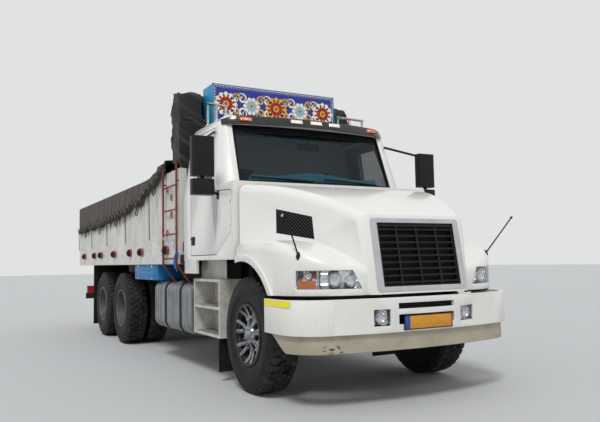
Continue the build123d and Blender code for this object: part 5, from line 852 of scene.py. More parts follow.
# Bonnet lip: a black rubber strip along the bonnet's lower front edge, pushed on
# over the panel's flange.
def grow(made, by):
    # Thickens a sheet of faces by one shift, and gives the points that were shifted
    grown = bmesh.ops.extrude_face_region(made, geom=made.faces[:])["geom"]
    shifted = [v for v in grown if isinstance(v, bmesh.types.BMVert)]
    bmesh.ops.translate(made, verts=shifted, vec=by)
    return shifted


LIP_INNER = 0.540
lip = merged("bonnet")
bmesh.ops.delete(lip, geom=[f for f in lip.faces
                            if f.normal.z > -0.95 or f.calc_center_median().z > 0.967
                            or f.calc_center_median().x < 4.32], context="FACES")
for half in (-1, 1):
    # The lip stops short of the hinge horns
    bmesh.ops.bisect_plane(lip, geom=lip.verts[:] + lip.edges[:] + lip.faces[:],
                           plane_co=(0, half * LIP_INNER, 0), plane_no=(0, 1, 0))
bmesh.ops.delete(lip, geom=[f for f in lip.faces if abs(f.calc_center_median().y) < LIP_INNER],
                 context="FACES")
bmesh.ops.scale(lip, verts=grow(lip, (-0.012, 0, -0.017)), vec=(1, 0.988, 1))
bmesh.ops.recalc_face_normals(lip, faces=lip.faces)
keep("bonnet_lip", lip, strap_rubber, "bonnet")

# Headlamps: a clear moulded lens over bright reflectors in a silvered housing,
# with an amber turn-signal window low at the outer end.
clear_lens, clear_add, clear_shader = new_material("clear_lens")
fill(
    clear_shader,
    Base_Color="#f6f8fa",
    Roughness=0.03,
    Transmission_Weight=1.0,
    IOR=1.38,
    Normal=clear_add("Bump", Height=clear_add("TexNoise", clear_add("TexCoord").outputs["Object"], 30.0,
                                              2.0, 0.55), Distance=0.0002),
)
reflector, reflector_add, reflector_shader = new_material("reflector")
fill(
    reflector_shader,
    Metallic=1.0,
    Roughness=0.14,
    Base_Color=reflector_add("Mix", reflector_add("TexNoise", reflector_add("TexCoord").outputs["Object"],
                                                  20.0, 5.0, 0.55), "#f2f3f4", "#b9bbbd",
                             data_type="RGBA"),
)
lens_clear = lens("lens_clear", "#e9e6dc", 0.10)
lens_orange = lens("lens_orange", "#db6a1c", 0.10)
LAMP_CORNER = (4.11, 0.575)
LAMP_R = 0.640
BOWL = ((0.0, 1.0), (-0.12, 0.97), (-0.35, 0.82), (-0.58, 0.55), (-0.68, 0.25), (-0.70, 0.12),
        (-0.45, 0.12), (-0.40, 0.0))


def bowl(made, at, axis, radius, steps=28):
    # A reflector dish with its bulb, open along the axis
    turned(made, [(along * radius, out * radius) for along, out in BOWL], at, axis, steps)


def arc_block(made, side, inner, outer, low_z, high_z, start, end, steps=8):
    # A block that follows the lamp's round corner from one angle to another
    ring = [made.verts.new((LAMP_CORNER[0] + radius * math.cos(start),
                            side * (LAMP_CORNER[1] + radius * math.sin(start)), z))
            for radius, z in ((inner, low_z), (outer, low_z), (outer, high_z), (inner, high_z))]
    face = made.faces.new(ring)
    bmesh.ops.spin(made, geom=[face], cent=(LAMP_CORNER[0], side * LAMP_CORNER[1], 0),
                   axis=(0, 0, side), angle=end - start, steps=steps)


housing = merged("headlamps")
lamp_lens = housing.copy()


def faces_out(face):
    # Whether a face is on the lamp's outer surface, which the lens covers
    at = face.calc_center_median()
    outer = math.hypot(at.x - LAMP_CORNER[0], max(abs(at.y) - LAMP_CORNER[1], 0.0))
    return abs(face.normal.z) < 0.7 and outer > LAMP_R - 0.012 and face.normal.x > 0.2


bmesh.ops.delete(housing, geom=[f for f in housing.faces if faces_out(f)], context="FACES")
bmesh.ops.delete(lamp_lens, geom=[f for f in lamp_lens.faces if not faces_out(f)], context="FACES")
bmesh.ops.solidify(lamp_lens, geom=lamp_lens.faces[:], thickness=0.004)
keep("headlamp_lenses", lamp_lens, clear_lens, "bonnet")
bmesh.ops.solidify(housing, geom=housing.faces[:], thickness=0.002)
for side in (-1, 1):
    bowl(housing, (4.652, side * 0.835, 1.098), (1, side * 0.12, 0), 0.066)
    bowl(housing, (4.692, side * 0.700, 1.085), (1, side * 0.06, 0), 0.054)
    bowl(housing, (4.520, side * 1.020, 1.132), (0.75, side * 0.66, 0), 0.038)
housing_piece = keep("headlamp_housings", housing, reflector, "bonnet", 40.0)
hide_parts("headlamps")
amber = bmesh.new()
dividers = bmesh.new()
for side in (-1, 1):
    arc_block(amber, side, 0.618, 0.634, 1.026, 1.094, math.radians(40.5), math.radians(55.0))
    arc_block(dividers, side, 0.585, 0.634, 1.024, 1.176, math.radians(38.2), math.radians(39.6), 2)
bmesh.ops.recalc_face_normals(amber, faces=amber.faces)
bmesh.ops.recalc_face_normals(dividers, faces=dividers.faces)
keep("turn_signals", amber, lens_orange, "bonnet")
keep("lamp_dividers", dividers, satin_silver_and_painted_shade, "bonnet")

# Guide rods: black sprung rods that show the driver the wings' corners. Each has a
# knob on its tip and stands in a rubber socket on the wing.
ROD_ENDS = (((4.475, -1.085, 1.310), (4.475, -1.155, 1.510)),
            ((4.475, 1.085, 1.310), (4.475, 1.465, 1.675)))
ROD_KNOB = ((-0.008, 0.0), (-0.006, 0.010), (0.004, 0.013), (0.014, 0.010), (0.016, 0.0))
ROD_SOCKET = ((-0.020, 0.022), (0.0, 0.020), (0.010, 0.014), (0.030, 0.010), (0.030, 0.0))
paint_node(black_nylon, "guide_rods")
knobs = bmesh.new()
for rod_base, rod_tip in ROD_ENDS:
    turned(knobs, ROD_KNOB, rod_tip, Vector(rod_tip) - Vector(rod_base), 14)
    turned(knobs, ROD_SOCKET, rod_base, (0, 0, 1), 16)
keep("rod_knobs", knobs, strap_rubber, "bonnet")

# Valance: a moulded plastic apron under the bumper, left in beige-grey. Kerbs have
# scuffed it along the lower edge, down to dark scrapes.
valance_beige, beige_add, beige_shader = new_material("valance_beige")
beige_at = beige_add("TexCoord").outputs["Object"]
beige_cloud = beige_add("MapRange", beige_add("TexNoise", beige_at, 4.0, 8.0, 0.55), 0.35, 0.75)
beige_low = beige_add("MapRange", beige_add("SeparateXYZ", beige_at).outputs["Z"], 0.60, 0.56)
scratch_at = beige_add("Mapping", Vector=beige_at, Scale=(9, 9, 34))
chip_spread = beige_add("VectorMath", beige_at, (4.80, -0.92, 0.515),
                        operation="DISTANCE").outputs["Value"]
chip_limit = beige_add("MapRange", chip_spread, 0.05, 0.17, 0.50, 0.66)
chip_noise = beige_add("TexNoise", scratch_at, 2.2, 6.0, 0.7)
scrapes = beige_add("MapRange", beige_add("Math", chip_noise, chip_limit, operation="SUBTRACT"), 0.0,
                    0.02)
beige_base = beige_add("Mix", beige_cloud, "#b3ab98", "#9c9483", data_type="RGBA")
fill(
    beige_shader,
    Base_Color=beige_add("Mix", beige_add("Math", scrapes, beige_low, operation="MULTIPLY"), beige_base,
                         "#2a2723", data_type="RGBA"),
    Roughness=0.55,
    Normal=beige_add("Bump", Height=beige_add("TexNoise", beige_at, 180.0, 5.0, 0.55), Distance=0.0004),
)
smooth_copy("valance", "chassis", valance_beige, 0.006)

# Fog lamps: square moulded housings in the bumper's openings, each with a dished
# reflector behind a flat lens.
fog = bmesh.new()
fog_lens = bmesh.new()
FOG_TURN = 0.11
for side in (-1, 1):
    back, lens_at = bmesh.new(), bmesh.new()
    block(back, (-0.055, -0.076, -0.064), (0.0, 0.076, 0.064))
    front = [f for f in back.faces if f.normal.x > 0.9]
    bmesh.ops.inset_region(back, faces=front, thickness=0.010)
    bmesh.ops.translate(back, verts=front[0].verts, vec=(-0.048, 0, 0))
    bowl(back, (-0.006, 0.0, 0.0), (1, 0, 0), 0.056)
    block(lens_at, (-0.004, -0.066, -0.054), (0.000, 0.066, 0.054), 0.0015)
    turn = Matrix.Translation((4.812, side * 0.472, 0.770)) @ Matrix.Rotation(side * FOG_TURN, 4, "Z")
    for part, whole in ((back, fog), (lens_at, fog_lens)):
        bmesh.ops.transform(part, matrix=turn, verts=part.verts)
        pour(part, whole)
fog_piece = keep("fog_housings", fog, reflector, "chassis", 40.0)
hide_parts("fog_lamps")
keep("fog_lenses", fog_lens, clear_lens, "chassis")

# Bumper trim: a black grid behind the two slots, a strip of yellow marking tape on
# the right corner, and the front plate, which is left blank.
grid = bmesh.new()
for slot_low, slot_high in ((0.834, 0.892), (0.701, 0.794)):
    block(grid, (4.792, -0.314, slot_low), (4.796, 0.314, slot_high))
    for number in range(25):
        y = -0.300 + 0.025 * number
        block(grid, (4.796, y - 0.002, slot_low), (4.804, y + 0.002, slot_high))
keep("bumper_grid", grid, black_nylon, "chassis")
tape_yellow = dusted("tape_yellow", "#f8e70a", "#b9ae3a", 0.12, 0.3, 12.0, 0.0002)
tape = bmesh.new()
TAPE_Z = (0.876, 0.930)
CORNER_AT = (4.4055, -0.8993)
CORNER_R = 0.3435
tape_line = [(4.118, -1.2428), (4.250, -1.2428)]
for step in range(6):
    turn = math.radians(-91 + 5 * step)
    tape_line.append((CORNER_AT[0] + CORNER_R * math.cos(turn),
                      CORNER_AT[1] + CORNER_R * math.sin(turn)))
tape_edge = [(tape.verts.new((x, y, TAPE_Z[0])), tape.verts.new((x, y, TAPE_Z[1])))
             for x, y in tape_line]
for (low_a, high_a), (low_b, high_b) in zip(tape_edge, tape_edge[1:]):
    tape.faces.new((low_a, low_b, high_b, high_a))
bmesh.ops.recalc_face_normals(tape, faces=tape.faces)
keep("marking_tape", tape, tape_yellow, "chassis")
plate_orange = dusted("plate_orange", "#d9932a", "#7d5a26", 0.4, 0.35, 14.0, 0.0004)
plate_blue = dusted("plate_blue", "#23479f", "#3d4660", 0.4, 0.35, 14.0, 0.0004)


def four_strips(made, x, half, z, wide, tall, bevel):
    # Four strips round a plate that stands across the truck
    for low_y, high_y, low_z, high_z in ((-half, half, z[0], z[0] + tall),
                                         (-half, half, z[1] - tall, z[1]),
                                         (-half, wide - half, z[0], z[1]),
                                         (half - wide, half, z[0], z[1])):
        block(made, (x[0], low_y, low_z), (x[1], high_y, high_z), bevel)


plate = bmesh.new()
block(plate, (4.853, -0.205, 0.664), (4.8555, 0.260, 0.774), 0.0008)
keep("plate_field", plate, plate_orange, "chassis")
strip = bmesh.new()
block(strip, (4.853, -0.260, 0.664), (4.8555, -0.206, 0.774), 0.0008)
keep("plate_strip", strip, plate_blue, "chassis")
holder = bmesh.new()
block(holder, (4.845, -0.268, 0.656), (4.853, 0.268, 0.782), 0.003)
four_strips(holder, (4.853, 4.8575), 0.268, (0.656, 0.782), 0.007, 0.007, 0.001)
keep("plate_holder", holder, black_nylon, "chassis")

# Glazing: green-tinted float glass, laminated in the windscreen, held by black
# rubber seals. Along the windscreen's top a black band is painted where the sun
# visor shades the glass: painted shade.
tint_glass, _, tint_shader = new_material("tint_glass")
fill(tint_shader, Base_Color="#0b2029", Roughness=0.02, Alpha=0.40, IOR=1.45)
# Black rubber for the seals; the same black also makes the visor's painted shade on the windscreen
seal_rubber_and_painted_shade = dusted("seal_rubber_and_painted_shade", "#0a0a0b", "#3b3935", 0.2, 0.6, gloss=0.25)
SEAL_W = 0.030
SEAL_T = 0.004
VISOR_SHADE_Z = 2.700


def outer_faces(node, facing):
    # The outer surface of a pane, as loose merged faces
    made = merged(node)
    bmesh.ops.delete(made, geom=[f for f in made.faces if f.normal.dot(facing) < 0.35], context="FACES")
    bmesh.ops.dissolve_limit(made, angle_limit=math.radians(0.5), verts=made.verts, edges=made.edges)
    return made


def pane_border(node, facing, width, thick):
    # A strip round the pane's edge, laid on its outer surface
    made = outer_faces(node, facing)
    ring = set(bmesh.ops.inset_region(made, faces=made.faces[:], thickness=width,
                                      use_boundary=True, use_even_offset=True)["faces"])
    bmesh.ops.delete(made, geom=[f for f in made.faces if f not in ring], context="FACES")
    grow(made, facing.normalized() * thick)
    bmesh.ops.recalc_face_normals(made, faces=made.faces)
    return made


paint_node(tint_glass, "windscreen", "door_glass_left", "door_glass_right")
SCREEN_FACING = Vector((0.9, 0, 0.42))
seals = pane_border("windscreen", SCREEN_FACING, SEAL_W, SEAL_T)
keep("windscreen_seal", seals, seal_rubber_and_painted_shade, "chassis")
# Painted shade: a black sheet on the windscreen's top, where the sun visor shades it
visor_shade = outer_faces("windscreen", SCREEN_FACING)
bmesh.ops.bisect_plane(visor_shade, geom=visor_shade.verts[:] + visor_shade.edges[:] + visor_shade.faces[:],
                       plane_co=(0, 0, VISOR_SHADE_Z), plane_no=(0, 0, 1), clear_inner=True)
grow(visor_shade, SCREEN_FACING.normalized() * 0.0015)
bmesh.ops.recalc_face_normals(visor_shade, faces=visor_shade.faces)
keep("painted_visor_shade", visor_shade, seal_rubber_and_painted_shade, "chassis")
for door_name, side in (("left", 1), ("right", -1)):
    border = pane_border("door_glass_" + door_name, Vector((0, side, 0.12)), 0.022, 0.003)
    keep("door_seal_" + door_name, border, seal_rubber_and_painted_shade, "door_" + door_name)

# Wipers: two black pressed-steel arms with rubber blades, parked low on the
# windscreen, each on a capped spindle in the cowl.
screen_tree = BVHTree.FromBMesh(outer_faces("windscreen", SCREEN_FACING))


def on_screen(y, z, off):
    # The point so far off the windscreen's outer surface
    at, normal, _, _ = screen_tree.ray_cast(Vector((4.0, y, z)), Vector((-1, 0, 0)))
    return at + (normal if normal.x > 0 else -normal) * off


wipers = bmesh.new()
for foot_y, tip_y in ((-0.120, -0.860), (0.780, 0.020)):
    span = [foot_y + (tip_y - foot_y) * step / 8 for step in range(9)]
    blade = [on_screen(y, 2.136 + 0.0035 * step, 0.010) for step, y in enumerate(span)]
    spine = [on_screen(y, 2.138 + 0.0042 * step, 0.022) for step, y in enumerate(span)]
    for line, radius in ((blade, 0.004), (spine, 0.006)):
        for start, end in zip(line, line[1:]):
            rod(wipers, start, end, radius, 6)
    spindle = on_screen(foot_y, 2.128, 0.012)
    rod(wipers, spindle, spine[4], 0.009, 8, 0.005)
    turned(wipers, ((-0.016, 0.0), (-0.016, 0.018), (0.010, 0.016), (0.020, 0.0)), spindle,
           SCREEN_FACING, 14)
keep("wipers", wipers, black_nylon, "chassis")

# Dashboard: grained soft plastic in dark grey, with a turquoise plush cover laid
# over its top. Its front edge falls in soft scallops, and a covered box stands on it.
dash_grey = dusted("dash_grey", "#2a2c30", "#55534f", 0.25, 0.6, 7.0, 0.0008)
dash_plush = cloth_like("dash_plush", "#1fb4da", "#48d6ee", 420, 1.0, 0.8, 0.8)
paint_node(dash_grey, "dashboard")
DASH_TOP = 2.030
PLUSH_X = (2.925, 3.325)
PLUSH_HALF = 0.960
PLUSH_DROP = 0.085
PLUSH_STEPS = (34, 88)
HOOD_X = 2.945
HOOD_H = 0.225


def ramp(value, start, length):
    # Rises from none to all over a length, and stays there
    return min(1.0, max(0.0, (value - start) / length))


def weave(made, rows):
    # Joins rows of points into one sheet of four-sided faces
    for first, second in zip(rows, rows[1:]):
        for at in range(len(first) - 1):
            made.faces.new((first[at], first[at + 1], second[at + 1], second[at]))
    bmesh.ops.recalc_face_normals(made, faces=made.faces)


plush = bmesh.new()
rows = []
for along in range(PLUSH_STEPS[1] + 1):
    y = PLUSH_HALF * (2 * along / PLUSH_STEPS[1] - 1)
    row = []
    scallop = 0.55 + 0.45 * abs(math.cos(y * 11.0))
    for across in range(PLUSH_STEPS[0] + 1):
        t = across / PLUSH_STEPS[0]
        run = t * (PLUSH_X[1] - PLUSH_X[0] + PLUSH_DROP)
        flat_run = PLUSH_X[1] - PLUSH_X[0]
        hood = math.exp(-((PLUSH_X[1] - run - HOOD_X) / 0.055) ** 2) * ramp(0.93 - abs(y), 0.0, 0.12)
        lift = (0.004 + 0.006 * abs(math.sin(y * 17.0 + t * 5.0)) + 0.003 * math.sin(y * 41.0 - t * 9.0)
                + HOOD_H * hood * (0.88 + 0.12 * math.cos(y * 5.2)))
        if run < flat_run:
            spot = (PLUSH_X[1] - run, y, DASH_TOP + lift + 0.004)
        else:
            over = run - flat_run
            spot = (PLUSH_X[0] - 0.024 - 0.010 * math.sin(over * 30), y,
                    DASH_TOP + 0.004 + lift * max(0.0, 1 - over * 30) - over * scallop)
        row.append(plush.verts.new(spot))
    rows.append(row)
weave(plush, rows)
bmesh.ops.solidify(plush, geom=plush.faces[:], thickness=0.003)
plush_piece = keep("dash_cover", plush, dash_plush, "chassis", 60.0)
dash_box = bmesh.new()
block(dash_box, (2.800, -0.170, DASH_TOP + 0.040), (2.930, 0.110, DASH_TOP + 0.235), 0.022)
keep("dash_box", dash_box, dash_plush, "chassis", 50.0)
inside = bmesh.new()
block(inside, (2.760, -0.150, 2.560), (2.790, 0.150, 2.640), 0.014)
rod(inside, (2.775, 0.0, 2.600), (2.800, 0.0, 2.700), 0.008, 10)
block(inside, (2.935, 0.330, 1.900), (2.960, 0.790, 2.010), 0.010)
keep("inside_mirror", inside, black_nylon, "chassis")
paint_node(black_nylon, "steering_wheel")

# Seats: foam cushions in a grey ribbed cloth over a black pedestal, with sewn
# channels and a piped edge. The headrest is part of the back.
seat_weave = cloth_like("seat_weave", "#3b3e44", "#6c2c2c", 260, 0.95, 0.4, 0.5)
SEAT_Y = 0.560


def pillow(made, centre, half, lean, channels, cuts=19):
    # A crowned cushion: its sides pull in at the corners, its channels are sewn in
    whole = bmesh.new()
    bmesh.ops.create_cube(whole, size=2.0)
    bmesh.ops.subdivide_edges(whole, edges=whole.edges[:], cuts=cuts, use_grid_fill=True)
    for vert in whole.verts:
        a, b, c = vert.co
        size = (abs(a) ** 7 + abs(b) ** 7 + abs(c) ** 7) ** (1 / 7)
        crown = 1 + 0.16 * (1 - a * a) * (1 - b * b)
        groove = 0.0
        for channel in channels:
            groove = max(groove, math.exp(-((b - channel) / 0.035) ** 2))
        vert.co = Vector((a / size * half[0], b / size * half[1],
                          c / size * half[2] * crown * (1 - 0.14 * groove)))
    bmesh.ops.transform(whole, matrix=Matrix.Translation(centre) @ Matrix.Rotation(lean, 4, "Y"),
                        verts=whole.verts)
    pour(whole, made)


pedestals = bmesh.new()
for side in (-1, 1):
    block(pedestals, (2.110, side * SEAT_Y - 0.170, 1.340), (2.480, side * SEAT_Y + 0.170, 1.640), 0.020)
    block(pedestals, (2.060, side * SEAT_Y - 0.220, 1.630), (2.550, side * SEAT_Y + 0.220, 1.680), 0.014)
    block(pedestals, (2.075, side * SEAT_Y - 0.060, 1.700), (2.105, side * SEAT_Y + 0.060, 2.250), 0.010)
pedestal_piece = keep("seat_pedestals", pedestals, black_nylon, "chassis")
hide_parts("seats")
for seat_name, side in SIDES.items():
    cushion = bmesh.new()
    pillow(cushion, (2.330, side * SEAT_Y, 1.745), (0.250, 0.238, 0.066), 0.05, (-0.55, 0.0, 0.55))
    keep("cushion_" + seat_name, cushion, seat_weave, "chassis", 60.0)
    back = bmesh.new()
    pillow(back, (2.150, side * SEAT_Y, 2.020), (0.265, 0.232, 0.056), -math.pi / 2 - 0.20,
           (-0.55, 0.0, 0.55))
    pillow(back, (2.100, side * SEAT_Y, 2.325), (0.072, 0.135, 0.050), -math.pi / 2 - 0.20, ())
    keep("backrest_" + seat_name, back, seat_weave, "chassis", 60.0)

# Sun visor: smoked acrylic moulded in one piece, with two amber end lamps and three
# clear ones let into its front.
visor_smoke, visor_add, visor_shader = new_material("visor_smoke")
fill(
    visor_shader,
    Base_Color=visor_add("Mix", visor_add("TexNoise", visor_add("TexCoord").outputs["Object"], 5.0, 5.0,
                                          0.55), "#101113", "#1e1e1f", data_type="RGBA"),
    Roughness=0.22,
    Coat_Weight=0.5,
    Coat_Roughness=0.05,
)
VISOR_LOW, VISOR_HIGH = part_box("sun_visor")
VISOR_BEND = 0.900


def hooded(made):
    # Leans the visor's face back towards its top, and draws its ends back and down
    for vert in made.verts:
        up = ramp(vert.co.z, VISOR_LOW[2], VISOR_HIGH[2] - VISOR_LOW[2])
        out = max(0.0, (abs(vert.co.y) - VISOR_BEND) / (VISOR_HIGH[1] - VISOR_BEND))
        vert.co.x -= 0.026 * up * up + 0.050 * out * out
        vert.co.z -= 0.034 * out * out * up


visor = merged("sun_visor", FLAT_ANGLE)
round_edges(visor, [e for e in visor.edges if len(e.link_faces) == 2 and e.calc_face_angle(0) > 0.5],
            0.022, 5)
for step in range(7):
    for side in (-1, 1):
        bmesh.ops.bisect_plane(visor, geom=visor.verts[:] + visor.edges[:] + visor.faces[:],
                               plane_co=(0, side * (VISOR_BEND + 0.026 * step), 0), plane_no=(0, 1, 0))
hooded(visor)
visor_piece = keep("visor_hood", visor, visor_smoke, "chassis", 50.0)
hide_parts("sun_visor")
visor_lamps = merged("marker_lamps")
bmesh.ops.delete(visor_lamps, geom=[f for f in visor_lamps.faces if f.calc_center_median().z < 2.5],
                 context="FACES")
bmesh.ops.dissolve_limit(visor_lamps, angle_limit=FLAT_ANGLE, verts=visor_lamps.verts,
                         edges=visor_lamps.edges)
round_edges(visor_lamps, [e for e in visor_lamps.edges if e.calc_face_angle(0) > 0.6], 0.004,
            clamped=False)
bmesh.ops.translate(visor_lamps, vec=(0.024, 0, -0.060), verts=visor_lamps.verts)
hooded(visor_lamps)
lamp_piece = keep("visor_lamps", visor_lamps, lens_clear, "chassis")
lamp_piece.data.materials.append(lens_orange)
for face in lamp_piece.data.polygons:
    face.material_index = 1 if abs(face.center.y) > 0.6 else 0

# Side lamps: black rubber domes in red moulded rims, pressed over stubs along the
# body's floor rail and tipped up a little.
WALL_FACE = 1.250
POD_X = (1.29, 0.08, -0.53, -1.61, -2.65, -3.19, -4.20)
POD_Z = 1.425
DOME = ((0.020, 0.0), (0.018, 0.054), (0.034, 0.056), (0.050, 0.050), (0.063, 0.036), (0.071, 0.018),
        (0.073, 0.0))
RIM = ((0.0, 0.0), (0.0, 0.030), (0.003, 0.030), (0.005, 0.060), (0.020, 0.062), (0.026, 0.056),
       (0.026, 0.0))
pod_domes = bmesh.new()
pod_rims = bmesh.new()
for x in POD_X:
    for side in (-1, 1):
        for pods, profile in ((pod_domes, DOME), (pod_rims, RIM)):
            turned(pods, profile, (x, side * WALL_FACE, POD_Z), (0, side, 0.12), 22)
keep("pod_domes", pod_domes, strap_rubber, "chassis")
pod_piece = keep("pod_rims", pod_rims, lens_red, "chassis")
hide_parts("marker_lamps")

# Mirrors: black moulded heads on bent steel tubes, with flat glass let into their
# rear faces.
mirror_glass, _, glass_shader = new_material("mirror_glass")
fill(glass_shader, Base_Color="#d5dade", Metallic=1.0, Roughness=0.03)
HEAD_INNER_Y = 1.325
HEAD_Y = 1.450
BRACKET_Y = 1.226
for mirror_name, side in SIDES.items():
    door = "door_" + mirror_name
    heads = merged("mirror_" + mirror_name, FLAT_ANGLE)
    round_edges(heads, [e for e in heads.edges if e.calc_length() > 0.05 and e.calc_face_angle(0) > 1.2
                        and min(abs(v.co.y) for v in e.verts) > HEAD_INNER_Y], 0.026, 4)
    head_piece = keep("mirror_heads_" + mirror_name, heads, black_nylon, door, 40.0)
    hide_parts("mirror_" + mirror_name)
    faces = bmesh.new()
    block(faces, (3.0735, side * HEAD_Y - 0.095, 2.175), (3.0765, side * HEAD_Y + 0.095, 2.515), 0.001)
    block(faces, (3.0635, side * HEAD_Y - 0.090, 1.972), (3.0665, side * HEAD_Y + 0.090, 2.088), 0.001)
    keep("mirror_glass_" + mirror_name, faces, mirror_glass, door)
    brackets = bmesh.new()
    block(brackets, (2.960, side * BRACKET_Y - 0.004, 1.925), (3.020, side * BRACKET_Y + 0.006, 2.015),
          0.004)
    for z in (1.945, 1.995):
        turned(brackets, ((0.0, 0.009), (0.008, 0.009), (0.010, 0.0)), (2.975, side * 1.228, z),
               (0, side, 0), 8)
    keep("mirror_bracket_" + mirror_name, brackets, black_nylon, door)

# Door handles: a black moulded pull in a square dish near each door's rear edge, with
# the lock's round barrel under it.
for door_name, side in SIDES.items():
    pull = bmesh.new()
    low_y, high_y = sorted((side * 1.2250, side * 1.2290))
    block(pull, (2.150, low_y, 1.462), (2.268, high_y, 1.562), 0.0015)
    low_y, high_y = sorted((side * 1.2290, side * 1.2440))
    block(pull, (2.162, low_y, 1.522), (2.256, high_y, 1.548), 0.005)
    turned(pull, ((0.0, 0.013), (0.006, 0.013), (0.008, 0.0)), (2.209, side * 1.229, 1.487),
           (0, side, 0), 16)
    keep("door_pull_" + door_name, pull, black_nylon, "door_" + door_name)

# Bonnet studs: a round chromed steel stud on each flank of the bonnet near the
# cab, screwed into the panel.
STUD = ((0.0, 0.017), (0.006, 0.017), (0.012, 0.010), (0.013, 0.0))
studs = bmesh.new()
for side in (-1, 1):
    turned(studs, STUD, (3.955, side * 0.962, 1.690), (0.1, side, 0.1), 16)
keep("intake_studs", studs, bright_chrome, "bonnet")

# Roof rack: a rail of bent steel tube, chromed like the wheels' nuts, on round feet
# that are bolted to the roof.
smooth_copy("roof_rack", "chassis", bright_chrome)
rack_feet = bmesh.new()
for x in (2.545, 2.245, 1.945):
    for side in (-1, 1):
        turned(rack_feet, ((-0.010, 0.0), (-0.010, 0.032), (0.006, 0.030), (0.012, 0.020), (0.012, 0.0)),
               (x, side * 0.940, 2.935), (0, 0, 1), 16)
keep("rack_feet", rack_feet, bright_chrome, "chassis")

# Crown box: a sheet-metal box in turquoise, closed by a painted board. The board
# is royal blue with a gold border, rosettes and scrolling vines, laid on by hand
# in glossy enamel.
crown_blue = dusted("crown_blue", "#1a93c4", "#4c7f93", 0.3, 0.4, 5.0, 0.0005)
board_blue = dusted("board_blue", "#0b2f92", "#1b3f97", 0.3, 0.35, 6.0, 0.0003)
smooth_copy("crown_box", "chassis", crown_blue, 0.006)
BOARD_X = 1.9505
BOARD_HALF = 0.868
BOARD_Z = (2.998, 3.472)
BOARD_MID = (BOARD_Z[0] + BOARD_Z[1]) / 2
board = bmesh.new()
block(board, (BOARD_X, -BOARD_HALF, BOARD_Z[0]), (BOARD_X + 0.005, BOARD_HALF, BOARD_Z[1]), 0.001)
keep("crown_board", board, board_blue, "chassis")
paints = {}
for paint_name, paint_hex in (("gold", "#d9a63a"), ("cream", "#efe6d2"), ("red", "#a82a2c"),
                              ("sky", "#7fb9de"), ("leaf", "#6f8f4a")):
    paints[paint_name] = (dusted("board_" + paint_name, paint_hex, "#8c8474", 0.15, 0.4, 12.0, 0.0003),
                          bmesh.new())


def dab(paint, level, outline):
    # One touch of paint: a flat shape, its points given as (y, z) on the board
    made = paints[paint][1]
    x = BOARD_X + 0.0051 + 0.0004 * level
    made.faces.new([made.verts.new((x, y, z)) for y, z in outline])


def petal(paint, level, at, turn, inner, outer, width, steps=10):
    # A pointed leaf that starts so far from the middle and points outwards
    line = []
    for step in range(2 * steps):
        t = step / steps
        along = inner + (outer - inner) * (t if t <= 1 else 2 - t)
        share = t if t <= 1 else 2 - t
        aside = width * math.sin(math.pi * share) ** 0.8 * (1 if t <= 1 else -1) * (0.75 + 0.5 * share) / 2
        line.append((at[0] + along * math.cos(turn) - aside * math.sin(turn),
                     at[1] + along * math.sin(turn) + aside * math.cos(turn)))
    dab(paint, level, line)


def disc(paint, level, at, radius, steps=24):
    # A round dab
    dab(paint, level, [(at[0] + radius * math.cos(2 * math.pi * n / steps),
                        at[1] + radius * math.sin(2 * math.pi * n / steps)) for n in range(steps)])


def vine(paint, level, at, start, turns, grow, width, hand, steps=36):
    # A scroll that widens from its eye outwards and thins again to its tip
    spots = []
    for step in range(steps + 1):
        t = step / steps
        angle = start + hand * turns * 2 * math.pi * t
        radius = grow * (0.12 + 0.88 * t)
        wide = width * (0.35 + math.sin(math.pi * min(1.0, t * 1.05)) * 0.65)
        spots.append((angle, radius, wide))
    for first, second in zip(spots, spots[1:]):
        dab(paint, level, [(at[0] + (radius + s * wide / 2) * math.cos(angle),
                            at[1] + (radius + s * wide / 2) * math.sin(angle))
                           for (angle, radius, wide), s in
                           ((first, -1), (first, 1), (second, 1), (second, -1))])


def rosette(at, size, outer_paint, inner_paint, petals):
    # A flower seen from the front: two rings of petals about a gold boss
    for number in range(petals):
        turn = 2 * math.pi * number / petals
        petal(outer_paint, 2, at, turn, size * 0.28, size, size * 0.50)
        petal(inner_paint, 3, at, turn + math.pi / petals, size * 0.18, size * 0.66, size * 0.30)
    disc("gold", 4, at, size * 0.26)
    disc("red", 5, at, size * 0.13)


ROSETTE_Y = (-0.700, -0.350, 0.0, 0.350, 0.700)
for number, y in enumerate(ROSETTE_Y):
    if number % 2:
        rosette((y, BOARD_MID), 0.120, "cream", "sky", 10)
    else:
        rosette((y, BOARD_MID), 0.158, "cream" if number != 2 else "gold", "red", 12)
for middle in (-0.525, -0.175, 0.175, 0.525):
    for up_down in (-1, 1):
        vine("cream", 1, (middle + 0.045, BOARD_MID + up_down * 0.088), 0.5, 1.35, 0.072, 0.026, up_down)
        vine("gold", 1, (middle - 0.045, BOARD_MID + up_down * 0.082), 2.4, 1.35, 0.070, 0.024, -up_down)
        for number in range(5):
            petal("leaf" if number % 2 else "gold", 2, (middle, BOARD_MID + up_down * 0.030),
                  up_down * (0.5 + 0.53 * number), 0.070, 0.128, 0.024)
        disc("red", 3, (middle, BOARD_MID + up_down * 0.155), 0.013)
for number in range(44):
    y = -0.817 + 0.038 * number
    for z in (BOARD_Z[0] + 0.030, BOARD_Z[1] - 0.030):
        petal("gold", 1, (y, z), 0.6, -0.012, 0.014, 0.012)
for number in range(11):
    z = BOARD_Z[0] + 0.055 + 0.0364 * number
    for y in (-0.838, 0.838):
        petal("gold", 1, (y, z), 2.1, -0.012, 0.014, 0.012)
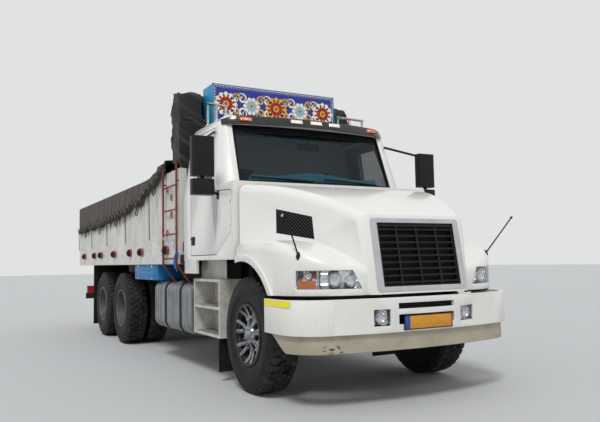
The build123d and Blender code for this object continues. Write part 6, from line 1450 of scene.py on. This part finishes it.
for low, high in (((-0.860, BOARD_Z[0] + 0.008), (0.860, BOARD_Z[0] + 0.014)),
                  ((-0.860, BOARD_Z[1] - 0.014), (0.860, BOARD_Z[1] - 0.008)),
                  ((-0.860, BOARD_Z[0] + 0.008), (-0.854, BOARD_Z[1] - 0.008)),
                  ((0.854, BOARD_Z[0] + 0.008), (0.860, BOARD_Z[1] - 0.008))):
    dab("cream", 1, (low, (high[0], low[1]), high, (low[0], high[1])))
for paint_name, (paint, made) in paints.items():
    keep("board_" + paint_name, made, paint, "chassis")
edging = bmesh.new()
four_strips(edging, (1.944, 1.958), 0.880, (2.990, 3.480), 0.012, 0.010, 0.002)
keep("board_edging", edging, crown_blue, "chassis")

# Body shell: pressed steel side walls, headboard and rear doors in a flat white,
# brushed on and weathered. Grime runs down from the tarpaulin, rust creeps from the
# foot of the walls and the ribs' edges, and the floor rail is dusty.
def body_white(name, paint, top_z, foot_z, hem_rust=0.0):
    # White with grime from above and rust from below; the hem's rust is outside only
    made, add, shader = new_material(name)
    where = add("TexCoord").outputs["Object"]
    height = add("SeparateXYZ", where).outputs["Z"]
    drawn = add("Mapping", Vector=where, Scale=(22, 22, 1.3))
    runs = add("MapRange", add("TexNoise", drawn, 1.0, 7.0, 0.6), 0.48, 0.72)
    near_top = add("MapRange", height, foot_z, top_z, 0.12, 0.85)
    cloud = add("MapRange", add("TexNoise", where, 3.0, 8.0, 0.6), 0.35, 0.75)
    grime = add("Math", runs, near_top, operation="MULTIPLY")
    rust_at = add("MapRange", add("TexNoise", where, 11.0, 9.0, 0.68), 0.60, 0.66)
    near_foot = add("MapRange", height, foot_z + 0.22, foot_z - 0.02, 0.10, 1.0)
    rust = add("Math", rust_at, near_foot, operation="MULTIPLY")
    dulled = add("Mix", add("Math", cloud, 0.55, operation="MULTIPLY"), paint, "#b7b1a4",
                 data_type="RGBA")
    axes = add("SeparateXYZ", Vector=where)
    along = axes.outputs["X"]
    outer = add("MapRange", add("Math", axes.outputs["Y"], operation="ABSOLUTE"), 1.205, 1.230)
    rise = add("Math", add("MapRange", along, -1.50, 1.37), 1.6, operation="POWER")
    hem_line = add("Math", add("MapRange", along, -4.83, 1.37, 1.90, 1.962),
                   add("Math", rise, 0.42, operation="MULTIPLY"), operation="ADD")
    below = add("Math", hem_line, height, operation="SUBTRACT")
    dripping = add("Math", below, add("Math", runs, 0.10, operation="MULTIPLY"), operation="SUBTRACT")
    weeping = add("Math", add("MapRange", dripping, 0.075, -0.02, 0.0, 0.85),
                  add("MapRange", add("TexNoise", where, 5.0, 8.0, 0.6), 0.36, 0.52, 0.25, 1.0),
                  operation="MULTIPLY")
    weeping = add("Math", weeping, add("MapRange", along, 0.60, 0.0, 0.0, hem_rust), operation="MULTIPLY")
    weeping = add("Math", weeping, add("MapRange", below, -0.16, -0.08), operation="MULTIPLY")
    weeping = add("Math", weeping, outer, operation="MULTIPLY")
    base = add("Mix", weeping, add("Mix", grime, dulled, "#7d7468", data_type="RGBA"), "#6a4a33",
               data_type="RGBA")
    fill(
        shader,
        Base_Color=add("Mix", rust, base, "#7a4527", data_type="RGBA"),
        Roughness=add("MapRange", add("Math", grime, rust, operation="ADD"), 0.0, 1.0, 0.42, 0.8),
        Normal=add("Bump", Height=add("Math", add("TexNoise", where, 26.0, 4.0, 0.55),
                                      add("Math", rust, 1.5, operation="MULTIPLY"), operation="ADD"),
                   Distance=0.0009),
    )
    return made


wall_white = body_white("wall_white", "#dfe0dd", 2.35, 1.38)
side_white = body_white("side_white", "#dfe0dd", 2.35, 1.38, 1.0)
rail_white = body_white("rail_white", "#dcdcd8", 2.35, 1.30)
smooth_copy("side_walls", "chassis", side_white, 0.003, 1)
smooth_copy("headboard", "chassis", wall_white, 0.003, 1)
floor_skin = smooth_copy("load_floor", "chassis", rail_white, 0.003, 1)
bed_black = dusted("bed_black", "#201f1e", "#5d564c", 0.5, 0.7, 6.0, 0.0008)
floor_skin.data.materials.append(bed_black)
for face in floor_skin.data.polygons:
    # The rails along the sides and tail are white, and the bearers under them black
    if face.center.z < 1.245 or abs(face.center.y) < 1.165 and face.center.x > -4.80:
        face.material_index = 1

# Rear doors: leaves of pressed steel, white like the walls. Each has two upright
# lock rods of bare steel in brackets, and each rod its lever handle and catch.
lock_steel = streaked("lock_steel", "#77797c", "#55575a", "#6b4a34", 0.7, 0.42)
LOCK_X = -4.852
LOCK_RODS = (0.130, 0.640)
BRACKET_ROWS = (1.410, 1.640, 1.900, 2.160, 2.370)
for door_name, side in SIDES.items():
    smooth_copy("rear_door_" + door_name, "rear_door_" + door_name, wall_white, 0.003, 1)
    lock = bmesh.new()
    for rod_y in LOCK_RODS:
        y = side * rod_y
        rod(lock, (LOCK_X, y, 1.400), (LOCK_X, y, 2.390), 0.011, 12)
        for z in BRACKET_ROWS:
            block(lock, (LOCK_X, y - 0.026, z - 0.016), (-4.839, y + 0.026, z + 0.016), 0.003)
        block(lock, (-4.880, y - 0.007, 1.735), (-4.855, y + 0.007, 1.750), 0.002)
        ends = sorted((y, side * (rod_y + 0.170)))
        block(lock, (-4.876, ends[0] - 0.007, 1.732), (-4.868, ends[1] + 0.007, 1.753), 0.003)
        catch_y = side * (rod_y + 0.150)
        block(lock, (-4.866, catch_y - 0.012, 1.700), (-4.841, catch_y + 0.012, 1.730), 0.003)
    keep("rear_lock_" + door_name, lock, lock_steel, "rear_door_" + door_name)

# Wall hooks: rope hooks of bent bar on the ribs, painted with the walls, and the
# ring hooks by the ladder in orange-red.
hook_red = dusted("hook_red", "#96341f", "#5d3a2b", 0.5, 0.6, 30.0, 0.0008)
RIB_PITCH = 0.330
FIRST_RIB = -4.660
RING_R = 0.034
RING_AT = ((1.500, 1.860), (1.500, 2.080), (1.330, 1.640), (1.330, 2.200))
hooks = bmesh.new()
rings = bmesh.new()


def hook(made, x, side, z, size=0.034):
    # A bar hook that stands off the wall and turns up
    face = side * WALL_FACE
    spots = [(x, face, z + size), (x, face + side * size * 0.5, z + size * 0.3),
             (x, face + side * size * 0.9, z), (x, face + side * size * 1.4, z + size * 0.2),
             (x, face + side * size * 1.5, z + size * 0.9)]
    for start, end in zip(spots, spots[1:]):
        rod(made, start, end, 0.006, 8)
    block(made, (x - 0.014, min(face, face + side * 0.004), z + size * 0.4),
          (x + 0.014, max(face, face + side * 0.004), z + size * 1.7), 0.001)


HOOK_X = [FIRST_RIB + 2 * RIB_PITCH * number for number in range(10)]
for x in HOOK_X:
    for side in (-1, 1):
        hook(hooks, x, side, 1.560)
keep("rope_hooks", hooks, wall_white, "chassis")
for x, z in RING_AT:
    eye = [(math.cos(2 * math.pi * n / 20) * RING_R, math.sin(2 * math.pi * n / 20) * RING_R)
           for n in range(21)]
    for (a, b), (c, d) in zip(eye, eye[1:]):
        rod(rings, (x + a, -1.262, z + b), (x + c, -1.262, z + d), 0.0055, 8)
    rod(rings, (x, -WALL_FACE, z + 0.040), (x, -1.266, z + 0.034), 0.009, 10)
keep("ring_hooks", rings, hook_red, "chassis")

# Ladder: welded steel tube in red-brown enamel, rusting at the welds, with a strip
# of blue rag knotted round its front foot.
ladder_red = streaked("ladder_red", "#8e3423", "#6e2a1d", "#4a2a1e", 0.0, 0.5, 14.0, 3.0, 0.6)
smooth_copy("ladder", "chassis", ladder_red)
welds = bmesh.new()
for x in (1.760, 1.215):
    for z in (1.430, 1.690, 1.950, 2.210):
        turned(welds, ((-0.012, 0.013), (0.0, 0.018), (0.012, 0.013)), (x, -1.280, z), (0, 0, 1), 12)
keep("ladder_welds", welds, ladder_red, "chassis")
rag_blue = cloth_like("rag_blue", "#163f8f", "#2c62b8", 300, 0.95, 0.4, 1.0)
rag = bmesh.new()
for number, (low, high) in enumerate(((1.330, 1.352), (1.350, 1.371), (1.368, 1.388))):
    turned(rag, ((0.0, 0.0185), (0.006, 0.0215 + 0.001 * number), ((high - low) * 0.6, 0.022),
                 (high - low, 0.0185)), (1.760, -1.280, low), (0.04, 0.02, 1), 18)
keep("rag_wraps", rag, rag_blue, "chassis", 60.0)
RAG_TAIL = (0.046, 0.190)
tails = bmesh.new()
for lean, foot in ((0.35, 1.165), (-0.10, 1.195)):
    rows = []
    for down in range(11):
        t = down / 10
        z = 1.360 - (1.360 - foot) * t
        middle = (1.772 + lean * 0.16 * t, -1.305 - 0.010 * math.sin(t * 4.0))
        row = []
        for across in range(5):
            s = across / 4 - 0.5
            row.append(tails.verts.new((middle[0] + s * RAG_TAIL[0] * (0.5 + 0.5 * t),
                                        middle[1] - 0.006 * math.cos(s * 9.0 + t * 3.0), z)))
        rows.append(row)
    weave(tails, rows)
bmesh.ops.solidify(tails, geom=tails.faces[:], thickness=0.0012)
tail_piece = keep("rag_tails", tails, rag_blue, "chassis", 60.0)

# Junction box: a black moulded nylon box, screwed to the cab's rear corner. Two
# cable glands are let into its underside.
junction = bmesh.new()
block(junction, (1.868, -1.215, 1.400), (1.880, -1.115, 1.520), 0.004)
block(junction, (1.800, -1.215, 1.400), (1.868, -1.115, 1.520), 0.008)
for y in (-1.190, -1.140):
    turned(junction, ((-0.018, 0.0), (-0.018, 0.010), (0.0, 0.012)), (1.835, y, 1.400), (0, 0, 1), 12)
keep("junction_box", junction, black_nylon, "chassis")

# Tarpaulin: one sheet of waxed canvas over the bows, dark brown and dusty. Its
# lower hem is gathered into a blackened band, and towards the headboard it is
# pulled up into long folds. The folds are worked out by formula.
canvas = cloth_like("canvas", "#3a3230", "#4a403c", 240, 0.85, 0.06, 1.2)
HEM_AT = ((-4.830, 1.885), (-2.690, 1.927), (-1.150, 1.990), (-0.040, 2.090), (0.740, 2.260),
          (1.370, 2.410))
CANVAS_X = (-4.830, 1.372)
CANVAS_Y = 1.2560
SHOULDER_Z = 2.440
CROWN_RISE = 0.045
CANVAS_STEPS = (248, 30, 26)
TIE_PITCH = 2 * RIB_PITCH
CANVAS_T = 0.004


def hem_height(x):
    # The hem's height along the wall: the tied line, with a scallop between ties
    x = min(x, HEM_AT[-1][0])
    for (x0, z0), (x1, z1) in zip(HEM_AT, HEM_AT[1:]):
        if x <= x1:
            t = (x - x0) / (x1 - x0)
            base = z0 + (z1 - z0) * (t * t * (3 - 2 * t) * 0.35 + t * 0.65)
            break
    scallop = abs(math.sin(math.pi * (x - FIRST_RIB) / TIE_PITCH))
    return base + 0.026 * scallop - 0.012 * math.sin(7.3 * x + 1.0)


def front_pull(x):
    # How far the sheet is drawn up towards the headboard, from none to all
    t = ramp(x, 0.35, 1.0)
    return t * t * (3 - 2 * t)


def folds(x, down, side):
    # The folds' depth at a place so far below the shoulder, as a share
    lean = 0.9 if x > -0.4 else 0.25
    phase = 19.0 * (x + lean * down * side * 0.2) + 1.6 * math.sin(3.1 * x + side) + 5.0 * down
    fine = math.sin(47.0 * x + 2.3 * math.sin(5.0 * x) + 7.0 * down)
    return 0.5 + 0.36 * math.sin(phase) + 0.14 * fine


sheet_mesh = bmesh.new()
above_hem = sheet_mesh.verts.layers.float.new("above_hem")
# Fold height at each point, kept to paint shade into the folds' hollows
sheet_painted_fold_shade = sheet_mesh.verts.layers.float.new("painted_fold_shade")
rows = []
for along in range(CANVAS_STEPS[0] + 1):
    x = CANVAS_X[0] + (CANVAS_X[1] - CANVAS_X[0]) * along / CANVAS_STEPS[0]
    pull = front_pull(x)
    hem = hem_height(x)
    shoulder = SHOULDER_Z + 0.13 * pull
    bow_sag = 0.026 * math.sin(math.pi * (x + 4.550)) ** 2
    spots = []
    for side in (-1, 1):
        half = []
        for step in range(CANVAS_STEPS[1]):
            t = step / CANVAS_STEPS[1]
            z = hem + (shoulder - hem) * t
            down = shoulder - z
            slack = 0.004 + 0.016 * min(1.0, down / 0.35) ** 1.3 + 0.044 * pull
            gathered = 0.012 * math.exp(-((z - hem - 0.075) / 0.05) ** 2)
            out = CANVAS_Y + slack * folds(x, down, side) + gathered * (1 + math.sin(95.0 * x)) * 0.8
            out -= 0.006 * math.exp(-((z - hem - 0.020) / 0.02) ** 2) * 0.5
            half.append(((x, side * out, z), z - hem, folds(x, down, side)))
        spots.append(half)
    top = []
    for step in range(CANVAS_STEPS[2] + 1):
        s = 2 * step / CANVAS_STEPS[2] - 1
        ripple = 0.004 * math.sin(13.0 * x + 9.0 * s) + (0.020 * math.sin(24 * s + 5 * x) * pull)
        z = shoulder + CROWN_RISE * (1 - s * s) ** 0.6 - bow_sag * (1 - s ** 4) + ripple * (1 - s ** 4)
        y = (CANVAS_Y + 0.004 * folds(x, 0, 1)) * s
        top.append(((x, y, z), 0.6, 0.55 + 0.45 * math.sin(24 * s + 5 * x) * pull))
    ring = spots[0] + top + spots[1][::-1]
    row = []
    for place_at, over, raised in ring:
        vert = sheet_mesh.verts.new(place_at)
        vert[above_hem] = over
        vert[sheet_painted_fold_shade] = raised
        row.append(vert)
    rows.append(row)
for first, second in zip(rows, rows[1:]):
    for at in range(len(first) - 1):
        sheet_mesh.faces.new((first[at], second[at], second[at + 1], first[at + 1]))
bmesh.ops.recalc_face_normals(sheet_mesh, faces=sheet_mesh.faces)
if sum(f.normal.z for f in sheet_mesh.faces) < 0:
    bmesh.ops.reverse_faces(sheet_mesh, faces=sheet_mesh.faces)
for clear_of_hem in (0.2, 0.3):
    eased = [v for v in sheet_mesh.verts
             if v[above_hem] > clear_of_hem and CANVAS_X[0] < v.co.x < CANVAS_X[1]]
    bmesh.ops.smooth_vert(sheet_mesh, verts=eased, factor=0.5, use_axis_y=True, use_axis_z=True)
bmesh.ops.solidify(sheet_mesh, geom=sheet_mesh.faces[:], thickness=-CANVAS_T)
canvas_add = partial(add_node, canvas.node_tree)
canvas_shader = canvas.node_tree.nodes["Principled BSDF"]
hem_share = canvas_add("MapRange", canvas_add("Attribute", attribute_name="above_hem").outputs["Fac"],
                       0.16, 0.10)
canvas_dust = canvas_add("MapRange", canvas_add("TexNoise", canvas_add("TexCoord").outputs["Object"], 1.4,
                                                9.0, 0.62), 0.42, 0.72)
woven = canvas_shader.inputs["Base Color"].links[0].from_socket
worn = canvas_add("Mix", canvas_add("Math", canvas_dust, 0.35, operation="MULTIPLY"), woven, "#655a53",
                  data_type="RGBA")
# Painted shade: the canvas is darkened in the hollows of its folds
canvas_painted_fold_shade = canvas_add("Attribute", attribute_name="painted_fold_shade").outputs["Fac"]
shaded = canvas_add("Mix", canvas_add("MapRange", canvas_painted_fold_shade, 0.50, 0.08, 0.0, 0.45), worn, "#1c1817",
                    data_type="RGBA")
fill(canvas_shader, Base_Color=canvas_add("Mix", hem_share, shaded, "#141211", data_type="RGBA"))
canvas_piece = keep("canvas_sheet", sheet_mesh, canvas, "chassis", 60.0)
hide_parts("tarpaulin")

# Ropes of the tarpaulin: a laid hemp rope laced through the hem's eyelets, and ties
# pulled taut from the hem to the wall hooks, with spare loops left hanging.
hemp = cloth_like("hemp", "#544c41", "#7d715f", 900, 0.95, 0.2, 0.3)
black_rope = cloth_like("black_rope", "#191817", "#3a3632", 900, 0.9, 0.2, 0.3)
lacing = bmesh.new()
ties = bmesh.new()
LACE_STEP = 0.110
LACE_OUT = 0.046
LACE_END = 1.20
KNOT = ((-0.014, 0.0), (-0.010, 0.014), (0.008, 0.015), (0.014, 0.0))
for side in (-1, 1):
    x = CANVAS_X[0] + 0.03
    number = 0
    last = None
    while x < LACE_END:
        z = hem_height(x) + (0.030 if number % 2 else 0.112)
        spot = (x, side * (CANVAS_Y + LACE_OUT), z)
        if last:
            rod(lacing, last, spot, 0.0065, 7)
        last = spot
        x += LACE_STEP
        number += 1
    for at in HOOK_X[::2]:
        if at < LACE_END:
            hem = hem_height(at)
            eyelet = (at, side * (CANVAS_Y + 0.044), hem + 0.020)
            catch = (at + 0.004, side * 1.292, 1.575)
            rod(ties, eyelet, catch, 0.006, 7)
            turned(ties, KNOT, eyelet, (0, side, 0), 12)
keep("hem_lacing", lacing, hemp, "chassis")
keep("wall_ties", ties, black_rope, "chassis")
LOOP_DROP = 0.155
LOOP_AT = (-3.90, -2.60, -1.30, -0.02, 0.30, 0.86)
LOOP_STEPS = 14
for number, at in enumerate(LOOP_AT):
    for side_name, side in SIDES.items():
        hem = hem_height(at)
        loop = bmesh.new()
        spots = []
        for step in range(LOOP_STEPS + 1):
            t = step / LOOP_STEPS
            low = math.sin(math.pi * t)
            x = at + 0.062 * math.sin(math.pi * (2 * t - 1)) * (0.5 + 0.5 * low) + 0.05 * (t - 0.5)
            spots.append((x, side * (CANVAS_Y + 0.028 + 0.022 * low), hem + 0.030 - LOOP_DROP * low))
        for start, end in zip(spots, spots[1:]):
            rod(loop, start, end, 0.007, 8)
        loop_piece = keep("spare_loop_%s_%d" % (side_name, number), loop, black_rope, "chassis")

# Rolled tarpaulin: a second, near-black canvas folded up and stood behind the
# headboard, drawn in by a rope low down. Its long folds droop towards the rope.
roll_canvas = cloth_like("roll_canvas", "#0f0f10", "#1c1b1a", 240, 0.72, 0.05, 1.5)
roll_add = partial(add_node, roll_canvas.node_tree)
roll_shader = roll_canvas.node_tree.nodes["Principled BSDF"]
roll_woven = roll_shader.inputs["Base Color"].links[0].from_socket
roll_painted_fold_shade = roll_add("Attribute", attribute_name="painted_fold_shade").outputs["Fac"]
# Painted highlights on the ridges of the folds, and painted shade in their hollows
roll_lit = roll_add("Mix", roll_add("MapRange", roll_painted_fold_shade, 0.60, 0.98, 0.0, 0.8), roll_woven, "#423d39",
                    data_type="RGBA")
fill(
    roll_shader,
    Base_Color=roll_add("Mix", roll_add("MapRange", roll_painted_fold_shade, 0.45, 0.10, 0.0, 0.9), roll_lit,
                        "#070707", data_type="RGBA"),
)
ROLL_Z = (2.484, 3.416)
ROLL_BACK = 1.404
ROLL_FRONT_LOW = 1.641
ROLL_FRONT_HIGH = 1.776
ROLL_FRONT_BOX = 1.612
HEADBOARD_HALF = 1.203
HEADBOARD_TOP = 2.955
ROLL_STEPS = (118, 84)
ROLL_WAIST = (2.600, 0.030)


def roll_front(y, z):
    # How far forward the roll may reach: behind the headboard, round its end, over it,
    # or behind the crown box
    if abs(y) > HEADBOARD_HALF:
        return ROLL_FRONT_HIGH
    if z <= HEADBOARD_TOP:
        return ROLL_FRONT_LOW - 0.002
    high = ROLL_FRONT_BOX + (ROLL_FRONT_HIGH - ROLL_FRONT_BOX) * ramp(abs(y), 0.885, 0.05)
    return ROLL_FRONT_LOW + (high - ROLL_FRONT_LOW) * ramp(z, HEADBOARD_TOP, 0.05)


ROLL_CAP = [(1.206, 1.000), (1.218, 0.997), (1.232, 0.988), (1.242, 0.966), (1.247, 0.925)]
ROLL_CAP += [(1.249, shrink) for shrink in (0.860, 0.780, 0.690, 0.590, 0.480, 0.360, 0.230, 0.090)]
roll = bmesh.new()
loops = []
stations = [(1.200 * (2 * n / ROLL_STEPS[0] - 1), 1.0) for n in range(ROLL_STEPS[0] + 1)]
stations = [(-y, s) for y, s in reversed(ROLL_CAP)] + stations + ROLL_CAP
for y, shrink in stations:
    loop = []
    for around in range(ROLL_STEPS[1]):
        turn = 2 * math.pi * around / ROLL_STEPS[1]
        a, b = math.cos(turn), math.sin(turn)
        size = (abs(a) ** 4.4 + abs(b) ** 4.4) ** (1 / 4.4)
        z_mid, z_half = (ROLL_Z[0] + ROLL_Z[1]) / 2, (ROLL_Z[1] - ROLL_Z[0]) / 2
        z = z_mid + z_half * b / size * shrink
        front = roll_front(y, z)
        slant = 0.045 * max(0.0, (z - 3.18) / 0.24) ** 1.5
        back_x = ROLL_BACK + slant
        x_mid, x_half = (front + back_x) / 2, (front - back_x) / 2
        loop.append(roll.verts.new((x_mid + x_half * a / size * shrink, y, z)))
    loops.append(loop)
for first, second in zip(loops, loops[1:]):
    for at in range(ROLL_STEPS[1]):
        after = (at + 1) % ROLL_STEPS[1]
        roll.faces.new((first[at], first[after], second[after], second[at]))
for end in (loops[0], loops[-1]):
    roll.faces.new(end)


def crumple(made):
    # Slanting folds, long and short, drawn in at the rope; thin places move less
    painted_fold_shade = made.verts.layers.float.new("painted_fold_shade")
    bmesh.ops.recalc_face_normals(made, faces=made.faces)
    made.normal_update()
    moved = []
    for vert in made.verts:
        x, y, z = vert.co
        wave = math.sin(16.5 * x + 24.0 * z - 15.0 * abs(y) + 2.0 * math.sin(2.3 * y + 4.0 * z))
        small = math.sin(41.0 * x + 58.0 * z - 40.0 * abs(y) + 1.5 * math.sin(9.0 * y))
        at_end = ramp(abs(y), 1.195, 0.03)
        thin = 1.0 if x > 1.69 else at_end * ramp(x, 1.53, 0.08)
        thin *= ramp(3.06 - z, 0.0, 0.06)
        depth = (0.012 * (1 + wave) + 0.007 * (1 + small)) * (1.0 - 0.1 * at_end)
        waist = 0.016 * math.exp(-((z - ROLL_WAIST[0]) / ROLL_WAIST[1]) ** 2)
        # Fold height kept for the painted shade and painted highlights of the canvas
        vert[painted_fold_shade] = 1.0 - (0.26 * (1 + wave) + 0.24 * (1 + small))
        moved.append(vert.co - vert.normal * (depth + waist) * (1.0 - 0.70 * thin))
    for vert, spot in zip(made.verts, moved):
        vert.co = spot


crumple(roll)
roll_piece = keep("canvas_roll", roll, roll_canvas, "chassis", 70.0)
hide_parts("tarp_bundle")
# Its two ends lap round in front of the headboard
LAP_MIDDLE = (1.737, 1.040, 2.745)
LAP_HALF = (0.038, 0.209, 0.320)
for side_name, side in SIDES.items():
    lap = bmesh.new()
    bmesh.ops.create_cube(lap, size=2.0)
    bmesh.ops.subdivide_edges(lap, edges=lap.edges[:], cuts=26, use_grid_fill=True)
    for vert in lap.verts:
        size = sum(abs(part) ** 7 for part in vert.co) ** (1 / 7)
        vert.co = [middle * (side if axis == 1 else 1) + half * part / size for axis, (middle, half, part)
                   in enumerate(zip(LAP_MIDDLE, LAP_HALF, vert.co))]
    crumple(lap)
    lap_piece = keep("roll_lap_" + side_name, lap, roll_canvas, "chassis", 70.0)
waist_rope = bmesh.new()
WAIST_X = (1.424, 1.622)
WAIST_Y = 1.204
corner = [(WAIST_X[0], -WAIST_Y), (WAIST_X[1], -WAIST_Y), (WAIST_X[1], WAIST_Y), (WAIST_X[0], WAIST_Y)]
for (x0, y0), (x1, y1) in zip(corner, corner[1:] + corner[:1]):
    rod(waist_rope, (x0, y0, ROLL_WAIST[0]), (x1, y1, ROLL_WAIST[0]), 0.011, 10)
for x, y in corner:
    turned(waist_rope, ((-0.011, 0.0), (-0.009, 0.007), (0.0, 0.011), (0.009, 0.007), (0.011, 0.0)),
           (x, y, ROLL_WAIST[0]), (0, 0, 1), 12)
keep("roll_rope", waist_rope, hemp, "chassis")
